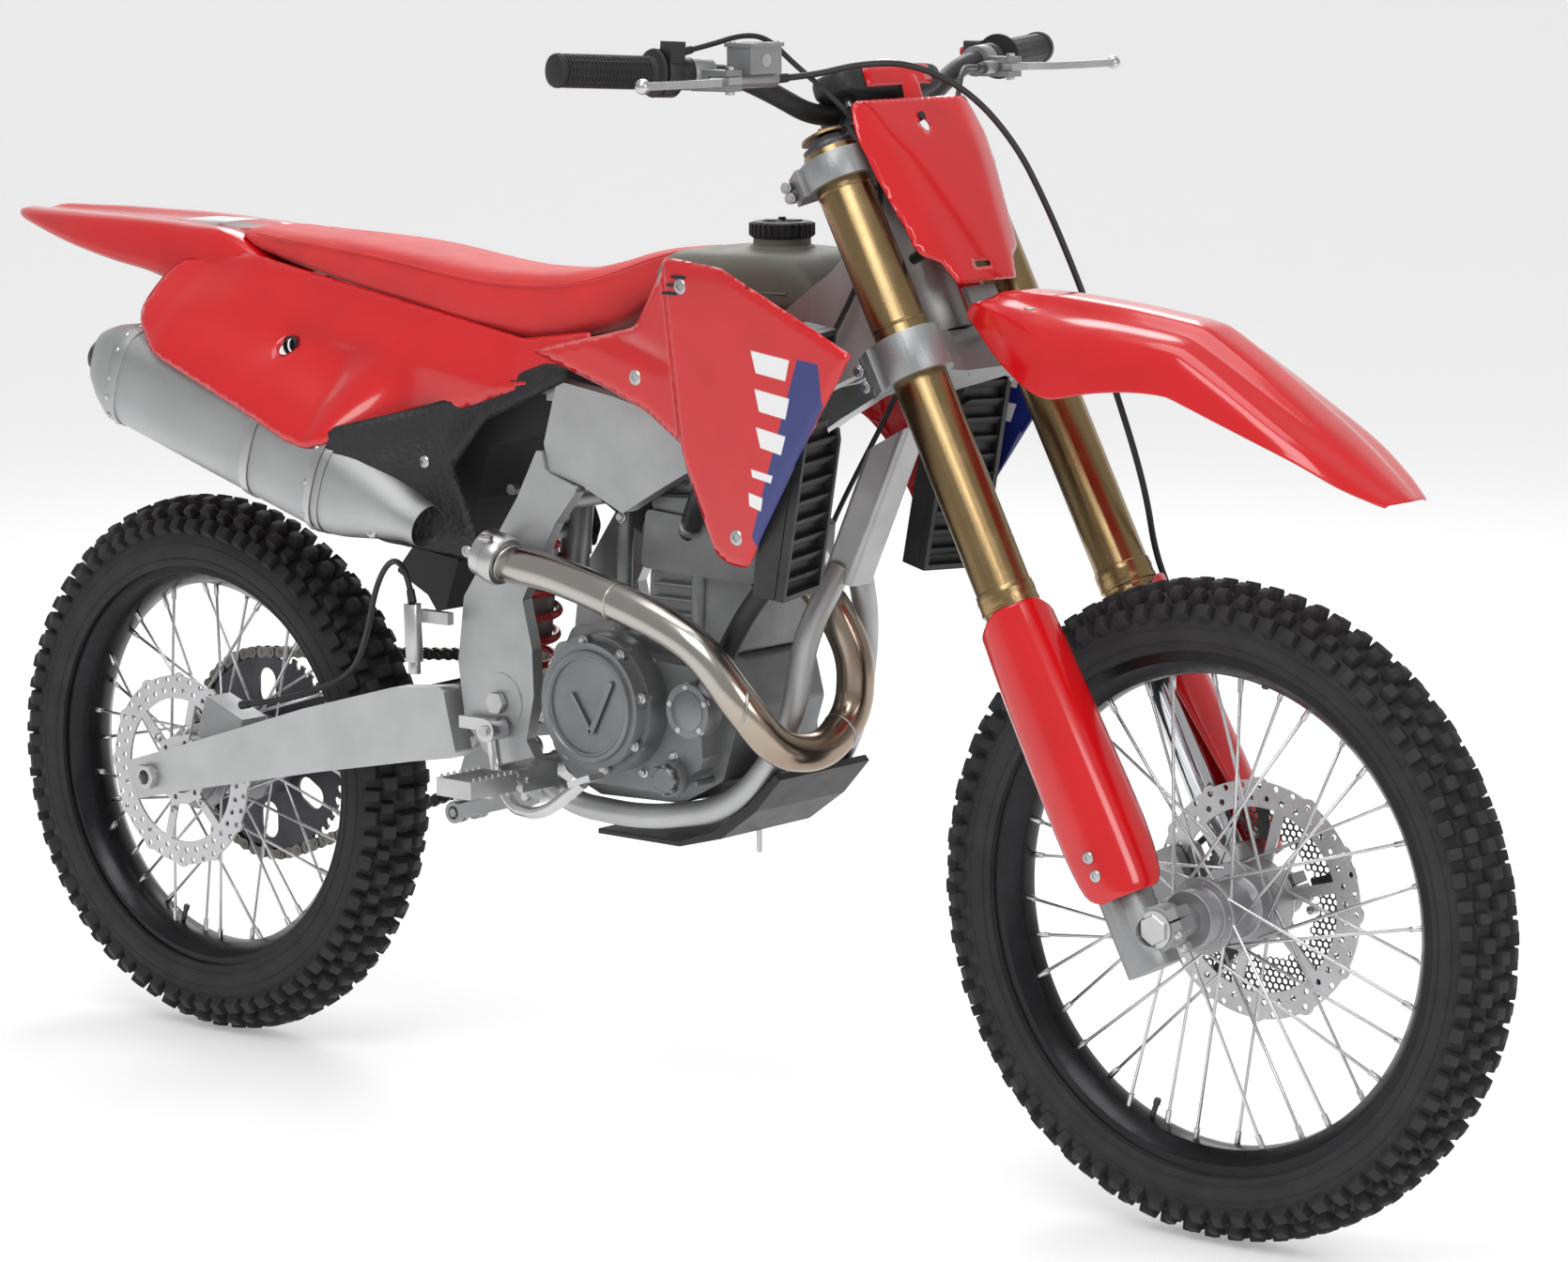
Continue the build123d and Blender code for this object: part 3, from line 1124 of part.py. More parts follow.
def chain_loops():
    """The chain's two rows of side plates, as bands along its pitch line round both sprockets."""
    near_r = CHAIN_PITCH / (2 * sin(pi / DRIVE_TEETH))
    far_r = CHAIN_PITCH / (2 * sin(pi / REAR_TEETH))
    dx, dz = DRIVE_X - REAR_X, DRIVE_Z - REAR_TYRE_R
    turn = atan2(dz, dx)
    tilt = atan2(far_r - near_r, sqrt(dx * dx + dz * dz - (far_r - near_r) ** 2))
    grow = CHAIN_PLATE_H / 2

    def band(r_more):
        points = []
        for sign in (1, -1):
            a = turn + sign * (pi / 2 - tilt)
            points.append(((REAR_X + (far_r + r_more) * cos(a), REAR_TYRE_R + (far_r + r_more) * sin(a)),
                           (DRIVE_X + (near_r + r_more) * cos(a), DRIVE_Z + (near_r + r_more) * sin(a))))
        (p0, p1), (q0, q1) = points
        shape = make_face(Polyline(p0, p1, q1, q0, close=True))
        shape += Pos(REAR_X, REAR_TYRE_R) * Circle(far_r + r_more)
        return shape + Pos(DRIVE_X, DRIVE_Z) * Circle(near_r + r_more)

    loop = band(grow) - band(-grow)
    gap = CHAIN_INNER_W / 2
    bands = []
    for y_top in (SPROCKET_Y - gap, SPROCKET_Y + gap + 2 * CHAIN_PLATE_T):
        plane = Plane(origin=(0, y_top, 0), x_dir=(1, 0, 0), z_dir=(0, -1, 0))
        bands.append(extrude(plane * loop, amount=2 * CHAIN_PLATE_T))
    return bands


def axle_spacers():
    right = cross_rod(REAR_X, REAR_TYRE_R, -ARM_IN, REAR_DISC_Y + DISC_T / 2 - 0.5, 18, REAR_AXLE_R)
    left = cross_rod(REAR_X, REAR_TYRE_R, SPROCKET_Y - SPROCKET_T / 2 + 0.5, ARM_IN, 18, REAR_AXLE_R)
    return [right, left]


def front_spacers():
    lug_in = FORK_Y - 10
    right = cross_rod(FRONT_X, FRONT_TYRE_R, -lug_in, -62.5, 16, FRONT_AXLE_R)
    left = cross_rod(FRONT_X, FRONT_TYRE_R, FRONT_DISC_Y - DISC_T / 2 + 0.5, lug_in, 16, FRONT_AXLE_R)
    return [right - axle_lug(-FORK_Y), left - axle_lug(FORK_Y)]


def rear_caliper():
    x, z = swing_xz(SWING_LEN - 104, 34)
    body = Pos(x, -72, z + 6) * Rot(0, 20, 0) * Box(66, 40, 52)
    slot = cross_rod(REAR_X, REAR_TYRE_R, REAR_DISC_Y - 2.6, REAR_DISC_Y + 2.6, REAR_DISC_R + 2)
    return body - slot - swingarm()


def shock_point(along):
    """x and z this far down the shock from its upper eye."""
    run = hypot(SHOCK_TOP_X - SHOCK_LOW_X, SHOCK_TOP_Z - SHOCK_LOW_Z)
    k = along / run
    return SHOCK_TOP_X + (SHOCK_LOW_X - SHOCK_TOP_X) * k, SHOCK_TOP_Z + (SHOCK_LOW_Z - SHOCK_TOP_Z) * k


def shock_tube(start, end, r, bore=0):
    (x0, z0), (x1, z1) = shock_point(start), shock_point(end)
    return tube((x0, 0, z0), (x1, 0, z1), r, bore) if bore else rod((x0, 0, z0), (x1, 0, z1), r)


def shock_body():
    """The shock absorber's cylinder, with its upper eye, spring collar and reservoir."""
    body = shock_tube(20, 178, 20) + shock_tube(50, 58, 29)
    x, z = shock_point(0)
    eye = cross_rod(x, z, -14, 14, 15)
    pot = rod((SHOCK_TOP_X + 6, 50, SHOCK_TOP_Z - 20), (SHOCK_TOP_X - 8, 50, SHOCK_TOP_Z - 130), 18)
    link = rod((SHOCK_TOP_X - 3, 12, SHOCK_TOP_Z - 38), (SHOCK_TOP_X, 50, SHOCK_TOP_Z - 42), 9)
    whole = body + eye + shock_tube(8, 24, 13) + pot + link
    return whole - cross_rod(x, z, -60, 30, 6 + RUNNING_GAP) - shock_tube(45, 200, ROD_R + RUNNING_GAP)


def shock_mount():
    """The frame's lug and bolt for the shock's upper eye."""
    x, z = shock_point(0)
    bolt = cross_rod(x, z, -60, 26, 6)
    plate = None
    for y0 in (-26, 18):
        lug = slab(strip((x, z), (BRIDGE_X, BRIDGE_Z), 12), y0, y0 + 8) + cross_rod(x, z, y0, y0 + 8, 14)
        lug -= cross_rod(BRIDGE_X, BRIDGE_Z, -40, 40, BRIDGE_R)
        plate = lug if plate is None else plate + lug
    return plate - bolt, bolt


def shock_rod():
    """The shock's rod with its spring seat and lower fork."""
    run = hypot(SHOCK_TOP_X - SHOCK_LOW_X, SHOCK_TOP_Z - SHOCK_LOW_Z)
    bar = shock_tube(ROD_TOP, run - 24, ROD_R) + shock_tube(run - 44, run - 36, 29)
    x, z = shock_point(run)
    eye = cross_rod(x, z, -8, 8, 14) + shock_tube(run - 30, run - 8, 9)
    return bar + eye - cross_rod(x, z, -30, 30, 6 + OPEN_PIVOT_GAP)


def shock_spring():
    """The coil spring between the collar and the seat."""
    run = hypot(SHOCK_TOP_X - SHOCK_LOW_X, SHOCK_TOP_Z - SHOCK_LOW_Z)
    length = run - 45 - 59
    turns = 7
    path = Helix(pitch=(length - SPRING_WIRE - 1) / turns, height=length - SPRING_WIRE - 1, radius=26)
    coil = sweep(Plane(origin=path @ 0, z_dir=path % 0) * Circle(SPRING_WIRE / 2), path=path)
    x, z = shock_point(run - 45)
    slope = degrees(atan2(SHOCK_TOP_X - SHOCK_LOW_X, SHOCK_TOP_Z - SHOCK_LOW_Z))
    return Pos(x, 0, z) * Rot(0, slope, 0) * Pos(0, 0, SPRING_WIRE / 2 + 0.5) * coil


def shock_rocker():
    """The three-holed rocker between the swingarm, the shock and the pull links."""
    a, b, c = (ROCKER_X, ROCKER_Z), (LINK_X, LINK_Z), (SHOCK_LOW_X, SHOCK_LOW_Z)
    made = None
    for y0 in (-15, 9):
        web = slab([a, b, c], y0, y0 + 6)
        for x, z in (a, b, c):
            web += cross_rod(x, z, y0, y0 + 6, 13)
        made = web if made is None else made + web
    tie = cross_rod(LINK_X, LINK_Z, -26, 26, 5) + cross_rod(SHOCK_LOW_X, SHOCK_LOW_Z, -15, 15, 6)
    spine = slab([(a[0] - 14, a[1] - 24), (a[0] - 4, a[1] - 24), (b[0] + 4, b[1] + 24),
                  (b[0] - 6, b[1] + 24)], -15, 15)
    return made + tie + spine - cross_rod(*a, -40, 40, 6 + RUNNING_GAP)


def pull_link():
    """The pair of link arms from the frame's foot to the rocker."""
    arms = []
    for y0 in (-25, 18):
        arm = slab(strip((LINK_FRAME_X, LINK_FRAME_Z), (LINK_X, LINK_Z), 9), y0, y0 + 7)
        arm += cross_rod(LINK_FRAME_X, LINK_FRAME_Z, y0, y0 + 7, 13) + cross_rod(LINK_X, LINK_Z, y0,
                                                                                 y0 + 7, 13)
        arm -= cross_rod(LINK_X, LINK_Z, -40, 40, 5 + OPEN_PIVOT_GAP)
        arm -= cross_rod(LINK_FRAME_X, LINK_FRAME_Z, -40, 40, 5 + RUNNING_GAP)
        arms.append(arm)
    return arms


def strip(a, b, half):
    """The corners of a straight strip from a to b."""
    run = hypot(b[0] - a[0], b[1] - a[1])
    nx, nz = -(b[1] - a[1]) / run * half, (b[0] - a[0]) / run * half
    return [(a[0] + nx, a[1] + nz), (b[0] + nx, b[1] + nz), (b[0] - nx, b[1] - nz), (a[0] - nx, a[1] - nz)]


def link_mount():
    """The frame's lug and pin for the pull links, on the lower cross tube."""
    x, z = LINK_FRAME_X, LINK_FRAME_Z
    lug = slab(strip((x, z), (-168, 400), 10), -15, 15) - cross_rod(-168, 400, -40, 40, 11)
    return lug + cross_rod(x, z, -15, 15, 12) + cross_rod(x, z, -30, 30, 5)


# ---------------------------------------------------------------- feet


def footpeg_hanger():
    """The forked brackets that carry the pegs, outside the pivot plates."""
    made = []
    for out in (-1, 1):
        block = Pos(PEG_X, out * (PLATE_OUT + 15), PEG_Z) * Box(42, 30, 26)
        cheeks = None
        for dx in (-18, 18):
            cheek = Pos(PEG_X + dx, out * (PLATE_OUT + 44), PEG_Z) * Box(6, 28, 26)
            cheeks = cheek if cheeks is None else cheeks + cheek
        pin = Pos(PEG_X, out * (PLATE_OUT + 48), PEG_Z) * Rot(0, 90, 0) * Cylinder(4, 46)
        made.append(block + cheeks + pin)
    return made


def footpeg(side):
    """A cleated peg that folds up on its pin."""
    y = side * (PLATE_OUT + 48)
    eye = Pos(PEG_X, y, PEG_Z) * Rot(0, 90, 0) * Cylinder(9, 28)
    neck = Pos(PEG_X, y + side * 15, PEG_Z) * Box(24, 26, 12)
    ring = Rectangle(52, 74) - Rectangle(44, 66)
    tread = Pos(PEG_X, y + side * 62, PEG_Z - 8) * extrude(ring, amount=20)
    tread += Pos(PEG_X, y + side * 62, PEG_Z - 6) * Box(5, 70, 12)
    tread += Pos(PEG_X, y + side * 62, PEG_Z - 6) * Box(48, 5, 12)
    for k in range(-3, 4):
        for dx in (-24, 24):
            tread += Pos(PEG_X + dx, y + side * (62 + k * 10), PEG_Z + 13) * Cone(2.2, 1.2, 5)
    return eye + neck + tread - Pos(PEG_X, y, PEG_Z) * Rot(0, 90, 0) * Cylinder(4 + PIN_GAP, 60)


def brake_pedal():
    """The rear brake's pedal: a forged arm outside the clutch cover with a cleated tip."""
    arm = pipe([(-176, -127, 452), (-168, -127, 402), (-132, -142, 370), (-60, -170, 374), (6, -176, 420)], 7)
    boss = cross_rod(-176, 452, -138, -112, 13)
    tip = Pos(12, -178, 424) * Rot(0, -20, 0) * Box(34, 24, 7)
    tail = Pos(-206, -118, 455) * Box(50, 8, 14)
    return boss + arm + tip + tail - cross_rod(-176, 452, -150, -100, 6 + PIN_GAP)


def pedal_pin():
    return cross_rod(-176, 452, -142, -PLATE_OUT - 1, 6)


def shift_lever():
    """The gear lever on the left, with its knurled toe piece."""
    x, z = SHIFT_X, SHIFT_Z
    boss = cross_rod(x, z, 104, 122, 11)
    arm = pipe([(x, 116, z), (x + 50, 124, z - 6), (x + 118, 136, z + 4)], 6)
    toe = rod((x + 118, 126, z + 4), (x + 118, 162, z + 4), 8)
    return boss + arm + toe - cross_rod(x, z, 90, 130, 6 + PIN_GAP)


def shift_shaft():
    return cross_rod(SHIFT_X, SHIFT_Z, 96, 124, 6)


# ---------------------------------------------------------------- hoses and cables
FRONT_HOSE = [(274, -164.5, 1194), (289, -124, 1196), (320, -84, 1208), (350, -32, 1208), (388, 18, 1178),
              (422, 54, 1122), (448, 72, 1060), (476, 82, 994), (502, 88, 930), (526, 92, 864), (542, 104,
                                                                                                 802),
              (550, 118, 746), (553.5, 128, 690.5), (573, 131, 645), (596, 132, 589), (622, 134, 530),
              (645, 139, 469), (642, 141, 420), (624, 126, 388), (612.5, 100, 372.5)]
CLUTCH_CABLE = [(269.5, 197, 1194), (278, 162, 1197), (300, 120, 1196), (322, 84, 1170), (330, 64, 1122),
                (326, 58, 1064), (312, 58, 1004), (290, 64, 942), (262, 80, 882), (228, 84, 822),
                (190, 84, 762), (152, 86, 702), (122, 88, 644), (106, 90, 592), (100, 90, 556)]
THROTTLE_CABLE = [(237.5, -274, 1223.6), (246, -238, 1230), (254, -196, 1240), (254, -154, 1236),
                  (264, -120, 1206),
                  (296, -98, 1174), (330, -71, 1126), (331, -57, 1068), (312, -56, 1008), (288, -66, 946),
                  (258, -82, 886), (226, -86, 820), (182, -84, 768), (128, -78, 740), (72, -73, 732),
                  (20, -69, 730), (-26, -52, 720), (-58, -28, 709)]
REAR_HOSE = [(-288, -MASTER_Y, 588), (-298, -133, 622), (-336, -118, 634), (-372, -108, 600),
             (-398, -98, 536),
             (-432, -88, 484), (-500, -86, 456), (-572, -86, 436), (-624, -84, 426)]


def front_brake_hose():
    return pipe(FRONT_HOSE, HOSE_D / 2)


def clutch_cable():
    return pipe(CLUTCH_CABLE, CABLE_D / 2)


def throttle_cable():
    return pipe(THROTTLE_CABLE, CABLE_D / 2)


def rear_brake_hose():
    return pipe(REAR_HOSE, HOSE_D / 2)


# ---------------------------------------------------------------- the parts
def bar_pad():
    """The foam pad over the bar's middle."""
    body = Pos(BAR_X + 14, 0, BAR_Z + 30) * Rot(0, -20, 0) * Box(58, 176, 34)
    body = fillet(body.edges().filter_by(Axis.Y), 12)
    bar = pipe(bar_points(), BAR_D / 2 + 0.5) + cross_rod(BAR_X, BAR_Z, -70, 70, BAR_MID_D / 2 + 0.5)
    return body - bar - bar_clamp_space()


def bar_clamp_space():
    return cross_rod(BAR_X, BAR_Z, -58, -30, 30) + cross_rod(BAR_X, BAR_Z, 30, 58, 30)


def frame_fittings():
    """Bolts, shafts and hangers fixed to the frame, and the rear master cylinder."""
    lug, bolt = shock_mount()
    return [pivot_shaft(), lug, bolt, link_mount(), pedal_pin(), shift_shaft(), *footpeg_hanger(),
            rear_master_cylinder()]


def largest(shape):
    """The biggest solid of a cut shape, without the slivers."""
    return max(shape.solids(), key=lambda solid: solid.volume)


def pair(maker):
    return [maker(-1), maker(1)]


NODES = {
    "front_tyre": front_tyre, "front_rim": front_rim, "front_hub": front_hub, "front_spokes": front_spokes,
    "front_disc": front_disc, "rear_tyre": rear_tyre, "rear_rim": rear_rim, "rear_hub": rear_hub,
    "rear_spokes": rear_spokes, "rear_disc": rear_disc, "rear_sprocket": rear_sprocket,
    "rear_axle": lambda: [rear_axle(), *axle_spacers()],
    "fork_outer_tubes": fork_outer_tubes,
    "fork_sliders": lambda: [*fork_inner_tubes(), *pair(lambda side: axle_lug(side * FORK_Y)), front_axle(),
                             *front_spacers()],
    "fork_guards": lambda: [*fork_guards(), disc_guard()], "front_caliper": front_caliper,
    "fork_clamps": lambda: [lower_clamp() + (plate_tab() - lower_clamp()), upper_clamp(), *bar_clamps(),
                            steering_stem(), *steering_bearings(), *fork_caps()],
    "handlebar": lambda: [handlebar(), bar_mid_sleeve(), grip(1)], "bar_pad": bar_pad,
    "throttle_grip": throttle_grip, "bar_housings": lambda: [throttle_housing(), *pair(switch_case)],
    "lever_perches": lambda: [brake_perch(), clutch_perch()], "brake_lever": lambda: lever(-1),
    "clutch_lever": lambda: lever(1), "start_button": lambda: button(-1), "stop_button": lambda: button(1),
    "number_plate": number_plate, "front_fender": front_fender,
    "main_frame": main_frame, "cradle": lambda: [largest(piece - main_frame()) for piece in cradle()],
    "subframe": lambda: subframe() - main_spars(),
    "engine": lambda: [crankcase(), clutch_cover(), ignition_cover(), *water_pump(), cylinder_block(),
                       head_cover()],
    "drive_sprocket": lambda: drive_sprocket() + output_shaft(),
    "intake": lambda: [airbox(), *throttle_body(), mud_flap()],
    "exhaust_header": exhaust_header, "muffler": lambda: [muffler(), muffler_end()],
    "radiators": lambda: [*pair(radiator), *pair(radiator_louvre)], "shrouds": lambda: pair(shroud),
    "side_panels": lambda: pair(side_panel), "fuel_tank": fuel_tank, "fuel_cap": fuel_cap, "seat": seat,
    "rear_fender": lambda: rear_fender() - subframe(), "skid_plate": skid_plate, "frame_fittings": frame_fittings,
    "footpeg_right": lambda: footpeg(-1), "footpeg_left": lambda: footpeg(1), "brake_pedal": brake_pedal,
    "shift_lever": shift_lever, "swingarm": swingarm, "chain": lambda: [*chain_loops(), chain_guide()],
    "rear_caliper": rear_caliper, "shock_body": shock_body, "shock_rod": shock_rod, "shock_spring": shock_spring,
    "shock_rocker": shock_rocker, "pull_link": pull_link, "front_brake_hose": front_brake_hose,
    "control_cables": lambda: [clutch_cable(), throttle_cable()], "rear_brake_hose": rear_brake_hose,
}


def solids_of(made):
    """Every solid in a shape or in a list of shapes."""
    shapes = made if isinstance(made, (list, tuple)) else [made]
    return [solid for shape in shapes for solid in shape.solids()]


os.makedirs("parts", exist_ok=True)
for node, maker in NODES.items():
    export_step(Compound(children=solids_of(maker())), f"parts/{node}.step")
for label, route in (("front brake hose", FRONT_HOSE), ("clutch cable", CLUTCH_CABLE),
                     ("throttle cable", THROTTLE_CABLE), ("rear brake hose", REAR_HOSE)):
    route_path, bends = path_of(route)
    print(label, round(route_path.length, 1), [round(bend, 1) for bend in bends])
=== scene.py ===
import bpy
import bmesh
import math
import random
from mathutils import Matrix, Vector, geometry


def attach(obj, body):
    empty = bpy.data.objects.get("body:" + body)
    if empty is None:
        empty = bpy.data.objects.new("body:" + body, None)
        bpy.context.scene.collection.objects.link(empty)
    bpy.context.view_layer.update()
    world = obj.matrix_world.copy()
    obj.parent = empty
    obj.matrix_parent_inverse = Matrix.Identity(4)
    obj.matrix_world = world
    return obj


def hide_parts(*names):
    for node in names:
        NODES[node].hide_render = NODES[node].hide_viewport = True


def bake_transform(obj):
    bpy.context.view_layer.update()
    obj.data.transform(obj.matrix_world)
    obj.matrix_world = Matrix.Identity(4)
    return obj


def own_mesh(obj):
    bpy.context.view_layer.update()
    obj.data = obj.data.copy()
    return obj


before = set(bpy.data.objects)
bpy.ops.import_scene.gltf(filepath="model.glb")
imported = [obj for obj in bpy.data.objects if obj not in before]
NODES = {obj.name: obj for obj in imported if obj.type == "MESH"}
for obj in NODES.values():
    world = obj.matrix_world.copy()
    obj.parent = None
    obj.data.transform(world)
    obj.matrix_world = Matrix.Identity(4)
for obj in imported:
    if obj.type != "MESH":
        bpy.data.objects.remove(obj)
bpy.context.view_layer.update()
MM = 0.001
random.seed(7)

# ---------------------------------------------------------------- places shared with the frame (millimetres)
FRONT_AXLE = Vector((730.65, 0, 346.7))
REAR_AXLE = Vector((-746.35, 0, 331))
SWING_PIVOT = Vector((-182, 0, 480))
SWING_DROP = math.radians(14.79)
STEER_ORIGIN_X = 845.65
STEER_SIN = 0.46097
STEER_COS = 0.88742
LEG_Y = 104
LEG_N = 28
LEG_TRAVEL_R = 34.5
LEG_TRAVEL_LOW = 372
LEG_TRAVEL_TOP = 720
SCREEN_LEG_R = 41


def steer(s, n, y):
    """A point s up along the steering axis, n ahead of it and y to the left."""
    return Vector((STEER_ORIGIN_X - s * STEER_SIN + n * STEER_COS, y, s * STEER_COS + n * STEER_SIN))


def swing(u, v, y):
    """A point u back along the swingarm from its pivot, v above it and y to the left."""
    return Vector((SWING_PIVOT.x - u * math.cos(SWING_DROP) - v * math.sin(SWING_DROP), y,
                   SWING_PIVOT.z - u * math.sin(SWING_DROP) + v * math.cos(SWING_DROP)))


# ---------------------------------------------------------------- materials
def material(name, color, rough=0.5, metal=0.0, coat=0.0, coat_rough=0.1, sheen=0.0, specular=0.5,
             mottle=0.08, mottle_scale=18.0, grain=0.15, grain_scale=900.0, smudge=0.12, smudge_scale=35.0,
             brushed=None, tint=None, cells=0.0, cell_scale=350.0, scratches=0.0, aniso=0.0):
    """A procedural surface: colour that drifts, roughness that varies, fine grain or cells in the bump."""
    mat = bpy.data.materials.new(name)
    mat.use_nodes = True
    tree = mat.node_tree
    nodes, links = tree.nodes, tree.links
    shader = nodes["Principled BSDF"]
    shader.inputs["Metallic"].default_value = metal
    shader.inputs["Coat Weight"].default_value = coat
    shader.inputs["Coat Roughness"].default_value = coat_rough
    shader.inputs["Sheen Weight"].default_value = sheen
    shader.inputs["Specular IOR Level"].default_value = specular
    shader.inputs["Anisotropic"].default_value = aniso
    place = nodes.new("ShaderNodeTexCoord").outputs["Object"]
    if brushed:
        stretch = nodes.new("ShaderNodeMapping")
        stretch.inputs["Scale"].default_value = brushed
        links.new(place, stretch.inputs["Vector"])
        fine_place = stretch.outputs["Vector"]
    else:
        fine_place = place

    def noise(scale, detail, source):
        made = nodes.new("ShaderNodeTexNoise")
        made.inputs["Scale"].default_value = scale
        made.inputs["Detail"].default_value = detail
        links.new(source, made.inputs["Vector"])
        return made.outputs["Fac"]

    drift = noise(mottle_scale, 5.0, place)
    ramp = nodes.new("ShaderNodeValToRGB")
    dark = [max(0.0, c * (1 - mottle)) for c in color]
    light = [min(1.0, c * (1 + mottle) + 0.01 * mottle) for c in color]
    ramp.color_ramp.elements[0].position = 0.3
    ramp.color_ramp.elements[0].color = (*dark, 1)
    ramp.color_ramp.elements[1].position = 0.7
    ramp.color_ramp.elements[1].color = (*light, 1)
    links.new(drift, ramp.inputs["Fac"])
    colour = ramp.outputs["Color"]
    if tint:
        colour = tint(nodes, links, place, colour)
    fine = noise(grain_scale, 3.0, fine_place)
    if scratches:
        worn = nodes.new("ShaderNodeMapping")
        worn.inputs["Scale"].default_value = (90, 14, 260)
        worn.inputs["Rotation"].default_value = (0.3, 0.5, 0.2)
        links.new(place, worn.inputs["Vector"])
        lines = noise(6.0, 8.0, worn.outputs["Vector"])
        limit = nodes.new("ShaderNodeMapRange")
        limit.inputs["From Min"].default_value = 0.62
        limit.inputs["From Max"].default_value = 0.72
        limit.inputs["To Max"].default_value = scratches
        links.new(lines, limit.inputs["Value"])
        mix = nodes.new("ShaderNodeMix")
        mix.data_type = "RGBA"
        mix.inputs["B"].default_value = (*[min(1.0, c * 1.5 + 0.05) for c in color], 1)
        links.new(limit.outputs["Result"], mix.inputs["Factor"])
        links.new(colour, mix.inputs["A"])
        colour = mix.outputs["Result"]
    links.new(colour, shader.inputs["Base Color"])
    patch = noise(smudge_scale, 6.0, place)
    span = nodes.new("ShaderNodeMapRange")
    span.inputs["To Min"].default_value = max(0.02, rough - smudge)
    span.inputs["To Max"].default_value = min(1.0, rough + smudge)
    links.new(patch, span.inputs["Value"])
    links.new(span.outputs["Result"], shader.inputs["Roughness"])
    height = fine
    if cells:
        voronoi = nodes.new("ShaderNodeTexVoronoi")
        voronoi.inputs["Scale"].default_value = cell_scale
        links.new(place, voronoi.inputs["Vector"])
        add = nodes.new("ShaderNodeMath")
        add.operation = "MULTIPLY_ADD"
        add.inputs[1].default_value = cells
        links.new(voronoi.outputs["Distance"], add.inputs[0])
        links.new(fine, add.inputs[2])
        height = add.outputs["Value"]
    bump = nodes.new("ShaderNodeBump")
    bump.inputs["Strength"].default_value = grain
    bump.inputs["Distance"].default_value = 0.0006
    links.new(height, bump.inputs["Height"])
    links.new(bump.outputs["Normal"], shader.inputs["Normal"])
    return mat


def half_plane(nodes, links, place, nx, ny, nz, limit, soft=0.0006):
    """1 where x*nx + y*ny + z*nz is over limit, in metres, with a soft edge."""
    dot = nodes.new("ShaderNodeVectorMath")
    dot.operation = "DOT_PRODUCT"
    dot.inputs[1].default_value = (nx, ny, nz)
    links.new(place, dot.inputs[0])
    step = nodes.new("ShaderNodeMapRange")
    step.inputs["From Min"].default_value = limit - soft
    step.inputs["From Max"].default_value = limit + soft
    links.new(dot.outputs["Value"], step.inputs["Value"])
    return step.outputs["Result"]


def product(nodes, links, values):
    """The product of several 0 to 1 masks."""
    whole = values[0]
    for value in values[1:]:
        times = nodes.new("ShaderNodeMath")
        times.operation = "MULTIPLY"
        links.new(whole, times.inputs[0])
        links.new(value, times.inputs[1])
        whole = times.outputs["Value"]
    return whole


def side_polygon(nodes, links, place, corners):
    """A mask for a convex polygon of x, z corners, in millimetres, given clockwise or anticlockwise."""
    middle = Vector((sum(c[0] for c in corners) / len(corners), sum(c[1] for c in corners) / len(corners)))
    masks = []
    for k, corner in enumerate(corners):
        a, b = Vector(corner), Vector(corners[(k + 1) % len(corners)])
        normal = Vector((b.y - a.y, a.x - b.x)).normalized()
        if normal.dot(middle - a) < 0:
            normal = -normal
        masks.append(half_plane(nodes, links, place, normal.x, 0, normal.y, normal.dot(a) * MM))
    return product(nodes, links, masks)


def painted(nodes, links, mask, below, color):
    """The colour below, with color where mask is 1."""
    mix = nodes.new("ShaderNodeMix")
    mix.data_type = "RGBA"
    mix.inputs["B"].default_value = (*color, 1)
    links.new(mask, mix.inputs["Factor"])
    links.new(below, mix.inputs["A"])
    return mix.outputs["Result"]


BLUE = (0.012, 0.022, 0.17)
WHITE = (0.86, 0.86, 0.86)
BLUE_BAND = [(334, 908), (366, 905), (372, 862), (268, 704), (262, 716)]
WHITE_BARS = [[(262, 912), (322, 906), (316, 884), (270, 889)],
              [(268, 872), (322, 866), (316, 844), (275, 849)],
              [(270, 832), (316, 826), (309, 806), (277, 811)],
              [(262, 787), (296, 783), (293, 775), (264, 779)],
              [(258, 762), (280, 758), (277, 744), (259, 748)]]


def shroud_graphic(nodes, links, place, below):
    """A plain blue band with white slanted bars."""
    colour = painted(nodes, links, side_polygon(nodes, links, place, BLUE_BAND), below, BLUE)
    for bar in WHITE_BARS:
        colour = painted(nodes, links, side_polygon(nodes, links, place, bar), colour, WHITE)
    return colour


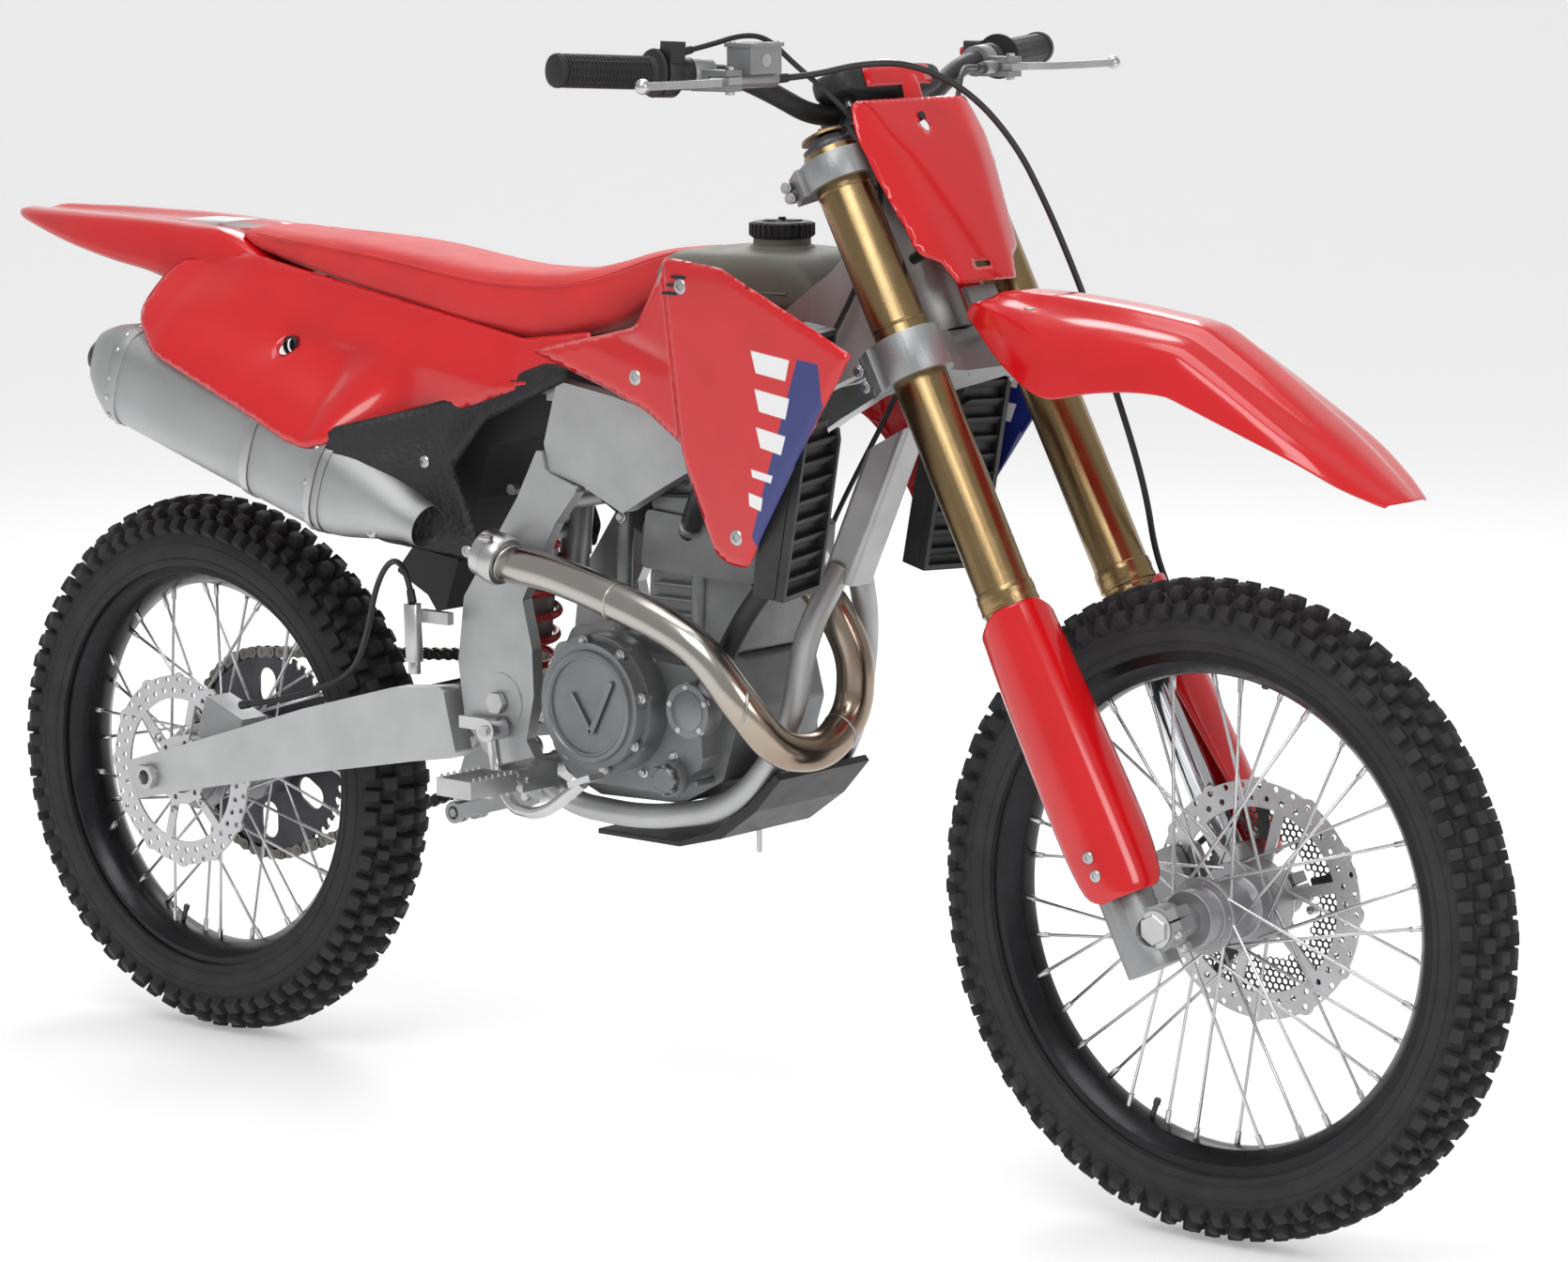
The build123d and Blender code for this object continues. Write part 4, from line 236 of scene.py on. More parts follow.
def heat_tint(nodes, links, place, below):
    """Straw and bronze colours where the header runs hottest."""
    noise = nodes.new("ShaderNodeTexNoise")
    noise.inputs["Scale"].default_value = 9.0
    noise.inputs["Detail"].default_value = 3.0
    links.new(place, noise.inputs["Vector"])
    near = half_plane(nodes, links, place, 0.72, 0.5, -0.55, -0.16, 0.11)
    amount = product(nodes, links, [near, noise.outputs["Fac"]])
    ramp = nodes.new("ShaderNodeValToRGB")
    stops = [(0.0, (0.50, 0.48, 0.45)), (0.22, (0.44, 0.37, 0.29)), (0.42, (0.34, 0.25, 0.18)),
             (0.6, (0.25, 0.17, 0.14)), (0.8, (0.21, 0.15, 0.15))]
    ramp.color_ramp.elements[0].position = stops[0][0]
    ramp.color_ramp.elements[0].color = (*stops[0][1], 1)
    ramp.color_ramp.elements[1].position = stops[-1][0]
    ramp.color_ramp.elements[1].color = (*stops[-1][1], 1)
    for position, shade in stops[1:-1]:
        ramp.color_ramp.elements.new(position).color = (*shade, 1)
    links.new(amount, ramp.inputs["Fac"])
    mix = nodes.new("ShaderNodeMix")
    mix.data_type = "RGBA"
    mix.inputs["Factor"].default_value = 0.8
    links.new(below, mix.inputs["A"])
    links.new(ramp.outputs["Color"], mix.inputs["B"])
    return mix.outputs["Result"]


RED = (0.62, 0.004, 0.008)
M = {
    "red": material("red_plastic", RED, 0.2, coat=0.55, coat_rough=0.06, mottle=0.05, grain=0.02, smudge=0.07,
                    grain_scale=600),
    "red_graphic": material("red_graphic", RED, 0.22, coat=0.55, coat_rough=0.06, mottle=0.05, grain=0.02,
                            smudge=0.06, tint=shroud_graphic),
    "seat": material("seat_cover", (0.62, 0.018, 0.02), 0.55, mottle=0.07, grain=0.35, cells=0.7,
                     cell_scale=420, sheen=0.12, smudge=0.1),
    "black": material("black_plastic", (0.012, 0.012, 0.013), 0.42, mottle=0.2, grain=0.25, scratches=0.12),
    "pebble": material("pebbled_plastic", (0.012, 0.012, 0.013), 0.5, mottle=0.2, grain=0.9, cells=2.2,
                       cell_scale=170),
    "tyre": material("tyre_rubber", (0.017, 0.017, 0.018), 0.72, mottle=0.25, mottle_scale=24, grain=0.5,
                     grain_scale=500, smudge=0.12),
    "rubber": material("grip_rubber", (0.011, 0.011, 0.012), 0.62, mottle=0.2, grain=0.3),
    "rim": material("rim_anodised", (0.014, 0.014, 0.016), 0.27, metal=0.6, mottle=0.2, grain=0.1,
                    smudge=0.1),
    "hub": material("hub_cast", (0.40, 0.40, 0.41), 0.42, metal=0.85, mottle=0.12, grain=0.35,
                    grain_scale=420),
    "spoke": material("spoke_steel", (0.66, 0.66, 0.67), 0.24, metal=1.0, mottle=0.08, grain=0.05),
    "disc": material("disc_steel", (0.56, 0.56, 0.57), 0.28, metal=1.0, mottle=0.08, grain=0.25, aniso=0.4,
                     brushed=(30, 900, 30), scratches=0.15),
    "steel": material("plated_steel", (0.55, 0.55, 0.55), 0.32, metal=1.0, mottle=0.12, grain=0.12),
    "dark_steel": material("dark_steel", (0.09, 0.09, 0.10), 0.4, metal=0.8, mottle=0.2, grain=0.2),
    "gold": material("gold_anodised", (0.335, 0.235, 0.115), 0.24, metal=1.0, mottle=0.08, mottle_scale=6,
                     grain=0.12,
                     brushed=(40, 40, 900), aniso=0.3),
    "chrome": material("slider_chrome", (0.70, 0.71, 0.73), 0.08, metal=1.0, mottle=0.03, grain=0.03,
                       smudge=0.04),
    "clamp": material("cast_grey", (0.34, 0.345, 0.35), 0.45, metal=0.75, mottle=0.1, grain=0.5,
                      grain_scale=380),
    "frame": material("frame_alloy", (0.47, 0.475, 0.48), 0.36, metal=0.8, mottle=0.09, grain=0.3,
                      brushed=(60, 500, 260), scratches=0.12),
    "swingarm": material("swingarm_alloy", (0.52, 0.525, 0.53), 0.33, metal=0.85, mottle=0.07, grain=0.3,
                         brushed=(30, 500, 500), aniso=0.3, scratches=0.1),
    "subframe": material("subframe_alloy", (0.36, 0.365, 0.37), 0.42, metal=0.8, mottle=0.1, grain=0.3),
    "engine": material("engine_cast", (0.25, 0.255, 0.26), 0.48, metal=0.7, mottle=0.14, grain=0.7,
                       grain_scale=300, smudge=0.14),
    "cover": material("cover_machined", (0.23, 0.235, 0.24), 0.4, metal=0.75, mottle=0.12, grain=0.4,
                      grain_scale=340),
    "head": material("head_black", (0.02, 0.02, 0.021), 0.42, metal=0.3, mottle=0.2, grain=0.5,
                     grain_scale=300),
    "pipe": material("stainless", (0.40, 0.375, 0.345), 0.2, metal=1.0, mottle=0.1, grain=0.06,
                     tint=heat_tint,
                     smudge=0.07),
    "muffler": material("brushed_can", (0.46, 0.465, 0.47), 0.34, metal=0.9, mottle=0.05, grain=0.4,
                        brushed=(500, 60, 500), aniso=0.3, scratches=0.1),
    "weld": material("weld_bead", (0.50, 0.49, 0.47), 0.3, metal=1.0, mottle=0.25, mottle_scale=60,
                     grain=0.4),
    "radiator": material("radiator_core", (0.05, 0.05, 0.052), 0.45, metal=0.6, mottle=0.2, grain=0.4),
    "tank": material("tank_plastic", (0.155, 0.15, 0.125), 0.5, mottle=0.08, grain=0.5, cells=0.5,
                     cell_scale=500),
    "chain": material("chain_steel", (0.20, 0.19, 0.175), 0.34, metal=0.95, mottle=0.2, grain=0.2),
    "hose": material("hose_rubber", (0.013, 0.013, 0.014), 0.4, mottle=0.15, grain=0.2),
    "spring": material("spring_coat", (0.50, 0.02, 0.02), 0.3, coat=0.4, mottle=0.08, grain=0.08),
    "lever": material("lever_alloy", (0.60, 0.60, 0.61), 0.24, metal=0.95, mottle=0.06, grain=0.12),
    "control": material("control_black", (0.016, 0.016, 0.017), 0.45, mottle=0.2, grain=0.35),
    "reservoir": material("reservoir_grey", (0.36, 0.37, 0.37), 0.3, mottle=0.06, grain=0.15, coat=0.3),
    "button": material("button_red", (0.5, 0.02, 0.02), 0.4, mottle=0.1, grain=0.2),
    "pad_black": material("pad_black", (0.02, 0.02, 0.022), 0.5, mottle=0.1, grain=0.4, cells=0.5,
                          cell_scale=400),
    "white": material("label_white", (0.75, 0.75, 0.75), 0.4, mottle=0.04, grain=0.05),
    "blue": material("decal_blue", BLUE, 0.3, mottle=0.06, grain=0.05, coat=0.4),
    "brass": material("drain_brass", (0.55, 0.42, 0.2), 0.35, metal=1.0, mottle=0.1, grain=0.1),
}


# ---------------------------------------------------------------- mesh helpers (millimetres in, metres out)
class Shape:
    """Collects solid pieces into one mesh."""

    def __init__(self):
        self.verts = []
        self.faces = []

    def add(self, verts, faces):
        base = len(self.verts)
        self.verts += [Vector(v) for v in verts]
        self.faces += [tuple(base + i for i in f) for f in faces]
        return self

    def loops(self, rings, closed_ring=True, cap_start=True, cap_end=True, closed_path=False):
        """Skins between rings of points, each ring with the same count."""
        base = len(self.verts)
        count = len(rings[0])
        for ring in rings:
            self.verts += [Vector(p) for p in ring]
        spans = count if closed_ring else count - 1
        rows = len(rings) if closed_path else len(rings) - 1
        for r in range(rows):
            for k in range(spans):
                a = base + r * count + k
                b = base + r * count + (k + 1) % count
                c = base + ((r + 1) % len(rings)) * count + (k + 1) % count
                d = base + ((r + 1) % len(rings)) * count + k
                self.faces.append((a, b, c, d))
        if closed_ring and not closed_path:
            if cap_start:
                self.faces.append(tuple(base + k for k in reversed(range(count))))
            if cap_end:
                self.faces.append(tuple(base + (len(rings) - 1) * count + k for k in range(count)))
        return self

    def lathe(self, origin, axis, profile, sides=48, closed_profile=False):
        """Turns (distance along axis, radius) points round the axis through origin."""
        axis = Vector(axis).normalized()
        u, v = cross_axes(axis)
        origin = Vector(origin)
        rings = []
        for along, radius in profile:
            ring = []
            for k in range(sides):
                angle = math.tau * k / sides
                ring.append(origin + axis * along + (u * math.cos(angle) + v * math.sin(angle)) * radius)
            rings.append(ring)
        return self.loops(rings, closed_path=closed_profile)

    def rod(self, a, b, radius, sides=20, chamfer=0.6, end_radius=None):
        """A round bar from a to b with chamfered ends."""
        a, b = Vector(a), Vector(b)
        length = (b - a).length
        last = radius if end_radius is None else end_radius
        c = min(chamfer, radius * 0.5, length * 0.3)
        profile = [(0, radius - c), (c, radius), (length - c, last), (length, last - c)]
        return self.lathe(a, b - a, profile, sides)

    def prism(self, a, b, radius, sides=6, chamfer=0.5):
        """A hexagon head or nut."""
        return self.rod(a, b, radius, sides, chamfer)

    def box(self, centre, size, axes=None, chamfer=0.8):
        """A chamfered block; axes are its three directions."""
        ux, uy, uz = axes or (Vector((1, 0, 0)), Vector((0, 1, 0)), Vector((0, 0, 1)))
        hx, hy, hz = [s / 2 for s in size]
        c = min(chamfer, hx * 0.4, hy * 0.4, hz * 0.4)
        rings = []
        for z, inset in ((-hz, c), (-hz + c, 0), (hz - c, 0), (hz, c)):
            x, y = hx - inset, hy - inset
            flat = [(x - c, -y), (x, -y + c), (x, y - c), (x - c, y), (-x + c, y), (-x, y - c), (-x, -y + c),
                    (-x + c, -y)]
            rings.append([Vector(centre) + ux * p + uy * q + uz * z for p, q in flat])
        return self.loops(rings)

    def sweep(self, points, radius, sides=12, caps=True, wide=None, flat_up=None):
        """A tube along points; radius is a number or one for each point."""
        points = [Vector(p) for p in points]
        radii = radius if isinstance(radius, (list, tuple)) else [radius] * len(points)
        rings = []
        u = None
        for k, p in enumerate(points):
            ahead = points[min(k + 1, len(points) - 1)] - points[max(k - 1, 0)]
            ahead.normalize()
            if flat_up is not None:
                u = Vector(flat_up)
            elif u is None:
                u = cross_axes(ahead)[0]
            u = (u - ahead * u.dot(ahead)).normalized()
            v = ahead.cross(u)
            r = radii[k]
            w = r * wide if wide else r
            rings.append([p + u * math.cos(math.tau * i / sides) * r + v * math.sin(math.tau * i / sides) * w
                          for i in range(sides)])
        return self.loops(rings, cap_start=caps, cap_end=caps)

    def make(self, name, body, mat, slot=None, replaces=(), bevel=0.0, segments=2, subsurf=0, solid=0.0,
             offset=-1.0, angle=35, weld=0.0):
        """Turns what was collected into one named piece that rides on a body."""
        mesh = bpy.data.meshes.new(name)
        mesh.from_pydata([v * MM for v in self.verts], [], self.faces)
        mesh.validate()
        obj = bpy.data.objects.new(name, mesh)
        bpy.context.scene.collection.objects.link(obj)
        clean = bmesh.new()
        clean.from_mesh(mesh)
        if weld:
            bmesh.ops.remove_doubles(clean, verts=clean.verts, dist=weld * MM)
        bmesh.ops.recalc_face_normals(clean, faces=clean.faces)
        clean.to_mesh(mesh)
        clean.free()
        finish_piece(obj, body, mat, replaces, bevel, segments, subsurf, solid, offset, angle)
        return obj


def cross_axes(axis):
    """Two directions square to an axis and to each other."""
    axis = Vector(axis).normalized()
    start = Vector((0, 0, 1)) if abs(axis.z) < 0.9 else Vector((1, 0, 0))
    u = (start - axis * start.dot(axis)).normalized()
    return u, axis.cross(u)


def finish_piece(obj, body, mat, replaces, bevel, segments, subsurf, solid, offset, angle):
    """Shading, thickness, rounded edges, material and body for one piece."""
    mesh = obj.data
    mesh.materials.clear()
    mesh.materials.append(M[mat])
    mesh.shade_smooth()
    mesh.set_sharp_from_angle(angle=math.radians(angle))
    if solid:
        thick = obj.modifiers.new("thickness", "SOLIDIFY")
        thick.thickness = solid * MM
        thick.offset = offset
    if subsurf:
        smooth = obj.modifiers.new("smooth", "SUBSURF")
        smooth.levels = subsurf
        smooth.render_levels = subsurf
    if bevel:
        round_edges(obj, bevel, segments, angle)
    if body:
        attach(obj, body)
    if replaces:
        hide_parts(*replaces)


def round_edges(obj, width, segments=2, angle=35):
    edge = obj.modifiers.new("edges", "BEVEL")
    edge.width = width * MM
    edge.segments = segments
    edge.limit_method = "ANGLE"
    edge.angle_limit = math.radians(angle)
    edge.harden_normals = True


def apply_modifiers(obj):
    """Bakes the modifiers into the mesh."""
    evaluated = obj.evaluated_get(bpy.context.evaluated_depsgraph_get())
    baked = bpy.data.meshes.new_from_object(evaluated)
    old = obj.data
    obj.modifiers.clear()
    obj.data = baked
    bpy.data.meshes.remove(old)


def curve_points(points, order=3, resolution=10):
    """Points along the smooth line that a route's corners control, in millimetres."""
    curve = bpy.data.curves.new("route", "CURVE")
    curve.dimensions = "3D"
    curve.resolution_u = resolution
    spline = curve.splines.new("NURBS")
    spline.points.add(len(points) - 1)
    for k, p in enumerate(points):
        spline.points[k].co = (*[c * MM for c in p], 1)
    spline.order_u = order
    spline.use_endpoint_u = True
    holder = bpy.data.objects.new("route", curve)
    bpy.context.scene.collection.objects.link(holder)
    bpy.context.view_layer.update()
    line = bpy.data.meshes.new_from_object(holder)
    found = [v.co / MM for v in line.vertices]
    bpy.data.objects.remove(holder)
    bpy.data.curves.remove(curve)
    bpy.data.meshes.remove(line)
    return found


def rounded(corners, radius, steps=4):
    """A 2-D outline with its corners rounded."""
    made = []
    count = len(corners)
    for k in range(count):
        a, b, c = (Vector(corners[(k + i - 1) % count]) for i in range(3))
        one, two = (a - b), (c - b)
        reach = min(radius, one.length * 0.45, two.length * 0.45)
        start, end = b + one.normalized() * reach, b + two.normalized() * reach
        for i in range(steps + 1):
            t = i / steps
            made.append(tuple(start * (1 - t) ** 2 + b * 2 * t * (1 - t) + end * t * t))
    return made


def inside(point, outline):
    """True if a 2-D point lies in an outline."""
    x, y = point
    hit = False
    for k in range(len(outline)):
        x1, y1 = outline[k]
        x2, y2 = outline[k - 1]
        if (y1 > y) != (y2 > y) and x < (x2 - x1) * (y - y1) / (y2 - y1) + x1:
            hit = not hit
    return hit


def edge_distance(point, outline):
    """How far a 2-D point is from an outline's nearest edge."""
    p = Vector(point)
    best = 1e9
    for k in range(len(outline)):
        a, b = Vector(outline[k]), Vector(outline[k - 1])
        line = b - a
        t = max(0.0, min(1.0, (p - a).dot(line) / max(line.length_squared, 1e-9)))
        best = min(best, (p - a - line * t).length)
    return best


def panel(outline, surface, cell=7.0, holes=(), margin=0.45):
    """A skin over a 2-D outline; surface(p, q, edge distance) gives each point's place."""
    loops = [outline, *holes]
    points, edges = [], []
    for loop in loops:
        dense = []
        for k in range(len(loop)):
            a, b = Vector(loop[k]), Vector(loop[(k + 1) % len(loop)])
            steps = max(1, round((b - a).length / cell))
            dense += [a.lerp(b, i / steps) for i in range(steps)]
        base = len(points)
        points += dense
        edges += [(base + k, base + (k + 1) % len(dense)) for k in range(len(dense))]
    xs = [p[0] for p in outline]
    ys = [p[1] for p in outline]
    columns = int((max(xs) - min(xs)) / cell) + 2
    rows = int((max(ys) - min(ys)) / (cell * 0.866)) + 2
    for j in range(rows):
        for i in range(columns):
            spot = (min(xs) + (i + 0.5 * (j % 2)) * cell, min(ys) + j * cell * 0.866)
            if not inside(spot, outline) or any(inside(spot, h) for h in holes):
                continue
            if min(edge_distance(spot, loop) for loop in loops) < cell * margin:
                continue
            points.append(Vector(spot))
    flat = geometry.delaunay_2d_cdt(points, edges, [], 0, 1e-5)
    spots, faces = flat[0], flat[2]
    kept = []
    for face in faces:
        middle = sum((spots[i] for i in face), Vector((0, 0))) / len(face)
        if inside(middle, outline) and not any(inside(middle, h) for h in holes):
            kept.append(tuple(face))
    placed = [surface(p.x, p.y, edge_distance(p, outline)) for p in spots]
    return Shape().add(placed, kept)


def smooth_step(low, high, value):
    t = max(0.0, min(1.0, (value - low) / (high - low)))
    return t * t * (3 - 2 * t)


def soft_min(values, width):
    """The least of some numbers, rounded where they cross."""
    low = min(values)
    return low - width * math.log(sum(math.exp(-(v - low) / width) for v in values))


def between(stations, x):
    """Values at x, read smoothly from rows of (x, value, value ...)."""
    for k in range(len(stations) - 1):
        a, b = stations[k], stations[k + 1]
        if (a[0] <= x <= b[0]) or (b[0] <= x <= a[0]):
            t = (x - a[0]) / (b[0] - a[0])
            return [p + (q - p) * t for p, q in zip(a[1:], b[1:])]
    return list(stations[0][1:] if abs(x - stations[0][0]) < abs(x - stations[-1][0]) else stations[-1][1:])


def loft(stations, steps, section):
    """Rings along smooth values between stations: each station is (position, values ...)."""
    rows = []
    count = len(stations)
    for k in range(count - 1):
        p0, p1, p2, p3 = (stations[max(0, min(count - 1, k + i - 1))] for i in range(4))
        for i in range(steps if k < count - 2 else steps + 1):
            t = i / steps
            row = []
            for a, b, c, d in zip(p0, p1, p2, p3):
                row.append(0.5 * (2 * b + (c - a) * t + (2 * a - 5 * b + 4 * c - d) * t * t
                                  + (3 * b - a - 3 * c + d) * t ** 3))
            rows.append(section(*row))
    return rows


# ---------------------------------------------------------------- the CAD nodes that stay in view
def islands(mesh):
    """Which connected piece each polygon belongs to, with each piece's box in millimetres."""
    spots = {}
    owner = []
    for v in mesh.vertices:
        key = (round(v.co.x, 5), round(v.co.y, 5), round(v.co.z, 5))
        owner.append(spots.setdefault(key, len(spots)))
    parent = list(range(len(spots)))

    def root(k):
        while parent[k] != k:
            parent[k] = parent[parent[k]]
            k = parent[k]
        return k

    for poly in mesh.polygons:
        first = root(owner[poly.vertices[0]])
        for other in poly.vertices[1:]:
            parent[root(owner[other])] = first
    boxes = {}
    which = []
    for poly in mesh.polygons:
        key = root(owner[poly.vertices[0]])
        which.append(key)
        for index in poly.vertices:
            co = mesh.vertices[index].co / MM
            if key in boxes:
                low, high = boxes[key]
                boxes[key] = (Vector(map(min, low, co)), Vector(map(max, high, co)))
            else:
                boxes[key] = (co.copy(), co.copy())
    return which, boxes


def dress(node, mat, rules=(), bevel=0.8, angle=32, weld=True):
    """Gives a CAD node its materials; each rule is (test on a piece's box, material)."""
    obj = NODES[node]
    mesh = obj.data
    mesh.materials.clear()
    mesh.materials.append(M[mat])
    for _, name in rules:
        mesh.materials.append(M[name])
    if rules:
        which, boxes = islands(mesh)
        chosen = {}
        for key, (low, high) in boxes.items():
            chosen[key] = 0
            for k, (test, _) in enumerate(rules):
                if test(low, high):
                    chosen[key] = k + 1
                    break
        mesh.polygons.foreach_set("material_index", [chosen[k] for k in which])
    else:
        mesh.polygons.foreach_set("material_index", [0] * len(mesh.polygons))
    if weld:
        join = obj.modifiers.new("join", "WELD")
        join.merge_threshold = 0.02 * MM
    if bevel:
        round_edges(obj, bevel, 2, angle)


def span(low, high, axis):
    return high[axis] - low[axis]


def middle(low, high):
    return (low + high) / 2


dress("main_frame", "frame", bevel=1.6)
dress("cradle", "frame", bevel=1.4)
dress("subframe", "subframe", bevel=1.0)
dress("engine", "engine", [
    (lambda lo, hi: lo.z > 706 and hi.z < 760, "head"),
    (lambda lo, hi: hi.y < -100 and span(lo, hi, 0) > 120, "cover"),
    (lambda lo, hi: lo.y > 60 and span(lo, hi, 0) > 100 and hi.z < 560, "cover"),
], bevel=1.6)
dress("exhaust_header", "pipe", bevel=0.6)
dress("radiators", "radiator", [
    (lambda lo, hi: span(lo, hi, 0) > 30, "radiator"),
], bevel=0.5)
dress("skid_plate", "black", bevel=1.0)
dress("frame_fittings", "steel", [
    (lambda lo, hi: hi.x < -240 and lo.z > 500 and hi.y < -100, "clamp"),
], bevel=0.6)
dress("footpeg_right", "steel", bevel=0.5)
dress("footpeg_left", "steel", bevel=0.5)
dress("brake_pedal", "lever", bevel=1.6)
dress("shift_lever", "lever", bevel=1.4)
dress("drive_sprocket", "dark_steel", bevel=0.4)
dress("fork_outer_tubes", "gold", bevel=0.8)
dress("fork_clamps", "clamp", [
    (lambda lo, hi: span(lo, hi, 1) < 70 and abs(middle(lo, hi).y) > 80 and lo.z > 1060, "dark_steel"),
    (lambda lo, hi: span(lo, hi, 1) < 70 and abs(middle(lo, hi).y) < 60, "dark_steel"),
], bevel=1.8)
dress("handlebar", "control", bevel=0.6)
dress("bar_housings", "control", bevel=1.0)
dress("lever_perches", "clamp", [
    (lambda lo, hi: lo.z > 1196 and span(lo, hi, 2) < 40 and hi.y < -160, "reservoir"),
], bevel=1.4)
dress("brake_lever", "lever", bevel=2.0)
dress("clutch_lever", "lever", bevel=2.0)
dress("start_button", "button", bevel=0.6)
dress("stop_button", "button", bevel=0.6)
dress("fork_sliders", "chrome", [
    (lambda lo, hi: hi.z < 470 and span(lo, hi, 1) > 200, "steel"),
    (lambda lo, hi: hi.z < 470, "clamp"),
], bevel=1.4)
dress("front_caliper", "clamp", bevel=1.8)
dress("rear_caliper", "clamp", bevel=1.8)
dress("front_rim", "rim", bevel=0.6)
dress("rear_rim", "rim", bevel=0.6)
dress("front_hub", "hub", bevel=1.0)
dress("rear_hub", "hub", bevel=1.0)
dress("front_spokes", "spoke", bevel=0)
dress("rear_spokes", "spoke", bevel=0)
dress("front_disc", "disc", bevel=0.3)
dress("rear_disc", "disc", bevel=0.3)
dress("rear_sprocket", "dark_steel", bevel=0.5)
dress("rear_axle", "steel", bevel=1.0)
dress("swingarm", "swingarm", bevel=2.2)
dress("shock_body", "clamp", bevel=0.8)
dress("shock_rod", "chrome", bevel=0.5)
dress("shock_spring", "spring", bevel=0)
dress("shock_rocker", "clamp", bevel=1.2)
dress("pull_link", "clamp", bevel=1.0)


# ---------------------------------------------------------------- tyres
def tyre_section(middle_r, high, half, bead_r, bead_half):
    """The carcass outline, (radius, y), from one bead over the crown to the other, closed inside."""
    outer = []
    for k in range(25):
        angle = math.radians(-118 + 236 * k / 24)
        outer.append((middle_r + high * math.cos(angle), half * math.sin(angle)))
    inner = [(bead_r, bead_half), (bead_r - 5, bead_half - 3), (bead_r - 5, bead_half - 7),
             (middle_r + high * 0.2, half * 0.78), (middle_r + high * 0.75, half * 0.4)]
    return outer + inner + [(r, -y) for r, y in reversed(inner)]


def knob(shape, centre, out, along, across, length, width, height, splay=0.86):
    """One tread block standing on the carcass, narrower at its top, with rounded corners."""
    rings = []
    for up, size in ((-3.0, 1.12), (0.0, 1.06), (height - 1.3, splay + 0.03), (height - 0.3, splay - 0.02),
                     (height, splay - 0.10)):
        a, b = length * size / 2, width * size / 2
        c = min(a, b) * 0.22
        flat = [(a - c, -b), (a, -b + c), (a, b - c), (a - c, b), (-a + c, b), (-a, b - c), (-a, -b + c),
                (-a + c, -b)]
        rings.append([centre + out * up + along * p + across * q for p, q in flat])
    shape.loops(rings, cap_start=False)


def make_tyre(name, node, body, axle, middle_r, high, half, bead_r, bead_half, pitches, rows):
    """The carcass, its sidewall rings and its rows of blocks."""
    carcass = Shape()
    profile = [(y, r) for r, y in tyre_section(middle_r, high, half, bead_r, bead_half)]
    carcass.lathe(axle, (0, 1, 0), profile, 144, closed_profile=True)
    for ring_r, ring_half in ((middle_r - high * 0.28, 1.0), (middle_r + high * 0.12, 0.7)):
        drop = (ring_r - middle_r) / high
        at = half * math.sqrt(1 - drop * drop)
        for side in (-1, 1):
            ring = [(side * (at - 1.2), ring_r + 1.6), (side * (at + ring_half), ring_r + 0.5),
                    (side * (at + ring_half), ring_r - 0.5), (side * (at - 1.2), ring_r - 1.6)]
            carcass.lathe(axle, (0, 1, 0), ring, 144, closed_profile=True)
    blocks = Shape()
    for k in range(pitches):
        for phase, angle, length, width, height, turn in rows:
            for side in (-1, 1):
                theta = math.tau * (k + phase + (0.0 if side < 0 else 0.5 * (turn == 2))) / pitches
                radial = Vector((math.cos(theta), 0, math.sin(theta)))
                along = Vector((-math.sin(theta), 0, math.cos(theta)))
                tilt = math.radians(angle) * side
                spot_r = middle_r + high * math.cos(tilt)
                spot_y = half * math.sin(tilt)
                out = (radial * (math.cos(tilt) / high) + Vector((0, 1,
                                                                  0)) * (math.sin(tilt) / half)).normalized()
                across = along.cross(out)
                centre = axle + radial * spot_r + Vector((0, spot_y, 0))
                knob(blocks, centre, out, along, across, length, width, height)
                if angle < 1:
                    break
    base = len(carcass.verts)
    carcass.verts += blocks.verts
    carcass.faces += [tuple(base + i for i in f) for f in blocks.faces]
    return carcass.make(name, body, "tyre", "tyre", [node], angle=28)


make_tyre("front_tyre_tread", "front_tyre", "front_wheel", FRONT_AXLE, 293, 40, 37.5, 271, 22, 38, [
    (0.0, 11, 15, 13, 12.5, 0), (0.5, 12, 14, 15, 12.5, 0), (0.25, 33, 16, 14, 12, 0),
    (0.5, 60, 17, 15, 10.5, 0), (0.0, 58, 13, 17, 10.5, 0), (0.75, 36, 12, 13, 11, 0)])
make_tyre("rear_tyre_tread", "rear_tyre", "rear_wheel", REAR_AXLE, 268, 46, 45, 246, 27, 34, [
    (0.0, 10, 17, 15, 16, 0), (0.5, 12, 15, 18, 16, 0), (0.25, 32, 18, 17, 14.5, 0),
    (0.5, 57, 20, 17, 11, 0), (0.0, 55, 15, 20, 11, 0), (0.75, 36, 13, 15, 14, 0)])


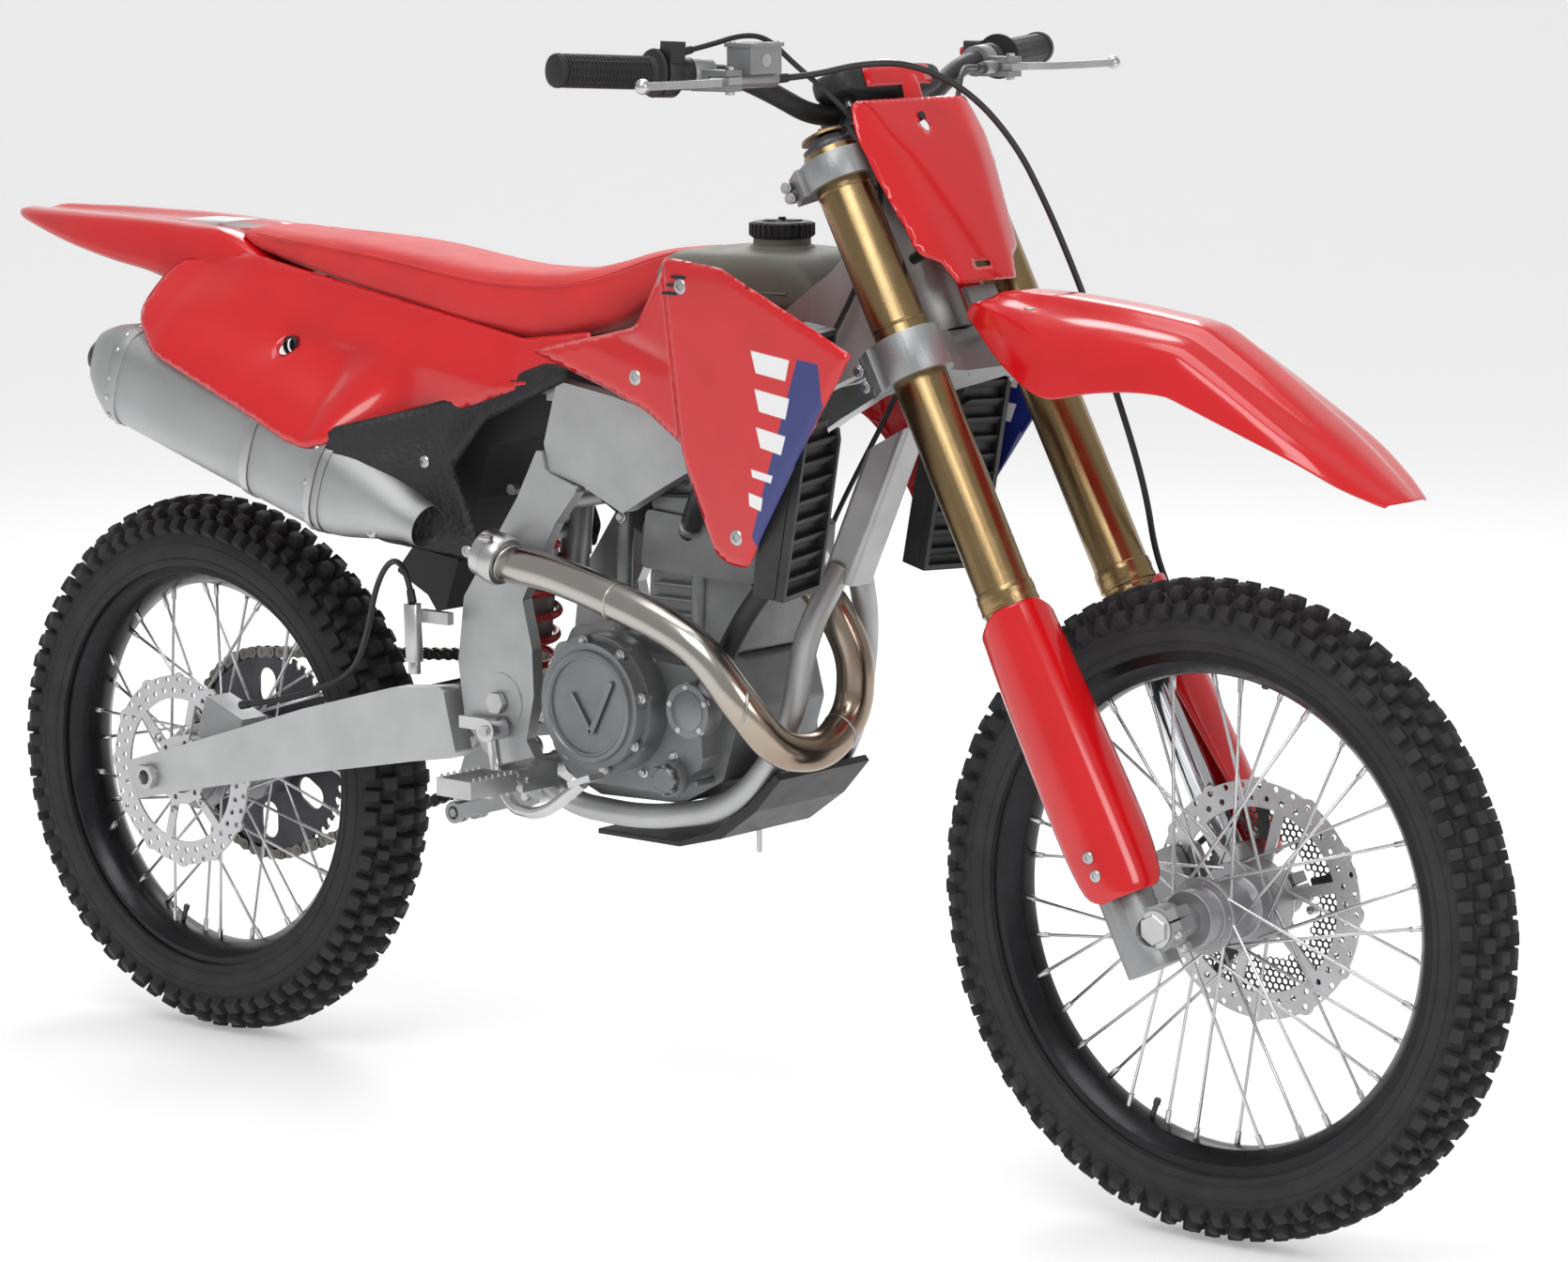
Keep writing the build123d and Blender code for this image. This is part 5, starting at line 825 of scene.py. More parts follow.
def wheel_details(prefix, body, axle, flange_r, hub_y):
    """Valve stem, rim lock nut and the hub's oil seal."""
    bits = Shape()
    valve_angle = math.radians(250)
    out = Vector((math.cos(valve_angle), 0, math.sin(valve_angle)))
    floor_r = flange_r - 13
    bits.rod(axle + out * (floor_r + 1), axle + out * (floor_r - 9), 4.4, 16, 0.8)
    bits.prism(axle + out * (floor_r - 9), axle + out * (floor_r - 13), 6.6)
    bits.rod(axle + out * (floor_r - 13), axle + out * (floor_r - 31), 3.0, 14, 0.6)
    bits.rod(axle + out * (floor_r - 31), axle + out * (floor_r - 39), 3.8, 14, 1.2)
    lock_angle = math.radians(78)
    out = Vector((math.cos(lock_angle), 0, math.sin(lock_angle)))
    bits.rod(axle + out * (floor_r + 1), axle + out * (floor_r - 3), 8.5, 20, 0.6)
    bits.prism(axle + out * (floor_r - 3), axle + out * (floor_r - 10), 7.4)
    bits.rod(axle + out * (floor_r - 10), axle + out * (floor_r - 22), 4.0, 16, 0.8)
    bits.make(prefix + "_valve_and_rim_lock", body, "dark_steel", "rim")
    seal = Shape()
    for side, y in zip((-1, 1), hub_y):
        seal.lathe(axle + Vector((0, y, 0)), (0, side, 0), [(-3, 24), (1.0, 24), (1.8, 22), (1.8, 17),
                                                            (-3, 17)], 40)
    seal.make(prefix + "_hub_seals", body, "rubber", "rubber")


wheel_details("front_wheel", "front_wheel", FRONT_AXLE, 277, (-46, 46))
wheel_details("rear_wheel", "rear_wheel", REAR_AXLE, 252, (-52, 52))


def disc_carrier(prefix, body, axle, y, bolt_r, count, head_r):
    """Button-head bolts that hold a disc or sprocket to its hub."""
    bolts = Shape()
    side = 1 if y > 0 else -1
    for k in range(count):
        theta = math.tau * k / count + 0.3
        spot = axle + Vector((math.cos(theta) * bolt_r, y, math.sin(theta) * bolt_r))
        bolts.lathe(spot, (0, side, 0), [(-2, head_r), (1.2, head_r), (2.8, head_r * 0.7),
                                         (3.0, head_r * 0.45),
                                         (1.2, head_r * 0.4)], 18)
    bolts.make(prefix, body, "steel", "disc")


# ---------------------------------------------------------------- front fender and number plate
def mirrored_row(half_row):
    """A row across from a half row that starts on the centre line."""
    return [Vector((p.x, -p.y, p.z)) for p in reversed(half_row[1:])] + half_row


def fender_section(x, top, half, edge, crown):
    """One row across the front fender: crown rib, shoulder crease, then the turned-down skirt."""
    drop = top - edge
    shape = ((0.0, 0.0), (0.2, 0.0), (0.34, 0.02), (0.42, 0.10), (0.62, 0.15), (0.8, 0.22), (0.9, 0.34),
             (0.965, 0.62), (1.0, 0.97), (1.012, 1.0))
    row = []
    for k, (out, down) in enumerate(shape):
        lift = crown if k < 3 else 0.0
        row.append(Vector((x + 6 * (1 - out), half * out, top - drop * down + lift)))
    return mirrored_row(row)


def front_fender():
    stations = [
        (434, 964, 48, 948, 0), (452, 971, 56, 938, 1), (480, 972, 66, 915, 3), (520, 969, 76, 888, 5),
        (560, 965, 80, 871, 6), (612, 960, 81, 880, 6), (663, 953, 80, 885, 6), (705, 946, 79.5, 884, 6),
        (726, 937, 79.5, 878, 6), (770, 910, 79, 862, 6), (820, 877, 78, 844, 5), (867, 846, 74, 826, 4),
        (905, 819, 63, 806, 2), (932, 799, 48, 793, 1), (946, 789, 37, 786, 0)]
    rows = loft(stations, 3, fender_section)
    shape = Shape().loops(rows, closed_ring=False)
    shape.make("front_fender_shell", "steering", "red", "red_plastic", ["front_fender"], solid=2.6, subsurf=1,
               angle=60)
    bolts = Shape()
    for x, z in ((470, 939), (512, 944)):
        for side in (-1, 1):
            bolts.rod((x, side * 40, z), (x, side * 40, z + 16), 7, 16)
    bolts.make("front_fender_bolts", "steering", "steel", "clamp")


def number_plate():
    """The faceted front plate, leaning back along the fork."""
    corners = [(1262, -104), (1279, -97), (1279, 97), (1262, 104), (1236, 109), (1190, 103), (1102, 84),
               (1090, 62),
               (1063, 50), (1063, -50), (1090, -62), (1102, -84), (1190, -103), (1236, -109)]
    outline = rounded(corners, 7)
    hole = [(1246 + 8 * math.cos(math.tau * k / 20), 8 * math.sin(math.tau * k / 20)) for k in range(20)]
    slot = rounded([(1079, -14), (1079, 14), (1086, 14), (1086, -14)], 3)

    def surface(s, y, edge):
        wide = 46 + (s - 1063) * 0.19
        slope = soft_min([0.0, (wide - abs(y)) * 0.30], 1.6)
        top_fold = soft_min([0.0, (1222 - s) * 0.20], 1.2)
        n = 83 + slope + top_fold * 0.5 - 1.2 * max(0.0, 1 - edge / 3.0)
        return steer(s, n, y)

    face = panel(outline, surface, 6.0, (hole, slot))
    face.make("number_plate_shell", "steering", "red", "red_plastic", ["number_plate"], solid=2.4, angle=50)
    hoop = curve_points([steer(1262, 66, 10), steer(1296, 74, 16), steer(1330, 62, 20), steer(1340, 36, 22),
                         steer(1334, 8, 20), steer(1310, -12, 16), steer(1288, -16, 12)])
    strap = Shape().sweep(hoop, 2.2, 12, wide=6.0, flat_up=(0.4, 0, 0.9))
    strap.make("number_plate_strap", "steering", "red", "red_plastic", angle=60)
    back = Shape()
    for y in (-70, 70):
        back.rod(steer(1110, 40, y * 0.8), steer(1110, 78, y * 0.8), 6, 14)
    back.rod(steer(1256, 44, 0), steer(1256, 82, 0), 5, 14)
    back.make("number_plate_posts", "steering", "black", "black_plastic")


# ---------------------------------------------------------------- shrouds
SHROUD_LEAN = math.tan(math.radians(9.2))
SHROUD = [(-118, 884), (62, 922), (82, 950), (118, 1002), (212, 995), (300, 962), (413, 918), (330, 800),
          (252, 680),
          (222, 681), (200, 690), (160, 768), (139, 801), (80, 832), (20, 850)]


def shroud_out(x, z, edge):
    """How far the shroud's outer face stands out from the centre plane at x, z."""
    base = 128 + (x + 118) * SHROUD_LEAN
    lower = (z - 800) * 0.10 + 6
    front = 7 - (x - 330) * 0.09
    step = 9 * smooth_step(0, 15, (x - 128) + (z - 860) * 0.16)
    top = (1004 - z) * 0.42 - 6
    ridge = soft_min([6, lower + 8, front + 4, top + 8], 2.6)
    flute = -5.0 * math.exp(-(((z - 905) + (x - 40) * 0.22) / 9) ** 2) * smooth_step(150, 60,
                                                                                     x) * smooth_step(-100,
                                                                                                      -20, x)
    rim = -3.0 * max(0.0, 1 - edge / 5.0) ** 2
    return base - 9 + ridge * 0.55 + step + flute + rim


def shrouds():
    outline = rounded(SHROUD, 9)
    for side, name in ((-1, "right"), (1, "left")):
        def surface(x, z, edge):
            return Vector((x, side * shroud_out(x, z, edge), z))

        skin = panel(outline, surface, 6.5)
        made = skin.make("shroud_" + name, "frame", "red_graphic", "red_plastic",
                         ["shrouds"] if side < 0 else [], solid=2.6, angle=60)
        if made.data.polygons[0].normal.y * side < 0:
            made.data.flip_normals()
        bolts = Shape()
        for x, z in ((238, 712), (66, 868), (150, 972)):
            y = side * shroud_out(x, z, 40)
            bolts.lathe((x, y, z), (0, side, 0), [(-6, 8.5), (1.0, 8.5), (2.4, 7.0), (2.6, 4.2),
                                                  (0.6, 3.6)], 20)
        bolts.make("shroud_bolts_" + name, "frame", "steel", "frame")
        slits = Shape()
        for k in range(3):
            x0, z0 = 120 + k * 7, 962 + k * 9
            y = side * (shroud_out(x0 + 22, z0 + 4, 30) - 0.5)
            slits.box((x0 + 26, y, z0 + 2), (46, 2.2, 3.4), chamfer=0.8)
        slits.make("shroud_vent_slits_" + name, "frame", "black", "black_plastic")


# ---------------------------------------------------------------- side panels, tail and seat
PANEL = [(-711, 946), (-700, 957), (-600, 967), (-372, 929), (-165, 892), (-62, 905), (-66, 872),
         (-110, 850), (-300, 790),
         (-414, 758), (-440, 764), (-520, 800), (-668, 858), (-700, 884)]


PANEL_TOP = [(-711, 957), (-600, 967), (-372, 929), (-165, 892), (-62, 905)]
PANEL_LOW = [(-711, 890), (-668, 858), (-520, 800), (-414, 758), (-300, 790), (-110, 850), (-62, 880)]
COVER = [(-492, 818), (-447, 747), (-384, 700), (-322, 655), (-218, 632), (-211, 656), (-250, 742),
         (-204, 798),
         (-82, 850), (-78, 868), (-117, 868), (-300, 806), (-410, 776), (-470, 806)]


def airbox_covers():
    """The pebbled black covers below the side panels; the right one stands out round the exhaust's cone."""
    for side, name in ((-1, "right"), (1, "left")):
        out_more = 72 if side < 0 else 0

        def surface(x, z, edge):
            out = 108 + out_more * smooth_step(-235, -385, x)
            fold = -7 * smooth_step(-20, 20, (z - 800) * 0.9 - (x + 204) * 0.4) - 4 * smooth_step(0, 26,
                                                                                                  668 - z)
            rim = -5.0 * max(0.0, 1 - edge / 6.0) ** 2
            return Vector((x, side * (out + fold + rim), z))

        cover = panel(rounded(COVER, 7), surface, 7.0)
        cover.make("airbox_cover_" + name, "frame", "pebble", "black_plastic", solid=3.0, angle=60)
        screws = Shape()
        for x, z in ((-279, 748), (-330, 668), (-232, 648)):
            spot = surface(x, z, 30)
            screws.lathe(spot, (0, side, 0), [(-4, 7.6), (0.8, 7.6), (2.0, 6.2), (2.2, 3.4), (1.0, 3.0)], 18)
        screws.make("airbox_cover_screws_" + name, "frame", "steel", "frame")


def side_panels():
    outline = rounded(PANEL, 8)
    hole = [(-495 + 9.5 * math.cos(math.tau * k / 24),
             867 + 9.5 * math.sin(math.tau * k / 24)) for k in range(24)]
    for side, name in ((-1, "right"), (1, "left")):
        def surface(x, z, edge):
            top = between(PANEL_TOP, x)[0]
            low = between(PANEL_LOW, x)[0]
            lean = 25 * (1 - smooth_step(0, 62, top - z))
            flare = 0.0
            if side < 0:
                flare = 80 * smooth_step(-290, -405, x) * (1 - smooth_step(0, 105, z - low))
                flare *= smooth_step(-720, -640, x) * 0.35 + 0.65
            base = 109 - lean + flare
            crease = soft_min([4.0, (z - 800 - (x + 414) * 0.2) * 0.07 + 1.0, (952 - z) * 0.12 + 1.0], 1.5)
            fold = 3.5 * smooth_step(-10, 10, (x + 360) - (z - 850) * 0.9)
            dish = -4.0 * math.exp(-((x + 495) ** 2 + (z - 867) ** 2) / 420.0)
            rim = -2.5 * max(0.0, 1 - edge / 5.0) ** 2
            return Vector((x, side * (base - 3 + crease - fold * 0.6 + dish * 0.6 + rim), z))

        skin = panel(outline, surface, 7.0, (hole,))
        skin.make("side_panel_" + name, "frame", "red", "red_plastic", ["side_panels"] if side < 0 else [],
                  solid=2.4, angle=60)
        depth = abs(surface(-495, 867, 40).y)
        ring = Shape().lathe((-495, side * depth, 867), (0, side, 0),
                             [(-7, 11.4), (-1.4, 11.4), (-0.6, 10.4), (-1.4, 9.4), (-7, 9.4)], 30,
                             closed_profile=True)
        ring.rod((-495, side * (depth - 14), 867), (-495, side * (depth - 9), 867), 9, 24)
        ring.make("side_panel_grommet_" + name, "frame", "black", "black_plastic")


def tail_section(x, top, half, edge, channel):
    drop = top - edge
    shape = ((0.0, -channel), (0.3, -channel), (0.46, -channel * 0.5), (0.56, 0.0), (0.7, 0.6), (0.84, 1.5))
    row = [Vector((x, half * out, top + lift if k < 3 else top - lift)) for k,
           (out, lift) in enumerate(shape)]
    for out, down in ((0.94, 0.18), (0.99, 0.5), (1.0, 1.0)):
        row.append(Vector((x, half * out, top - drop * down)))
    return mirrored_row(row)


def rear_fender():
    stations = [(-1050, 1000, 38, 994, 2), (-1036, 1003, 46, 988, 5), (-1000, 1003, 58, 981, 7),
                (-950, 1003, 70, 970, 8), (-900, 1002, 79, 960, 8), (-830, 1001, 85, 947, 8),
                (-770, 999, 87, 938, 7), (-720, 996, 87, 925, 6), (-660, 992, 86, 912, 6),
                (-610, 972, 83, 912, 4),
                (-560, 946, 79, 930, 2)]
    shape = Shape().loops(loft(stations, 4, tail_section), closed_ring=False)
    shape.make("rear_fender_shell", "frame", "red", "red_plastic", ["rear_fender"], solid=2.6, subsurf=1,
               angle=60)
    under = Shape()
    for side in (-1, 1):
        under.sweep([(-620, side * 60, 938), (-760, side * 62, 962), (-900, side * 52, 976),
                     (-1010, side * 36, 984)],
                    4, 12, wide=0.6)
    under.sweep([(-1010, -34, 984), (-1014, 0, 982), (-1010, 34, 984)], 3.5, 10)
    under.make("rear_fender_ribs", "frame", "red", "red_plastic")
    label = Shape()
    rows = []
    for k in range(7):
        x = -690 - k * 13
        rows.append([Vector((x, y, 997.6 - abs(y) * 0.02 + 0.02 * k)) for y in (-34, -10, 10, 34)])
    label.loops(rows, closed_ring=False)
    label.make("rear_fender_label", "frame", "white", "red_plastic", solid=0.5, offset=1.0)


def seat_section(x, top, low, half):
    """A closed ring round the seat: crown, rounded shoulder, straight side, flat base."""
    drop = top - low
    half_ring = [(0.0, 0.0), (0.3, 0.008), (0.55, 0.03), (0.75, 0.085), (0.88, 0.17), (0.965, 0.32),
                 (1.0, 0.52),
                 (1.0, 0.78), (0.985, 1.0), (0.6, 0.97), (0.25, 0.97)]
    right = [Vector((x, -half * out, top - drop * down)) for out, down in half_ring]
    left = [Vector((x, half * out, top - drop * down)) for out, down in reversed(half_ring[1:])]
    return right + left


def seat():
    stations = [
        (56, 1004, 990, 36), (44, 1003.5, 972, 42), (30, 1002, 962, 46), (0, 997, 942, 52),
        (-34, 987, 920, 58),
        (-60, 979, 908, 62), (-100, 970, 896, 66), (-142, 965, 888, 70), (-190, 964, 887, 74),
        (-240, 965, 894, 78),
        (-300, 971, 905, 80), (-372, 980, 920, 81), (-430, 985, 932, 81), (-500, 988, 948, 78),
        (-560, 990, 960, 73),
        (-606, 992, 972, 67), (-634, 993, 983, 61), (-645, 990, 988, 55)]
    body = Shape().loops(loft(stations, 4, seat_section))
    cushion = body.make("seat_cushion", None, "seat", "seat", ["seat"], subsurf=1, angle=80)
    apply_modifiers(cushion)
    cushion.data.shade_smooth()
    inflate(cushion, 4.5, 4.0, 5.0)
    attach(cushion, "frame")
    seams = Shape()
    for side in (-1, 1):
        line = []
        for x, top, low, half in stations[2:-2]:
            drop = top - low
            line.append(Vector((x, side * (half * 0.905 + 1.5), top - drop * 0.2 + 1.0)))
        seams.sweep(curve_points(line), 1.1, 8)
    seams.make("seat_piping", "frame", "seat", "seat")


def inflate(obj, voxel, pressure, cap):
    """Remeshes a soft piece and lets cloth pressure swell it by no more than cap."""
    scene = bpy.context.scene
    remesh = obj.modifiers.new("even", "REMESH")
    remesh.mode = "VOXEL"
    remesh.voxel_size = voxel * MM
    apply_modifiers(obj)
    rest = [v.co.copy() for v in obj.data.vertices]
    cloth = obj.modifiers.new("swell", "CLOTH")
    cloth.settings.use_pressure = True
    cloth.settings.uniform_pressure_force = pressure
    cloth.settings.effector_weights.gravity = 0
    cloth.settings.quality = 5
    for step in range(1, 21):
        scene.frame_set(step)
    evaluated = obj.evaluated_get(bpy.context.evaluated_depsgraph_get())
    swollen = [v.co.copy() for v in evaluated.data.vertices]
    obj.modifiers.clear()
    scene.frame_set(1)
    for v, before, after in zip(obj.data.vertices, rest, swollen):
        move = after - before
        if move.length > cap * MM:
            move = move.normalized() * cap * MM
        v.co = before + move * 0.5
    smooth = obj.modifiers.new("even_out", "SMOOTH")
    smooth.factor = 0.5
    smooth.iterations = 6
    apply_modifiers(obj)
    finer = obj.modifiers.new("finer", "SUBSURF")
    finer.levels = 1
    finer.render_levels = 1
    obj.data.shade_smooth()
    if not obj.data.materials:
        obj.data.materials.append(M["seat"])


# ---------------------------------------------------------------- fork guards, gold tubes' rings, disc guard
def fork_guards():
    """A long moulded shell ahead of and outside each inner tube, with a ring round the seal."""
    for side, name in ((-1, "right"), (1, "left")):
        centre_y = side * LEG_Y

        rows = []
        stations = [(403, 1.12, 1.10, 2, 84), (418, 1.18, 1.13, -18, 100), (470, 1.16, 1.10, -30, 118),
                    (540, 1.10, 1.05, -36, 130), (610, 1.04, 1.0, -42, 142), (664, 0.98, 0.96, -52, 154),
                    (694, 0.94, 0.94, -60, 160), (707, 0.93, 0.93, -34, 124), (722, 0.925, 0.925, 8, 84)]
        for s, ahead_k, out_k, start, end in loft(stations, 4, lambda *v: v):
            row = []
            for k in range(21):
                angle = math.radians(start + (end - start) * k / 20)
                sin_a, cos_a = math.sin(angle), math.cos(angle)
                power = 2.7
                reach = (abs(sin_a) ** power + abs(cos_a) ** power) ** (-1 / power)
                radius = 39.5 * (1 + (reach - 1) * 0.62)
                row.append(steer(s, LEG_N + sin_a * radius * ahead_k,
                                 centre_y + side * cos_a * radius * out_k))
            rows.append(row)
        shell = Shape().loops(rows, closed_ring=False)
        shell.make("fork_guard_" + name, "fork_lower", "red", "red_plastic",
                   ["fork_guards"] if side < 0 else [],
                   solid=2.6, angle=50, offset=0)
        trim = Shape()
        for s in (432, 452):
            outer = steer(s, LEG_N + 8, centre_y + side * 45.5)
            trim.lathe(outer, (0, side, 0), [(-8, 6.5), (1.0, 6.5), (2.4, 5.2), (2.6, 3.0), (1.2, 2.6)], 18)
        trim.make("fork_guard_bolts_" + name, "fork_lower", "steel", "clamp")
        collar = Shape()
        axis = steer(10, 0, 0) - steer(0, 0, 0)
        foot = steer(0, LEG_N, centre_y)
        collar.lathe(foot, axis, [(697, 25.2), (697, 30.5), (701, 31.6), (706, 31.6), (706, 29.7)], 48)
        collar.make("fork_seal_lip_" + name, "steering", "rubber", "rubber")
        rings = Shape()
        for low, high, r in ((712, 717, 31.6), (723, 728, 31.6), (735, 741, 31.4), (1040, 1044, 30.1),
                             (1196, 1200, 30.1)):
            rings.lathe(foot, axis, [(low, 29.4), (low + 0.6, r), (high - 0.6, r), (high, 29.4)], 48)
        rings.make("fork_tube_rings_" + name, "steering", "gold", "fork_gold")
        cap = Shape()
        cap.lathe(foot, axis, [(1259, 26), (1262, 25), (1262.6, 21), (1259.8, 20), (1259.8, 12)], 40)
        cap.prism(foot + axis.normalized() * 1259, foot + axis.normalized() * 1267, 9.5)
        cap.rod(foot + axis.normalized() * 1267, foot + axis.normalized() * 1270, 4, 16)
        cap.make("fork_cap_adjuster_" + name, "steering", "gold", "fork_gold")


def clear_leg_travel(obj):
    """Cuts away what the left outer tube would hit as the fork closes."""
    low = steer(LEG_TRAVEL_LOW, LEG_N, LEG_Y) * MM
    high = steer(LEG_TRAVEL_TOP, LEG_N, LEG_Y) * MM
    way = high - low
    bpy.ops.mesh.primitive_cylinder_add(vertices=64, radius=LEG_TRAVEL_R * MM, depth=way.length,
                                        location=(low + high) / 2,
                                        rotation=way.to_track_quat("Z", "Y").to_euler())
    cutter = bpy.context.object
    cut = obj.modifiers.new("leg travel", "BOOLEAN")
    cut.operation = "DIFFERENCE"
    cut.solver = "EXACT"
    cut.object = cutter
    apply_modifiers(obj)
    bpy.data.objects.remove(cutter)


def disc_guard():
    """The black cover outside the front disc: a rim, a dished ring and a honeycomb screen."""
    guard_y = 80.6
    foot = FRONT_AXLE
    body = Shape()
    body.lathe(foot + Vector((0, guard_y, 0)), (0, 1, 0),
               [(-3.2, 139.5), (-4.6, 137.5), (-3.4, 135.5), (-0.6, 134), (1.0, 122), (1.0, 112), (-0.6, 110),
                (-2.4, 112), (-2.4, 132)], 96, closed_profile=True)
    body.lathe(foot + Vector((0, guard_y, 0)), (0, 1, 0),
               [(-2.2, 68), (0.9, 67), (1.6, 60), (1.2, 53), (-1.2, 52.5), (-1.6, 60)], 72,
               closed_profile=True)
    for angle in (20, 92, 164, 236, 308):
        a = math.radians(angle)
        out = Vector((math.cos(a), 0, math.sin(a)))
        across = Vector((-math.sin(a), 0, math.cos(a)))
        body.box(foot + out * 90 + Vector((0, guard_y - 0.6, 0)), (56, 13, 3.2),
                 (out, across, Vector((0, 1, 0))), 0.7)
    clear_leg_travel(body.make("disc_guard_frame", "fork_lower", "black", "black_plastic"))
    screen = Shape()
    cell = 7.6
    leg_low = steer(LEG_TRAVEL_LOW, LEG_N, LEG_Y)
    leg_way = (steer(LEG_TRAVEL_TOP, LEG_N, LEG_Y) - leg_low).normalized()
    for j in range(-16, 17):
        for i in range(-16, 17):
            x = (i + 0.5 * (j % 2)) * cell
            z = j * cell * 0.866
            r = math.hypot(x, z)
            if not 66 < r < 113:
                continue
            spot = foot + Vector((x, guard_y - 0.6, z))
            reach = (spot - leg_low).dot(leg_way)
            if reach > 0 and (spot - leg_low - leg_way * reach).length < SCREEN_LEG_R:
                continue
            profile = [(-0.7, 4.55), (0.7, 4.55), (0.7, 3.35), (-0.7, 3.35)]
            screen.lathe(foot + Vector((x, guard_y - 0.6, z)), (0, 1, 0), profile, 6, closed_profile=True)
    screen.make("disc_guard_screen", "fork_lower", "black", "black_plastic")


def front_end_details():
    """Axle nut, pinch bolts and caliper pins."""
    bits = Shape()
    bits.prism(FRONT_AXLE + Vector((0, -118, 0)), FRONT_AXLE + Vector((0, -124.5, 0)), 16.5, chamfer=1.2)
    bits.lathe(FRONT_AXLE + Vector((0, -118.2, 0)), (0, -1, 0), [(0, 19.5), (1.6, 19.5), (1.8, 17)], 36)
    for side in (-1, 1):
        for s, n in ((332, 34), (346, 34)):
            spot = steer(s, n + 44, side * 116)
            bits.rod(spot, spot + Vector((6, 0, 3)), 5, 16)
            bits.prism(spot + Vector((6, 0, 3)), spot + Vector((9, 0, 4.6)), 5.6)
    bits.make("front_axle_fasteners", "fork_lower", "steel", "clamp")
    pins = Shape()
    for s, n in ((388, -50), (437, -50), (388, -18), (437, -18)):
        spot = steer(s, n, 98)
        pins.lathe(spot, (0, 1, 0), [(-1, 8.5), (2.0, 8.5), (3.2, 7.2), (3.4, 4.4), (1.6, 4.0)], 20)
    pins.make("front_caliper_pins", "fork_lower", "steel", "caliper")


def clamp_bolts():
    """Pinch bolts of the triple clamps and caps on the handlebar clamps."""
    bits = Shape()
    for side in (-1, 1):
        for low, high, count in ((984, 1030, 2), (1206, 1236, 2)):
            for k in range(count):
                s = low + (high - low) * (0.3 + 0.4 * k)
                spot = steer(s, -6 - 17, side * (LEG_Y + 26))
                out = Vector((0.2, side, 0)).normalized()
                bits.rod(spot - out * 6, spot + out * 3, 6.2, 18, 0.8)
                bits.prism(spot + out * 3, spot + out * 4.5, 4.4)
        for dx, dz in ((17, 8), (-17, -6)):
            for dy in (36, 52):
                spot = Vector((264 + dx, side * dy, 1152 + dz))
                bits.rod(spot, spot + Vector((-4, 0, 11)), 4.6, 16, 0.7)
    bits.make("clamp_pinch_bolts", "steering", "steel", "clamp")


# ---------------------------------------------------------------- bars, grips and controls
def bar_frame(side):
    """The bar's end point and its direction inwards, for one side (-1 right, 1 left)."""
    end = Vector((188, side * 405, 1208))
    inner = Vector((244, side * 196, 1198))
    return end, (inner - end).normalized()


def ribbed_grip(name, side, body, node):
    """A soft grip: ribs round it, waffle rows below, a flange at its inner end and a rounded outer end."""
    end, inward = bar_frame(side)
    start = end - inward * 8.5
    profile = [(0, 4), (0.6, 12.5), (2.5, 16.4), (5, 17.6), (9, 17.8), (11, 16.6)]
    along = 12.0
    while along < 112:
        profile += [(along, 15.9), (along + 0.5, 17.0), (along + 2.4, 17.0), (along + 2.9, 15.9)]
        along += 4.1
    profile += [(116, 16.4), (119, 18.0), (121.5, 24.4), (124, 25.4), (126.2, 24.6), (126.6, 18)]
    grip = Shape().lathe(start, inward, profile, 56)
    grip.make(name, body, "rubber", "rubber", node)
    ridge = Shape()
    u, v = cross_axes(inward)
    for k in range(14):
        angle = math.tau * k / 14
        out = u * math.cos(angle) + v * math.sin(angle)
        ridge.sweep([start + inward * 14 + out * 16.4, start + inward * 113 + out * 16.4], 1.0, 6)
    ridge.make(name + "_ridges", body, "rubber", "rubber")


def bar_controls():
    ribbed_grip("throttle_grip_rubber", -1, "throttle", ["throttle_grip"])
    ribbed_grip("left_grip_rubber", 1, "steering", [])
    bits = Shape()
    pin = Vector((275.21, -240.0, 1194.11))
    pot = pin + Vector((-4, 44, 20))
    for dx, dy in ((-12, -21), (12, 21)):
        spot = pot + Vector((dx, dy, 18))
        bits.lathe(spot, (0, 0, 1), [(-1, 3.4), (0.8, 3.4), (1.8, 2.6), (1.8, 1.6), (0.9, 1.5)], 16)
    for side in (-1, 1):
        spot = Vector((275.21, side * 240.0, 1194.11))
        bits.prism(spot + Vector((0, 0, 11)), spot + Vector((0, 0, 14.5)), 5.2)
        bits.prism(spot - Vector((0, 0, 14.5)), spot - Vector((0, 0, 11)), 5.2)
    bits.make("lever_pivot_nuts", "steering", "steel", "control")
    sight = Shape()
    sight.lathe(pot + Vector((16.4, 0, 0)), (1, 0, 0), [(-1, 7), (0.6, 7), (1.0, 6), (0.4, 5), (0.4, 0.3)],
                24)
    sight.lathe(pot + Vector((0, 0, 18)), (0, 0, 1), [(0, 14), (0.7, 13.6), (0.7, 11.6), (0.2, 11.2)], 30)
    sight.make("reservoir_sight_glass", "steering", "reservoir", "control")
    boot = Shape()
    base = pin + Vector((-12, 22, 0))
    boot.lathe(base, (-0.16, -1, 0), [(8, 9.5), (2, 9.5), (0, 8.2), (-1.5, 9.0), (-3.5, 7.8)], 24)
    boot.make("brake_lever_boot", "steering", "rubber", "control")


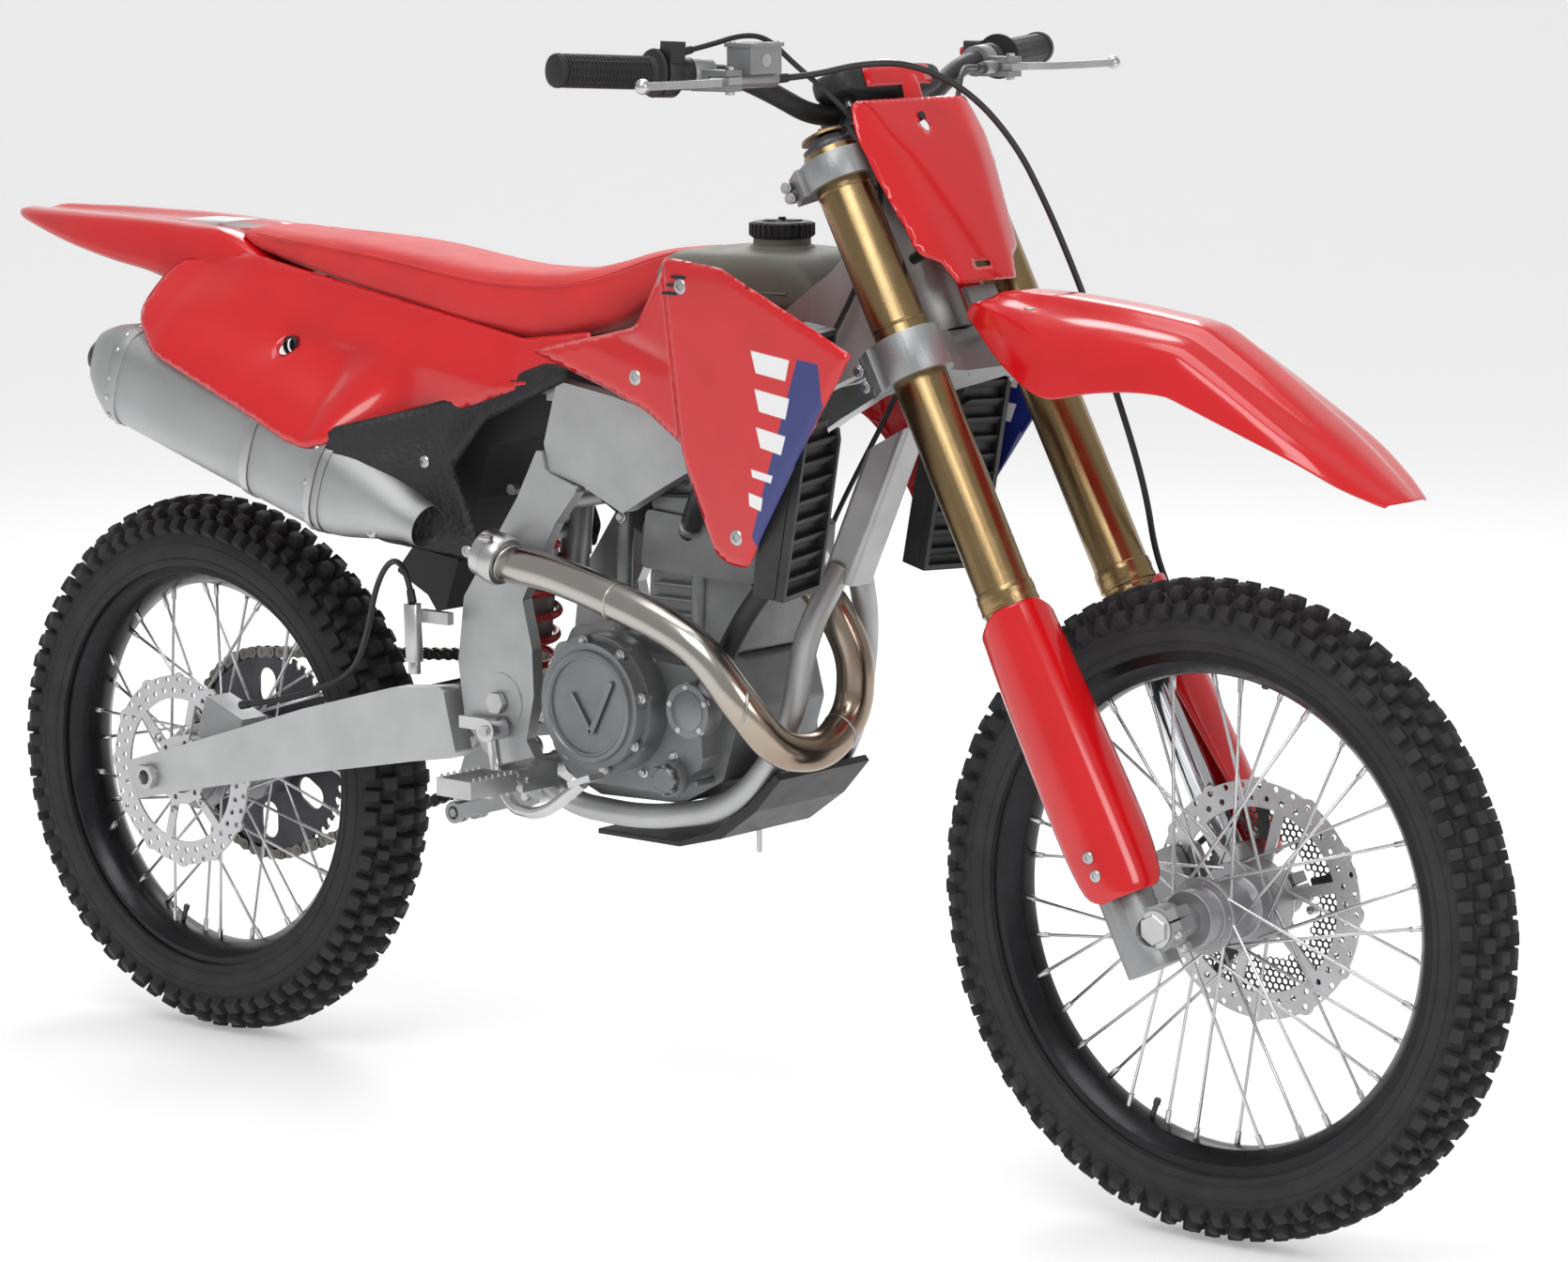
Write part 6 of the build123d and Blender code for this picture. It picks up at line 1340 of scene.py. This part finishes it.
def bar_pad():
    """The foam pad over the bar's middle, black with a red face and no lettering."""
    axes_up = Vector((-math.sin(math.radians(20)), 0, math.cos(math.radians(20))))
    axes_out = Vector((math.cos(math.radians(20)), 0, math.sin(math.radians(20))))
    centre = Vector((278, 0, 1183))
    rings = []
    for k in range(13):
        t = -1 + 2 * k / 12
        y = t * 88
        swell = (1 - abs(t) ** 5) ** 0.35 if abs(t) < 1 else 0.0
        half_x, half_z = 29 * (0.72 + 0.28 * swell), 17 * (0.66 + 0.34 * swell)
        ring = []
        for i in range(28):
            angle = math.tau * i / 28
            c, s = math.cos(angle), math.sin(angle)
            power = 0.55
            ring.append(centre + Vector((0, y, 0)) + axes_out * (math.copysign(abs(c) ** power, c) * half_x)
                        + axes_up * (math.copysign(abs(s) ** power, s) * half_z))
        rings.append(ring)
    pad = Shape().loops(rings)
    made = pad.make("bar_pad_cover", "steering", "pad_black", "pad", ["bar_pad"], subsurf=1, angle=80)
    red = Shape()
    rows = []
    for k in range(9):
        t = -1 + 2 * k / 8
        rows.append([centre + Vector((0, t * 56,
                                      0)) + axes_out * (28.6 + 0.9 * (1 - t * t)) + axes_up * (q * 11)
                     for q in (-1, -0.4, 0.4, 1)])
    red.loops(rows, closed_ring=False)
    red.make("bar_pad_face", "steering", "red", "pad", solid=0.8, offset=1.0)
    top = Shape()
    rows = []
    for k in range(9):
        t = -1 + 2 * k / 8
        rows.append([centre + Vector((0, t * 50, 0)) + axes_up * 17.4 + axes_out * (q * 13) for q in (-1, 0,
                                                                                                      1)])
    top.loops(rows, closed_ring=False)
    top.make("bar_pad_top_patch", "steering", "red", "pad", solid=0.6, offset=1.0)


# ---------------------------------------------------------------- hoses and cables
FRONT_HOSE = [(274, -164.5, 1194), (289, -124, 1196), (320, -84, 1208), (350, -32, 1208), (388, 18, 1178),
              (422, 54, 1122), (448, 72, 1060), (476, 82, 994), (502, 88, 930), (526, 92, 864),
              (542, 104, 802),
              (550, 118, 746), (553.5, 128, 690.5), (573, 131, 645), (596, 132, 589), (622, 134, 530),
              (645, 139, 469), (642, 141, 420), (624, 126, 388), (612.5, 100, 372.5)]
CLUTCH_CABLE = [(269.5, 197, 1194), (278, 162, 1197), (300, 120, 1196), (322, 84, 1170), (330, 64, 1122),
                (326, 58, 1064), (312, 58, 1004), (290, 64, 942), (262, 80, 882), (228, 84, 822),
                (190, 84, 762),
                (152, 86, 702), (122, 88, 644), (106, 90, 592), (100, 90, 556)]
THROTTLE_CABLE = [(237.5, -274, 1223.6), (246, -238, 1230), (254, -196, 1240), (254, -154, 1236),
                  (264, -120, 1206), (296, -98, 1174), (330, -71, 1126), (331, -57, 1068), (312, -56, 1008),
                  (288, -66, 946), (258, -82, 886), (226, -86, 820), (182, -84, 768), (128, -78, 740),
                  (72, -73, 732), (20, -69, 730), (-26, -52, 720), (-58, -28, 709)]
REAR_HOSE = [(-288, -136, 588), (-298, -133, 622), (-336, -118, 634), (-372, -108, 600), (-398, -98, 536),
             (-432, -88, 484), (-500, -86, 456), (-572, -86, 436), (-624, -84, 426)]


def hose(name, route, radius, node, mat="hose"):
    """A hose along its route with a fitting at each end."""
    line = curve_points(route)
    shape = Shape().sweep(line, radius, 14)
    for at, to in ((line[0], line[1]), (line[-1], line[-2])):
        out = (to - at).normalized()
        shape.rod(at - out * 1.0, at + out * 15, radius + 1.8, 16, 0.8, radius + 1.2)
    obj = shape.make(name, None, mat, "hose", node)
    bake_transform(obj)
    return obj


def hoses():
    hose("front_brake_line", FRONT_HOSE, 3.5, ["front_brake_hose"])
    hose("clutch_cable_run", CLUTCH_CABLE, 3.0, ["control_cables"])
    hose("throttle_cable_run", THROTTLE_CABLE, 3.0, [])
    hose("rear_brake_line", REAR_HOSE, 3.5, ["rear_brake_hose"])
    clips = Shape()
    point = Vector((622, 134, 530))
    out = Vector((9, 1, -21)).normalized()
    clips.rod(point - out * 5, point + out * 5, 6.0, 16)
    clips.make("brake_hose_clips", "fork_lower", "black", "hose")


# ---------------------------------------------------------------- chain
def chain():
    """Side plates, rollers and pins on the line round the two sprockets."""
    drive, rear = Vector((-96, 484)), Vector((-746.35, 331))
    small_r, big_r = 33.2, 126.4
    gap = rear - drive
    length = gap.length
    along = gap / length
    square = Vector((-along.y, along.x))
    if square.y < 0:
        square = -square
    lean = math.asin((big_r - small_r) / length)
    points = []

    def tangent(sign):
        return square * math.cos(lean) * sign - along * math.sin(lean)

    top_dir = tangent(1)
    low_dir = tangent(-1)

    def arc(centre, radius, start, end, turn):
        a0 = math.atan2(start.y, start.x)
        a1 = math.atan2(end.y, end.x)
        while turn * (a1 - a0) < 0:
            a1 += math.tau * turn
        steps = 60
        return [centre + Vector((math.cos(a0 + (a1 - a0) * k / steps),
                                 math.sin(a0 + (a1 - a0) * k / steps))) * radius
                for k in range(steps + 1)]

    points += arc(drive, small_r, low_dir, top_dir, -1 if side_turn(low_dir, top_dir, -along) else 1)
    points += arc(rear, big_r, top_dir, low_dir, -1 if side_turn(top_dir, low_dir, along) else 1)
    points.append(points[0])
    distance = [0.0]
    for a, b in zip(points, points[1:]):
        distance.append(distance[-1] + (b - a).length)
    links = 2 * round(distance[-1] / 15.875 / 2)
    pitch = distance[-1] / links

    def at(d):
        d %= distance[-1]
        low, high = 0, len(distance) - 1
        while high - low > 1:
            mid = (low + high) // 2
            if distance[mid] <= d:
                low = mid
            else:
                high = mid
        t = (d - distance[low]) / max(distance[high] - distance[low], 1e-6)
        return points[low].lerp(points[high], t)

    shape = Shape()
    for k in range(links):
        a, b = at(k * pitch), at((k + 1) * pitch)
        mid = (a + b) / 2
        line = (b - a).normalized()
        up = Vector((-line.y, line.x))
        outer = k % 2 == 0
        half = (b - a).length / 2
        outline = []
        for end, start_angle in ((1, -90), (-1, 90)):
            for i in range(7):
                angle = math.radians(start_angle + 180 * i / 6)
                outline.append((end * half + math.cos(angle) * 7.2, math.sin(angle) * 7.2))
            outline.append((0.0, 5.2 if end > 0 else -5.2))
        for side in (-1, 1):
            y = 80 + side * (6.4 if outer else 4.3)
            rings = []
            for yy in (y - 0.85, y + 0.85):
                rings.append([Vector((mid.x + line.x * p + up.x * q, yy, mid.y + line.y * p + up.y * q))
                              for p, q in outline])
            shape.loops(rings)
        spot = Vector((a.x, 80, a.y))
        shape.rod(spot - Vector((0, 3.4, 0)), spot + Vector((0, 3.4, 0)), 5.08, 12, 0.3)
        shape.rod(spot - Vector((0, 8.2, 0)), spot + Vector((0, 8.2, 0)), 2.6, 10, 0.4)
    obj = shape.make("chain_links", None, "chain", "chain", ["chain"], angle=30)
    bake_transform(obj)
    guide = Shape()
    for y in (66, 94):
        outline = rounded([(372, -30), (442, -30), (436, -84), (404, -100), (380, -90)], 8)
        rings = []
        for yy in (y - 2, y + 2):
            rings.append([swing(u, v, yy) for u, v in outline])
        guide.loops(rings)
    guide.box(swing(408, -94, 80), (52, 28, 8), chamfer=2)
    guide.make("chain_guide_block", "swingarm", "black", "black_plastic", bevel=0.8)
    slider = Shape()
    rows = []
    for k in range(12):
        u = -6 + k * 26
        v = 33 + (2 if k > 1 else -3 * (2 - k))
        rows.append([swing(u + 60, v + 5, y) for y in (64, 72, 88, 96)])
    slider.loops(rows, closed_ring=False)
    slider.make("chain_slider", "swingarm", "black", "black_plastic", solid=4, bevel=0.8)


def side_turn(start, end, through):
    """True if going clockwise from start to end passes the direction through."""
    a0 = math.atan2(start.y, start.x)
    a1 = math.atan2(end.y, end.x)
    at = math.atan2(through.y, through.x)
    return (a0 - at) % math.tau < (a0 - a1) % math.tau


# ---------------------------------------------------------------- engine details
def bolt_head(shape, spot, out, r=6.0, h=4.0):
    """A flanged hexagon bolt."""
    out = Vector(out).normalized()
    spot = Vector(spot)
    shape.lathe(spot, out, [(-1, r * 1.35), (0.8, r * 1.35), (1.6, r * 1.0)], 18)
    shape.prism(spot + out * 0.8, spot + out * (h + 1.0), r, chamfer=0.8)


def engine_details():
    bolts = Shape()
    raised = Shape()
    hub = Vector((-10, -151, 500))
    for k in range(8):
        angle = math.tau * k / 8 + 0.2
        bolt_head(bolts, hub + Vector((math.cos(angle) * 71, 12, math.sin(angle) * 71)), (0, -1, 0), 4.6, 4)
    for k in range(11):
        angle = math.tau * k / 11 + 0.5
        bolt_head(bolts, (-2 + math.cos(angle) * 98, -104, 488 + math.sin(angle) * 68), (0, -1, 0), 4.4, 4)
    raised.lathe(hub, (0, -1, 0), [(-4, 63), (1.2, 62), (2.0, 60), (2.0, 57), (0.6, 55.5), (-4, 55)], 72)
    raised.lathe(hub, (0, -1, 0), [(-40, 74), (-34, 76), (-30, 76), (-28, 73.5)], 72)
    for a, b in (((-34, 512), (-4, 470)), ((-4, 470), (26, 530))):
        mid = Vector(((a[0] + b[0]) / 2, -151.6, (a[1] + b[1]) / 2))
        line = Vector((b[0] - a[0], 0, b[1] - a[1]))
        across = Vector((0, 1, 0)).cross(line.normalized())
        raised.box(mid, (line.length, 7, 3.2), (line.normalized(), across, Vector((0, -1, 0))), 1.0)
    raised.make("clutch_cover_ribs", "frame", "cover", "engine")
    cast = Shape()
    for z in (566, 582, 598, 614, 630, 646):
        cast.box((38 + (z - 560) * 0.1, -63.5, z), (64, 5, 4), chamfer=1.4)
    for x in (-38, 72):
        cast.rod((x, -58, 556), (x + 6, -58, 706), 9, 20, 1.5)
    for k in range(5):
        cast.box((104, -76, 420 + k * 18), (7, 54, 5), chamfer=1.4)
    cast.make("cylinder_ribs", "frame", "engine", "engine")
    for x, z in ((-30, 700), (72, 704), (-36, 560), (84, 562)):
        bolt_head(bolts, (x, -68.5, z), (0, -1, 0), 5.0, 4)
    bolts.make("engine_cover_bolts", "frame", "steel", "engine")
    head = Shape()
    for x in (-18, 20, 58):
        for side in (-1, 1):
            bolt_head(head, (x, side * 50, 742), (0, 0, 1), 5.4, 5)
    head.make("head_cover_bolts", "frame", "steel", "engine")
    plug = Shape()
    plug.rod((16, -28, 740), (16, -28, 762), 11, 24, 2)
    plug.sweep(curve_points([(16, -28, 758), (20, -34, 790), (70, -44, 806), (120, -30, 830)]), 3.4, 12)
    plug.make("spark_plug_cap", "frame", "rubber", "rubber")
    pump = Shape()
    pump_at = Vector((116, -128, 505))
    for k in range(5):
        angle = math.tau * k / 5 + 0.4
        bolt_head(pump, pump_at + Vector((math.cos(angle) * 26, 3, math.sin(angle) * 26)), (0, -1, 0), 3.8,
                  3.4)
    pump.make("water_pump_bolts", "frame", "steel", "engine")
    cover = Shape()
    cover.lathe(pump_at, (0, -1, 0), [(-6, 23), (1, 22), (4, 15), (5, 6), (5, 0.4)], 40)
    cover.rod((78, -118, 424), (78, -126, 424), 15, 30, 2)
    for k in range(8):
        angle = math.tau * k / 8
        cover.box((78 + math.cos(angle) * 15.5, -122, 424 + math.sin(angle) * 15.5), (5, 7, 5), chamfer=1)
    cover.make("water_pump_cover", "frame", "cover", "engine")
    hose_line = Shape()
    for route, r in (([(124, -112, 524), (150, -112, 556), (186, -116, 612), (226, -124, 652),
                       (246, -126, 676)], 11.5),
                     ([(64, -62, 690), (96, -92, 722), (150, -106, 792), (206, -112, 866),
                       (236, -118, 916)], 11.5)):
        hose_line.sweep(curve_points(route), r, 20)
    hose_line.make("coolant_hoses", "frame", "hose", "hose")
    bands = Shape()
    for spot, out in (((136, -111.6, 538), (0.65, -0.02, 0.76)), ((238, -125, 664), (0.55, -0.05, 0.83)),
                      ((74, -72, 698), (0.6, -0.55, 0.58)), ((230, -116.6, 905), (0.5, -0.1, 0.86))):
        out = Vector(out).normalized()
        bands.lathe(Vector(spot) - out * 3.5, out, [(0, 11.6), (0, 12.7), (7, 12.7), (7, 11.6)], 28)
    bands.make("coolant_hose_clamps", "frame", "steel", "hose")
    left = Shape()
    for k in range(7):
        angle = math.tau * k / 7
        bolt_head(left, (40 + math.cos(angle) * 54, 118, 486 + math.sin(angle) * 54), (0, 1, 0), 4.2, 3.6)
    left.make("ignition_cover_bolts", "frame", "steel", "engine")
    drain = Shape().rod((116, -6, 330), (116, -6, 372), 3.2, 14)
    drain.make("crankcase_breather_pipe", "frame", "steel", "engine")


# ---------------------------------------------------------------- exhaust details
CAN_FRONT = Vector((-392, -136, 716))
CAN_TAIL = Vector((-772, -136, 832))


def can_point(t):
    return CAN_FRONT.lerp(CAN_TAIL, t)


def can_ring(t, wide, tall, power=0.62, shift=0.0):
    """A rounded rectangle across the muffler's axis, power 1 an ellipse and 0 a box."""
    axis = (CAN_TAIL - CAN_FRONT).normalized()
    across = Vector((0, 1, 0))
    up = axis.cross(across)
    if up.z < 0:
        up = -up
    ring = []
    for k in range(40):
        angle = math.tau * k / 40
        c, s = math.cos(angle), math.sin(angle)
        ring.append(can_point(t) + across * (math.copysign(abs(c) ** power, c) * wide / 2)
                    + up * (math.copysign(abs(s) ** power, s) * tall / 2 + shift))
    return ring


def muffler():
    body = Shape()
    stations = [(-0.34, 50, 50, 1.0, 0), (-0.27, 54, 56, 0.98, 0), (-0.16, 70, 86, 0.9, 0),
                (-0.06, 86, 112, 0.82, 0),
                (0.0, 91, 120, 0.78, 0), (0.03, 92, 122, 0.76, 0), (0.5, 92, 122, 0.74, 0),
                (0.88, 91, 121, 0.74, 0)]
    body.loops(loft(stations, 4, can_ring), cap_start=False)
    body.make("muffler_shell", "frame", "muffler", "muffler", ["muffler"], angle=50)
    end = Shape()
    end.loops([can_ring(0.87, 94, 124, 0.74), can_ring(0.885, 95, 125, 0.74), can_ring(0.915, 95, 125, 0.74),
               can_ring(0.925, 92, 122, 0.72), can_ring(0.985, 76, 98, 0.66, 2),
               can_ring(1.02, 63, 78, 0.62, 3),
               can_ring(1.034, 58, 70, 0.62, 3), can_ring(1.034, 48, 52, 0.9, 3),
               can_ring(1.0, 42, 42, 1.0, 2)])
    end.make("muffler_end_cap", "frame", "muffler", "muffler", angle=24, bevel=0.8)
    axis = (CAN_TAIL - CAN_FRONT).normalized()
    tip = Shape()
    tip.lathe(can_point(1.0), axis, [(0, 20.5), (26, 20.5), (28, 21.5), (29.5, 20.5), (29, 18.6),
                                     (0, 18.4)], 40)
    tip.make("muffler_outlet", "frame", "dark_steel", "muffler")
    rivets = Shape()
    for t, count in ((0.9, 14), (0.045, 10)):
        ring = can_ring(t, 95.4, 125.4, 0.74)
        centre = can_point(t)
        for k in range(count):
            spot = ring[int(k * 40 / count)]
            out = (spot - centre).normalized()
            rivets.lathe(spot - out * 0.8, out, [(0, 3.4), (1.2, 3.2), (2.0, 2.0), (2.2, 0.5)], 12)
    rivets.make("muffler_rivets", "frame", "steel", "muffler")
    bands = Shape()
    for t, w in ((0.03, 0.012), (0.30, 0.016)):
        bands.loops([can_ring(t - w, 93.5, 123.5, 0.75), can_ring(t - w, 96, 126, 0.75),
                     can_ring(t + w, 96, 126, 0.75),
                     can_ring(t + w, 93.5, 123.5, 0.75)], closed_path=True)
    bands.make("muffler_bands", "frame", "steel", "muffler")


def header_details():
    """Flanges, clamp and weld beads along the header."""
    weld = Shape()
    for spot, out, r in (((-140, -133, 645), (-0.9, 0.1, 0.32), 21.6),
                         ((205, -140, 520), (-0.3, -0.35, 0.1), 21.4),
                         ((243, -20, 482), (0, -0.9, -0.4), 21.5), ((38, -156, 622), (-1, 0, 0.25), 21.5)):
        out = Vector(out).normalized()
        weld.lathe(Vector(spot) - out * 1.6, out, [(0, r - 0.6), (0.6, r + 0.6), (1.6, r + 1.0),
                                                   (2.6, r + 0.6),
                                                  (3.2, r - 0.6)], 36)
    weld.make("header_weld_beads", "frame", "weld", "exhaust")
    joint = Shape()
    out = Vector((-0.957, 0.0, 0.29))
    spot = Vector((-150, -134, 648))
    joint.lathe(spot, out, [(-6, 22), (-6, 27), (-2, 29.5), (10, 29.5), (12, 28), (26, 28), (28, 26),
                            (28, 22)], 40)
    joint.rod(spot + out * 4 + Vector((-8, -22, 26)), spot + out * 4 + Vector((8, -22, 26)), 4, 16)
    joint.box(spot + out * 4 + Vector((0, -22, 25)), (10, 7, 9), chamfer=1.2)
    joint.make("header_clamp", "frame", "steel", "exhaust")
    flange = Shape()
    flange.lathe((178, 0, 648.4), (0.76, 0, -0.65), [(-8, 22), (-8, 33), (-3, 34), (1, 33), (2, 24),
                                                     (10, 23.4), (14, 21.8)],
                 40)
    for side in (-1, 1):
        flange.rod((168, side * 38, 656), (186, side * 38, 641), 5.5, 18)
    flange.make("header_flange", "frame", "steel", "exhaust")


def shock_coil():
    """The shock's spring, a fixed coil that rides with the shock rod."""
    top = Vector((-205, 0, 716))
    low = Vector((-240, 0, 406))
    up = (top - low).normalized()
    across = Vector((up.z, 0, -up.x))
    wire = 9.0
    turns = 7
    seat = low + up * 45
    length = (top - low).length - 45 - 59
    line = []
    for k in range(turns * 28 + 1):
        part = k / (turns * 28)
        angle = math.tau * turns * part
        height = wire / 2 + 0.5 + (length - wire - 1) * part
        line.append(seat + up * height + across * (math.cos(angle) * 26) + Vector((0, math.sin(angle) * 26,
                                                                                   0)))
    coil = Shape().sweep(line, wire / 2, 12).make("shock_coil", "shock_rod", "spring", "spring",
                                                  ["shock_spring"])
    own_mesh(coil)


# ---------------------------------------------------------------- tank top and cap
def tank_ring(x, top, half, low):
    """A closed ring across the tank: flat crown, round shoulders, straight sides."""
    drop = top - low
    side = [(0.0, 0.0), (0.42, 0.002), (0.72, 0.02), (0.88, 0.08), (0.965, 0.2), (1.0, 0.4), (1.0, 0.8),
            (0.96, 1.0),
            (0.5, 1.0)]
    right = [Vector((x, -half * out, top - drop * down)) for out, down in side]
    left = [Vector((x, half * out, top - drop * down)) for out, down in reversed(side[1:])]
    return right + left


def tank():
    stations = [(28, 984, 74, 945), (44, 997, 86, 944), (66, 1002.5, 93, 942), (110, 1004, 93, 941),
                (150, 1004, 89, 940), (186, 1003, 79, 940), (210, 998, 70, 942), (228, 985, 64, 946),
                (237, 972, 59, 952)]
    shell = Shape().loops(loft(stations, 4, tank_ring))
    belly = [(-30, 905, 62, 862), (10, 938, 68, 848), (60, 942, 70, 826), (120, 942, 66, 862),
             (170, 942, 56, 906),
             (205, 941, 34, 934)]
    shell.loops(loft(belly, 3, tank_ring))
    shell.make("tank_shell", "frame", "tank", "tank", ["fuel_tank"], subsurf=1, angle=70)
    neck = Shape()
    neck.lathe((146, 0, 0), (0, 0, 1), [(1000, 35), (1003.5, 36.5), (1006, 34), (1007, 31.5), (1013.6, 31.5),
                                        (1014.2, 30.5), (1014.2, 25)], 56)
    neck.make("tank_filler_neck", "frame", "tank", "tank")
    seam = Shape()
    for side in (-1, 1):
        seam.sweep(curve_points([(36, side * 82, 962), (66, side * 93.6, 962), (150, side * 89.6, 961),
                                 (210, side * 70.6, 960)]), 1.6, 8)
    seam.make("tank_seam", "frame", "tank", "tank")
    cap = Shape()
    profile = [(1014.8, 27), (1014.8, 33.6), (1016.4, 34.4), (1029.6, 34.0), (1031.6, 32.0), (1032.2, 27.5),
               (1031.0, 25.5), (1031.0, 11), (1032.6, 9.5), (1032.8, 0.5)]
    cap.lathe((146, 0, 0), (0, 0, 1), profile, 64)
    for k in range(30):
        angle = math.tau * k / 30
        spot = Vector((146 + math.cos(angle) * 34.4, math.sin(angle) * 34.4, 0))
        cap.rod(spot + Vector((0, 0, 1016.4)), spot + Vector((0, 0, 1030.2)), 1.9, 8, 0.8)
    for k in range(3):
        angle = math.pi * k / 3
        out = Vector((math.cos(angle), math.sin(angle), 0))
        across = Vector((-math.sin(angle), math.cos(angle), 0))
        cap.box((146, 0, 1032.0), (46, 3.6, 2.0), (out, across, Vector((0, 0, 1))), 0.6)
    cap.make("fuel_cap_ribbed", "fuel_cap", "black", "black_plastic", ["fuel_cap"])
    vent = Shape()
    vent.rod((146, 0, 1032), (146, 0, 1036.5), 4.2, 16)
    vent.make("fuel_cap_vent", "fuel_cap", "black", "black_plastic")


disc_carrier("front_disc_bolts", "front_wheel", FRONT_AXLE, 68.6, 40, 6, 5.6)
disc_carrier("rear_disc_bolts", "rear_wheel", REAR_AXLE, -71.6, 52, 6, 5.6)
disc_carrier("sprocket_bolts", "rear_wheel", REAR_AXLE, 82.6, 60, 6, 6.2)
tank()
front_fender()
number_plate()
shrouds()
side_panels()
airbox_covers()
rear_fender()
seat()
fork_guards()
disc_guard()
front_end_details()
clamp_bolts()
bar_controls()
bar_pad()
hoses()
shock_coil()
chain()
engine_details()
muffler()
header_details()


# ---------------------------------------------------------------- floor, light and camera
def stage_and_light():
    """A pale floor that curves up behind, and three large soft lights."""
    rows = []
    for k in range(17):
        angle = math.radians(90 * k / 16)
        if k == 0:
            rows.append((-9.0, 0.0))
        rows.append((7.0 + 4.0 * math.sin(angle), 4.0 * (1 - math.cos(angle))))
    rows.append((11.0, 12.0))
    far = Vector((-0.64, 0.768, 0))
    side = Vector((0.768, 0.64, 0))
    verts, faces = [], []
    for along, up in rows:
        for across in (-16, 16):
            verts.append(far * along + side * across + Vector((0, 0, up - 0.0005)))
    for k in range(len(rows) - 1):
        faces.append((2 * k, 2 * k + 1, 2 * k + 3, 2 * k + 2))
    mesh = bpy.data.meshes.new("floor")
    mesh.from_pydata(verts, [], faces)
    mesh.shade_smooth()
    floor = bpy.data.objects.new("floor", mesh)
    bpy.context.scene.collection.objects.link(floor)
    mesh.materials.append(material("floor_pale", (0.86, 0.86, 0.86), 0.6, mottle=0.01, mottle_scale=0.5,
                                   grain=0.02,
                                   grain_scale=60, smudge=0.05, smudge_scale=2))
    shade = mesh.materials[0].node_tree.nodes["Principled BSDF"]
    shade.inputs["Emission Color"].default_value = (1, 1, 1, 1)
    shade.inputs["Emission Strength"].default_value = 0.3
    world = bpy.data.worlds.new("studio")
    bpy.context.scene.world = world
    world.use_nodes = True
    world.node_tree.nodes["Background"].inputs["Color"].default_value = (1, 1, 1, 1)
    world.node_tree.nodes["Background"].inputs["Strength"].default_value = 0.45
    lamps = [("key", (1.2, -3.4, 4.6), 2.6, 95), ("front", (4.6, -1.2, 2.6), 1.6, 40),
             ("back", (-2.5, 3.2, 3.8), 2.4, 60),
             ("top", (0.0, 0.0, 5.2), 3.0, 60)]
    for name, spot, size, power in lamps:
        data = bpy.data.lights.new(name, "AREA")
        data.energy = power
        data.size = size
        lamp = bpy.data.objects.new(name, data)
        bpy.context.scene.collection.objects.link(lamp)
        lamp.location = spot
        lamp.rotation_euler = (Vector((0, 0, 0.5)) - Vector(spot)).to_track_quat("-Z", "Y").to_euler()


def make_camera():
    """The camera of the main view: about 40 degrees round from the bike's right side, slightly above."""
    azimuth, elevation, roll = math.radians(39.80), math.radians(8.26), math.radians(-0.18)
    back = Vector((math.sin(azimuth) * math.cos(elevation), -math.cos(azimuth) * math.cos(elevation),
                   math.sin(elevation)))
    x = Vector((0, 0, 1)).cross(back).normalized()
    y = back.cross(x)
    across = x * math.cos(roll) + y * math.sin(roll)
    up = y * math.cos(roll) - x * math.sin(roll)
    data = bpy.data.cameras.new("camera")
    data.sensor_width = 36
    data.lens = 109.24
    data.shift_x = CAMERA_SHIFT[0]
    data.shift_y = CAMERA_SHIFT[1]
    data.clip_end = 100
    camera = bpy.data.objects.new("camera", data)
    bpy.context.scene.collection.objects.link(camera)
    turn = Matrix((across, up, back)).transposed().to_4x4()
    camera.matrix_world = Matrix.Translation((3.4415, -3.9892, 1.3915)) @ turn
    bpy.context.scene.camera = camera


CAMERA_SHIFT = (0.0132, -0.0342)
stage_and_light()
make_camera()
bpy.context.scene.view_settings.view_transform = "Standard"
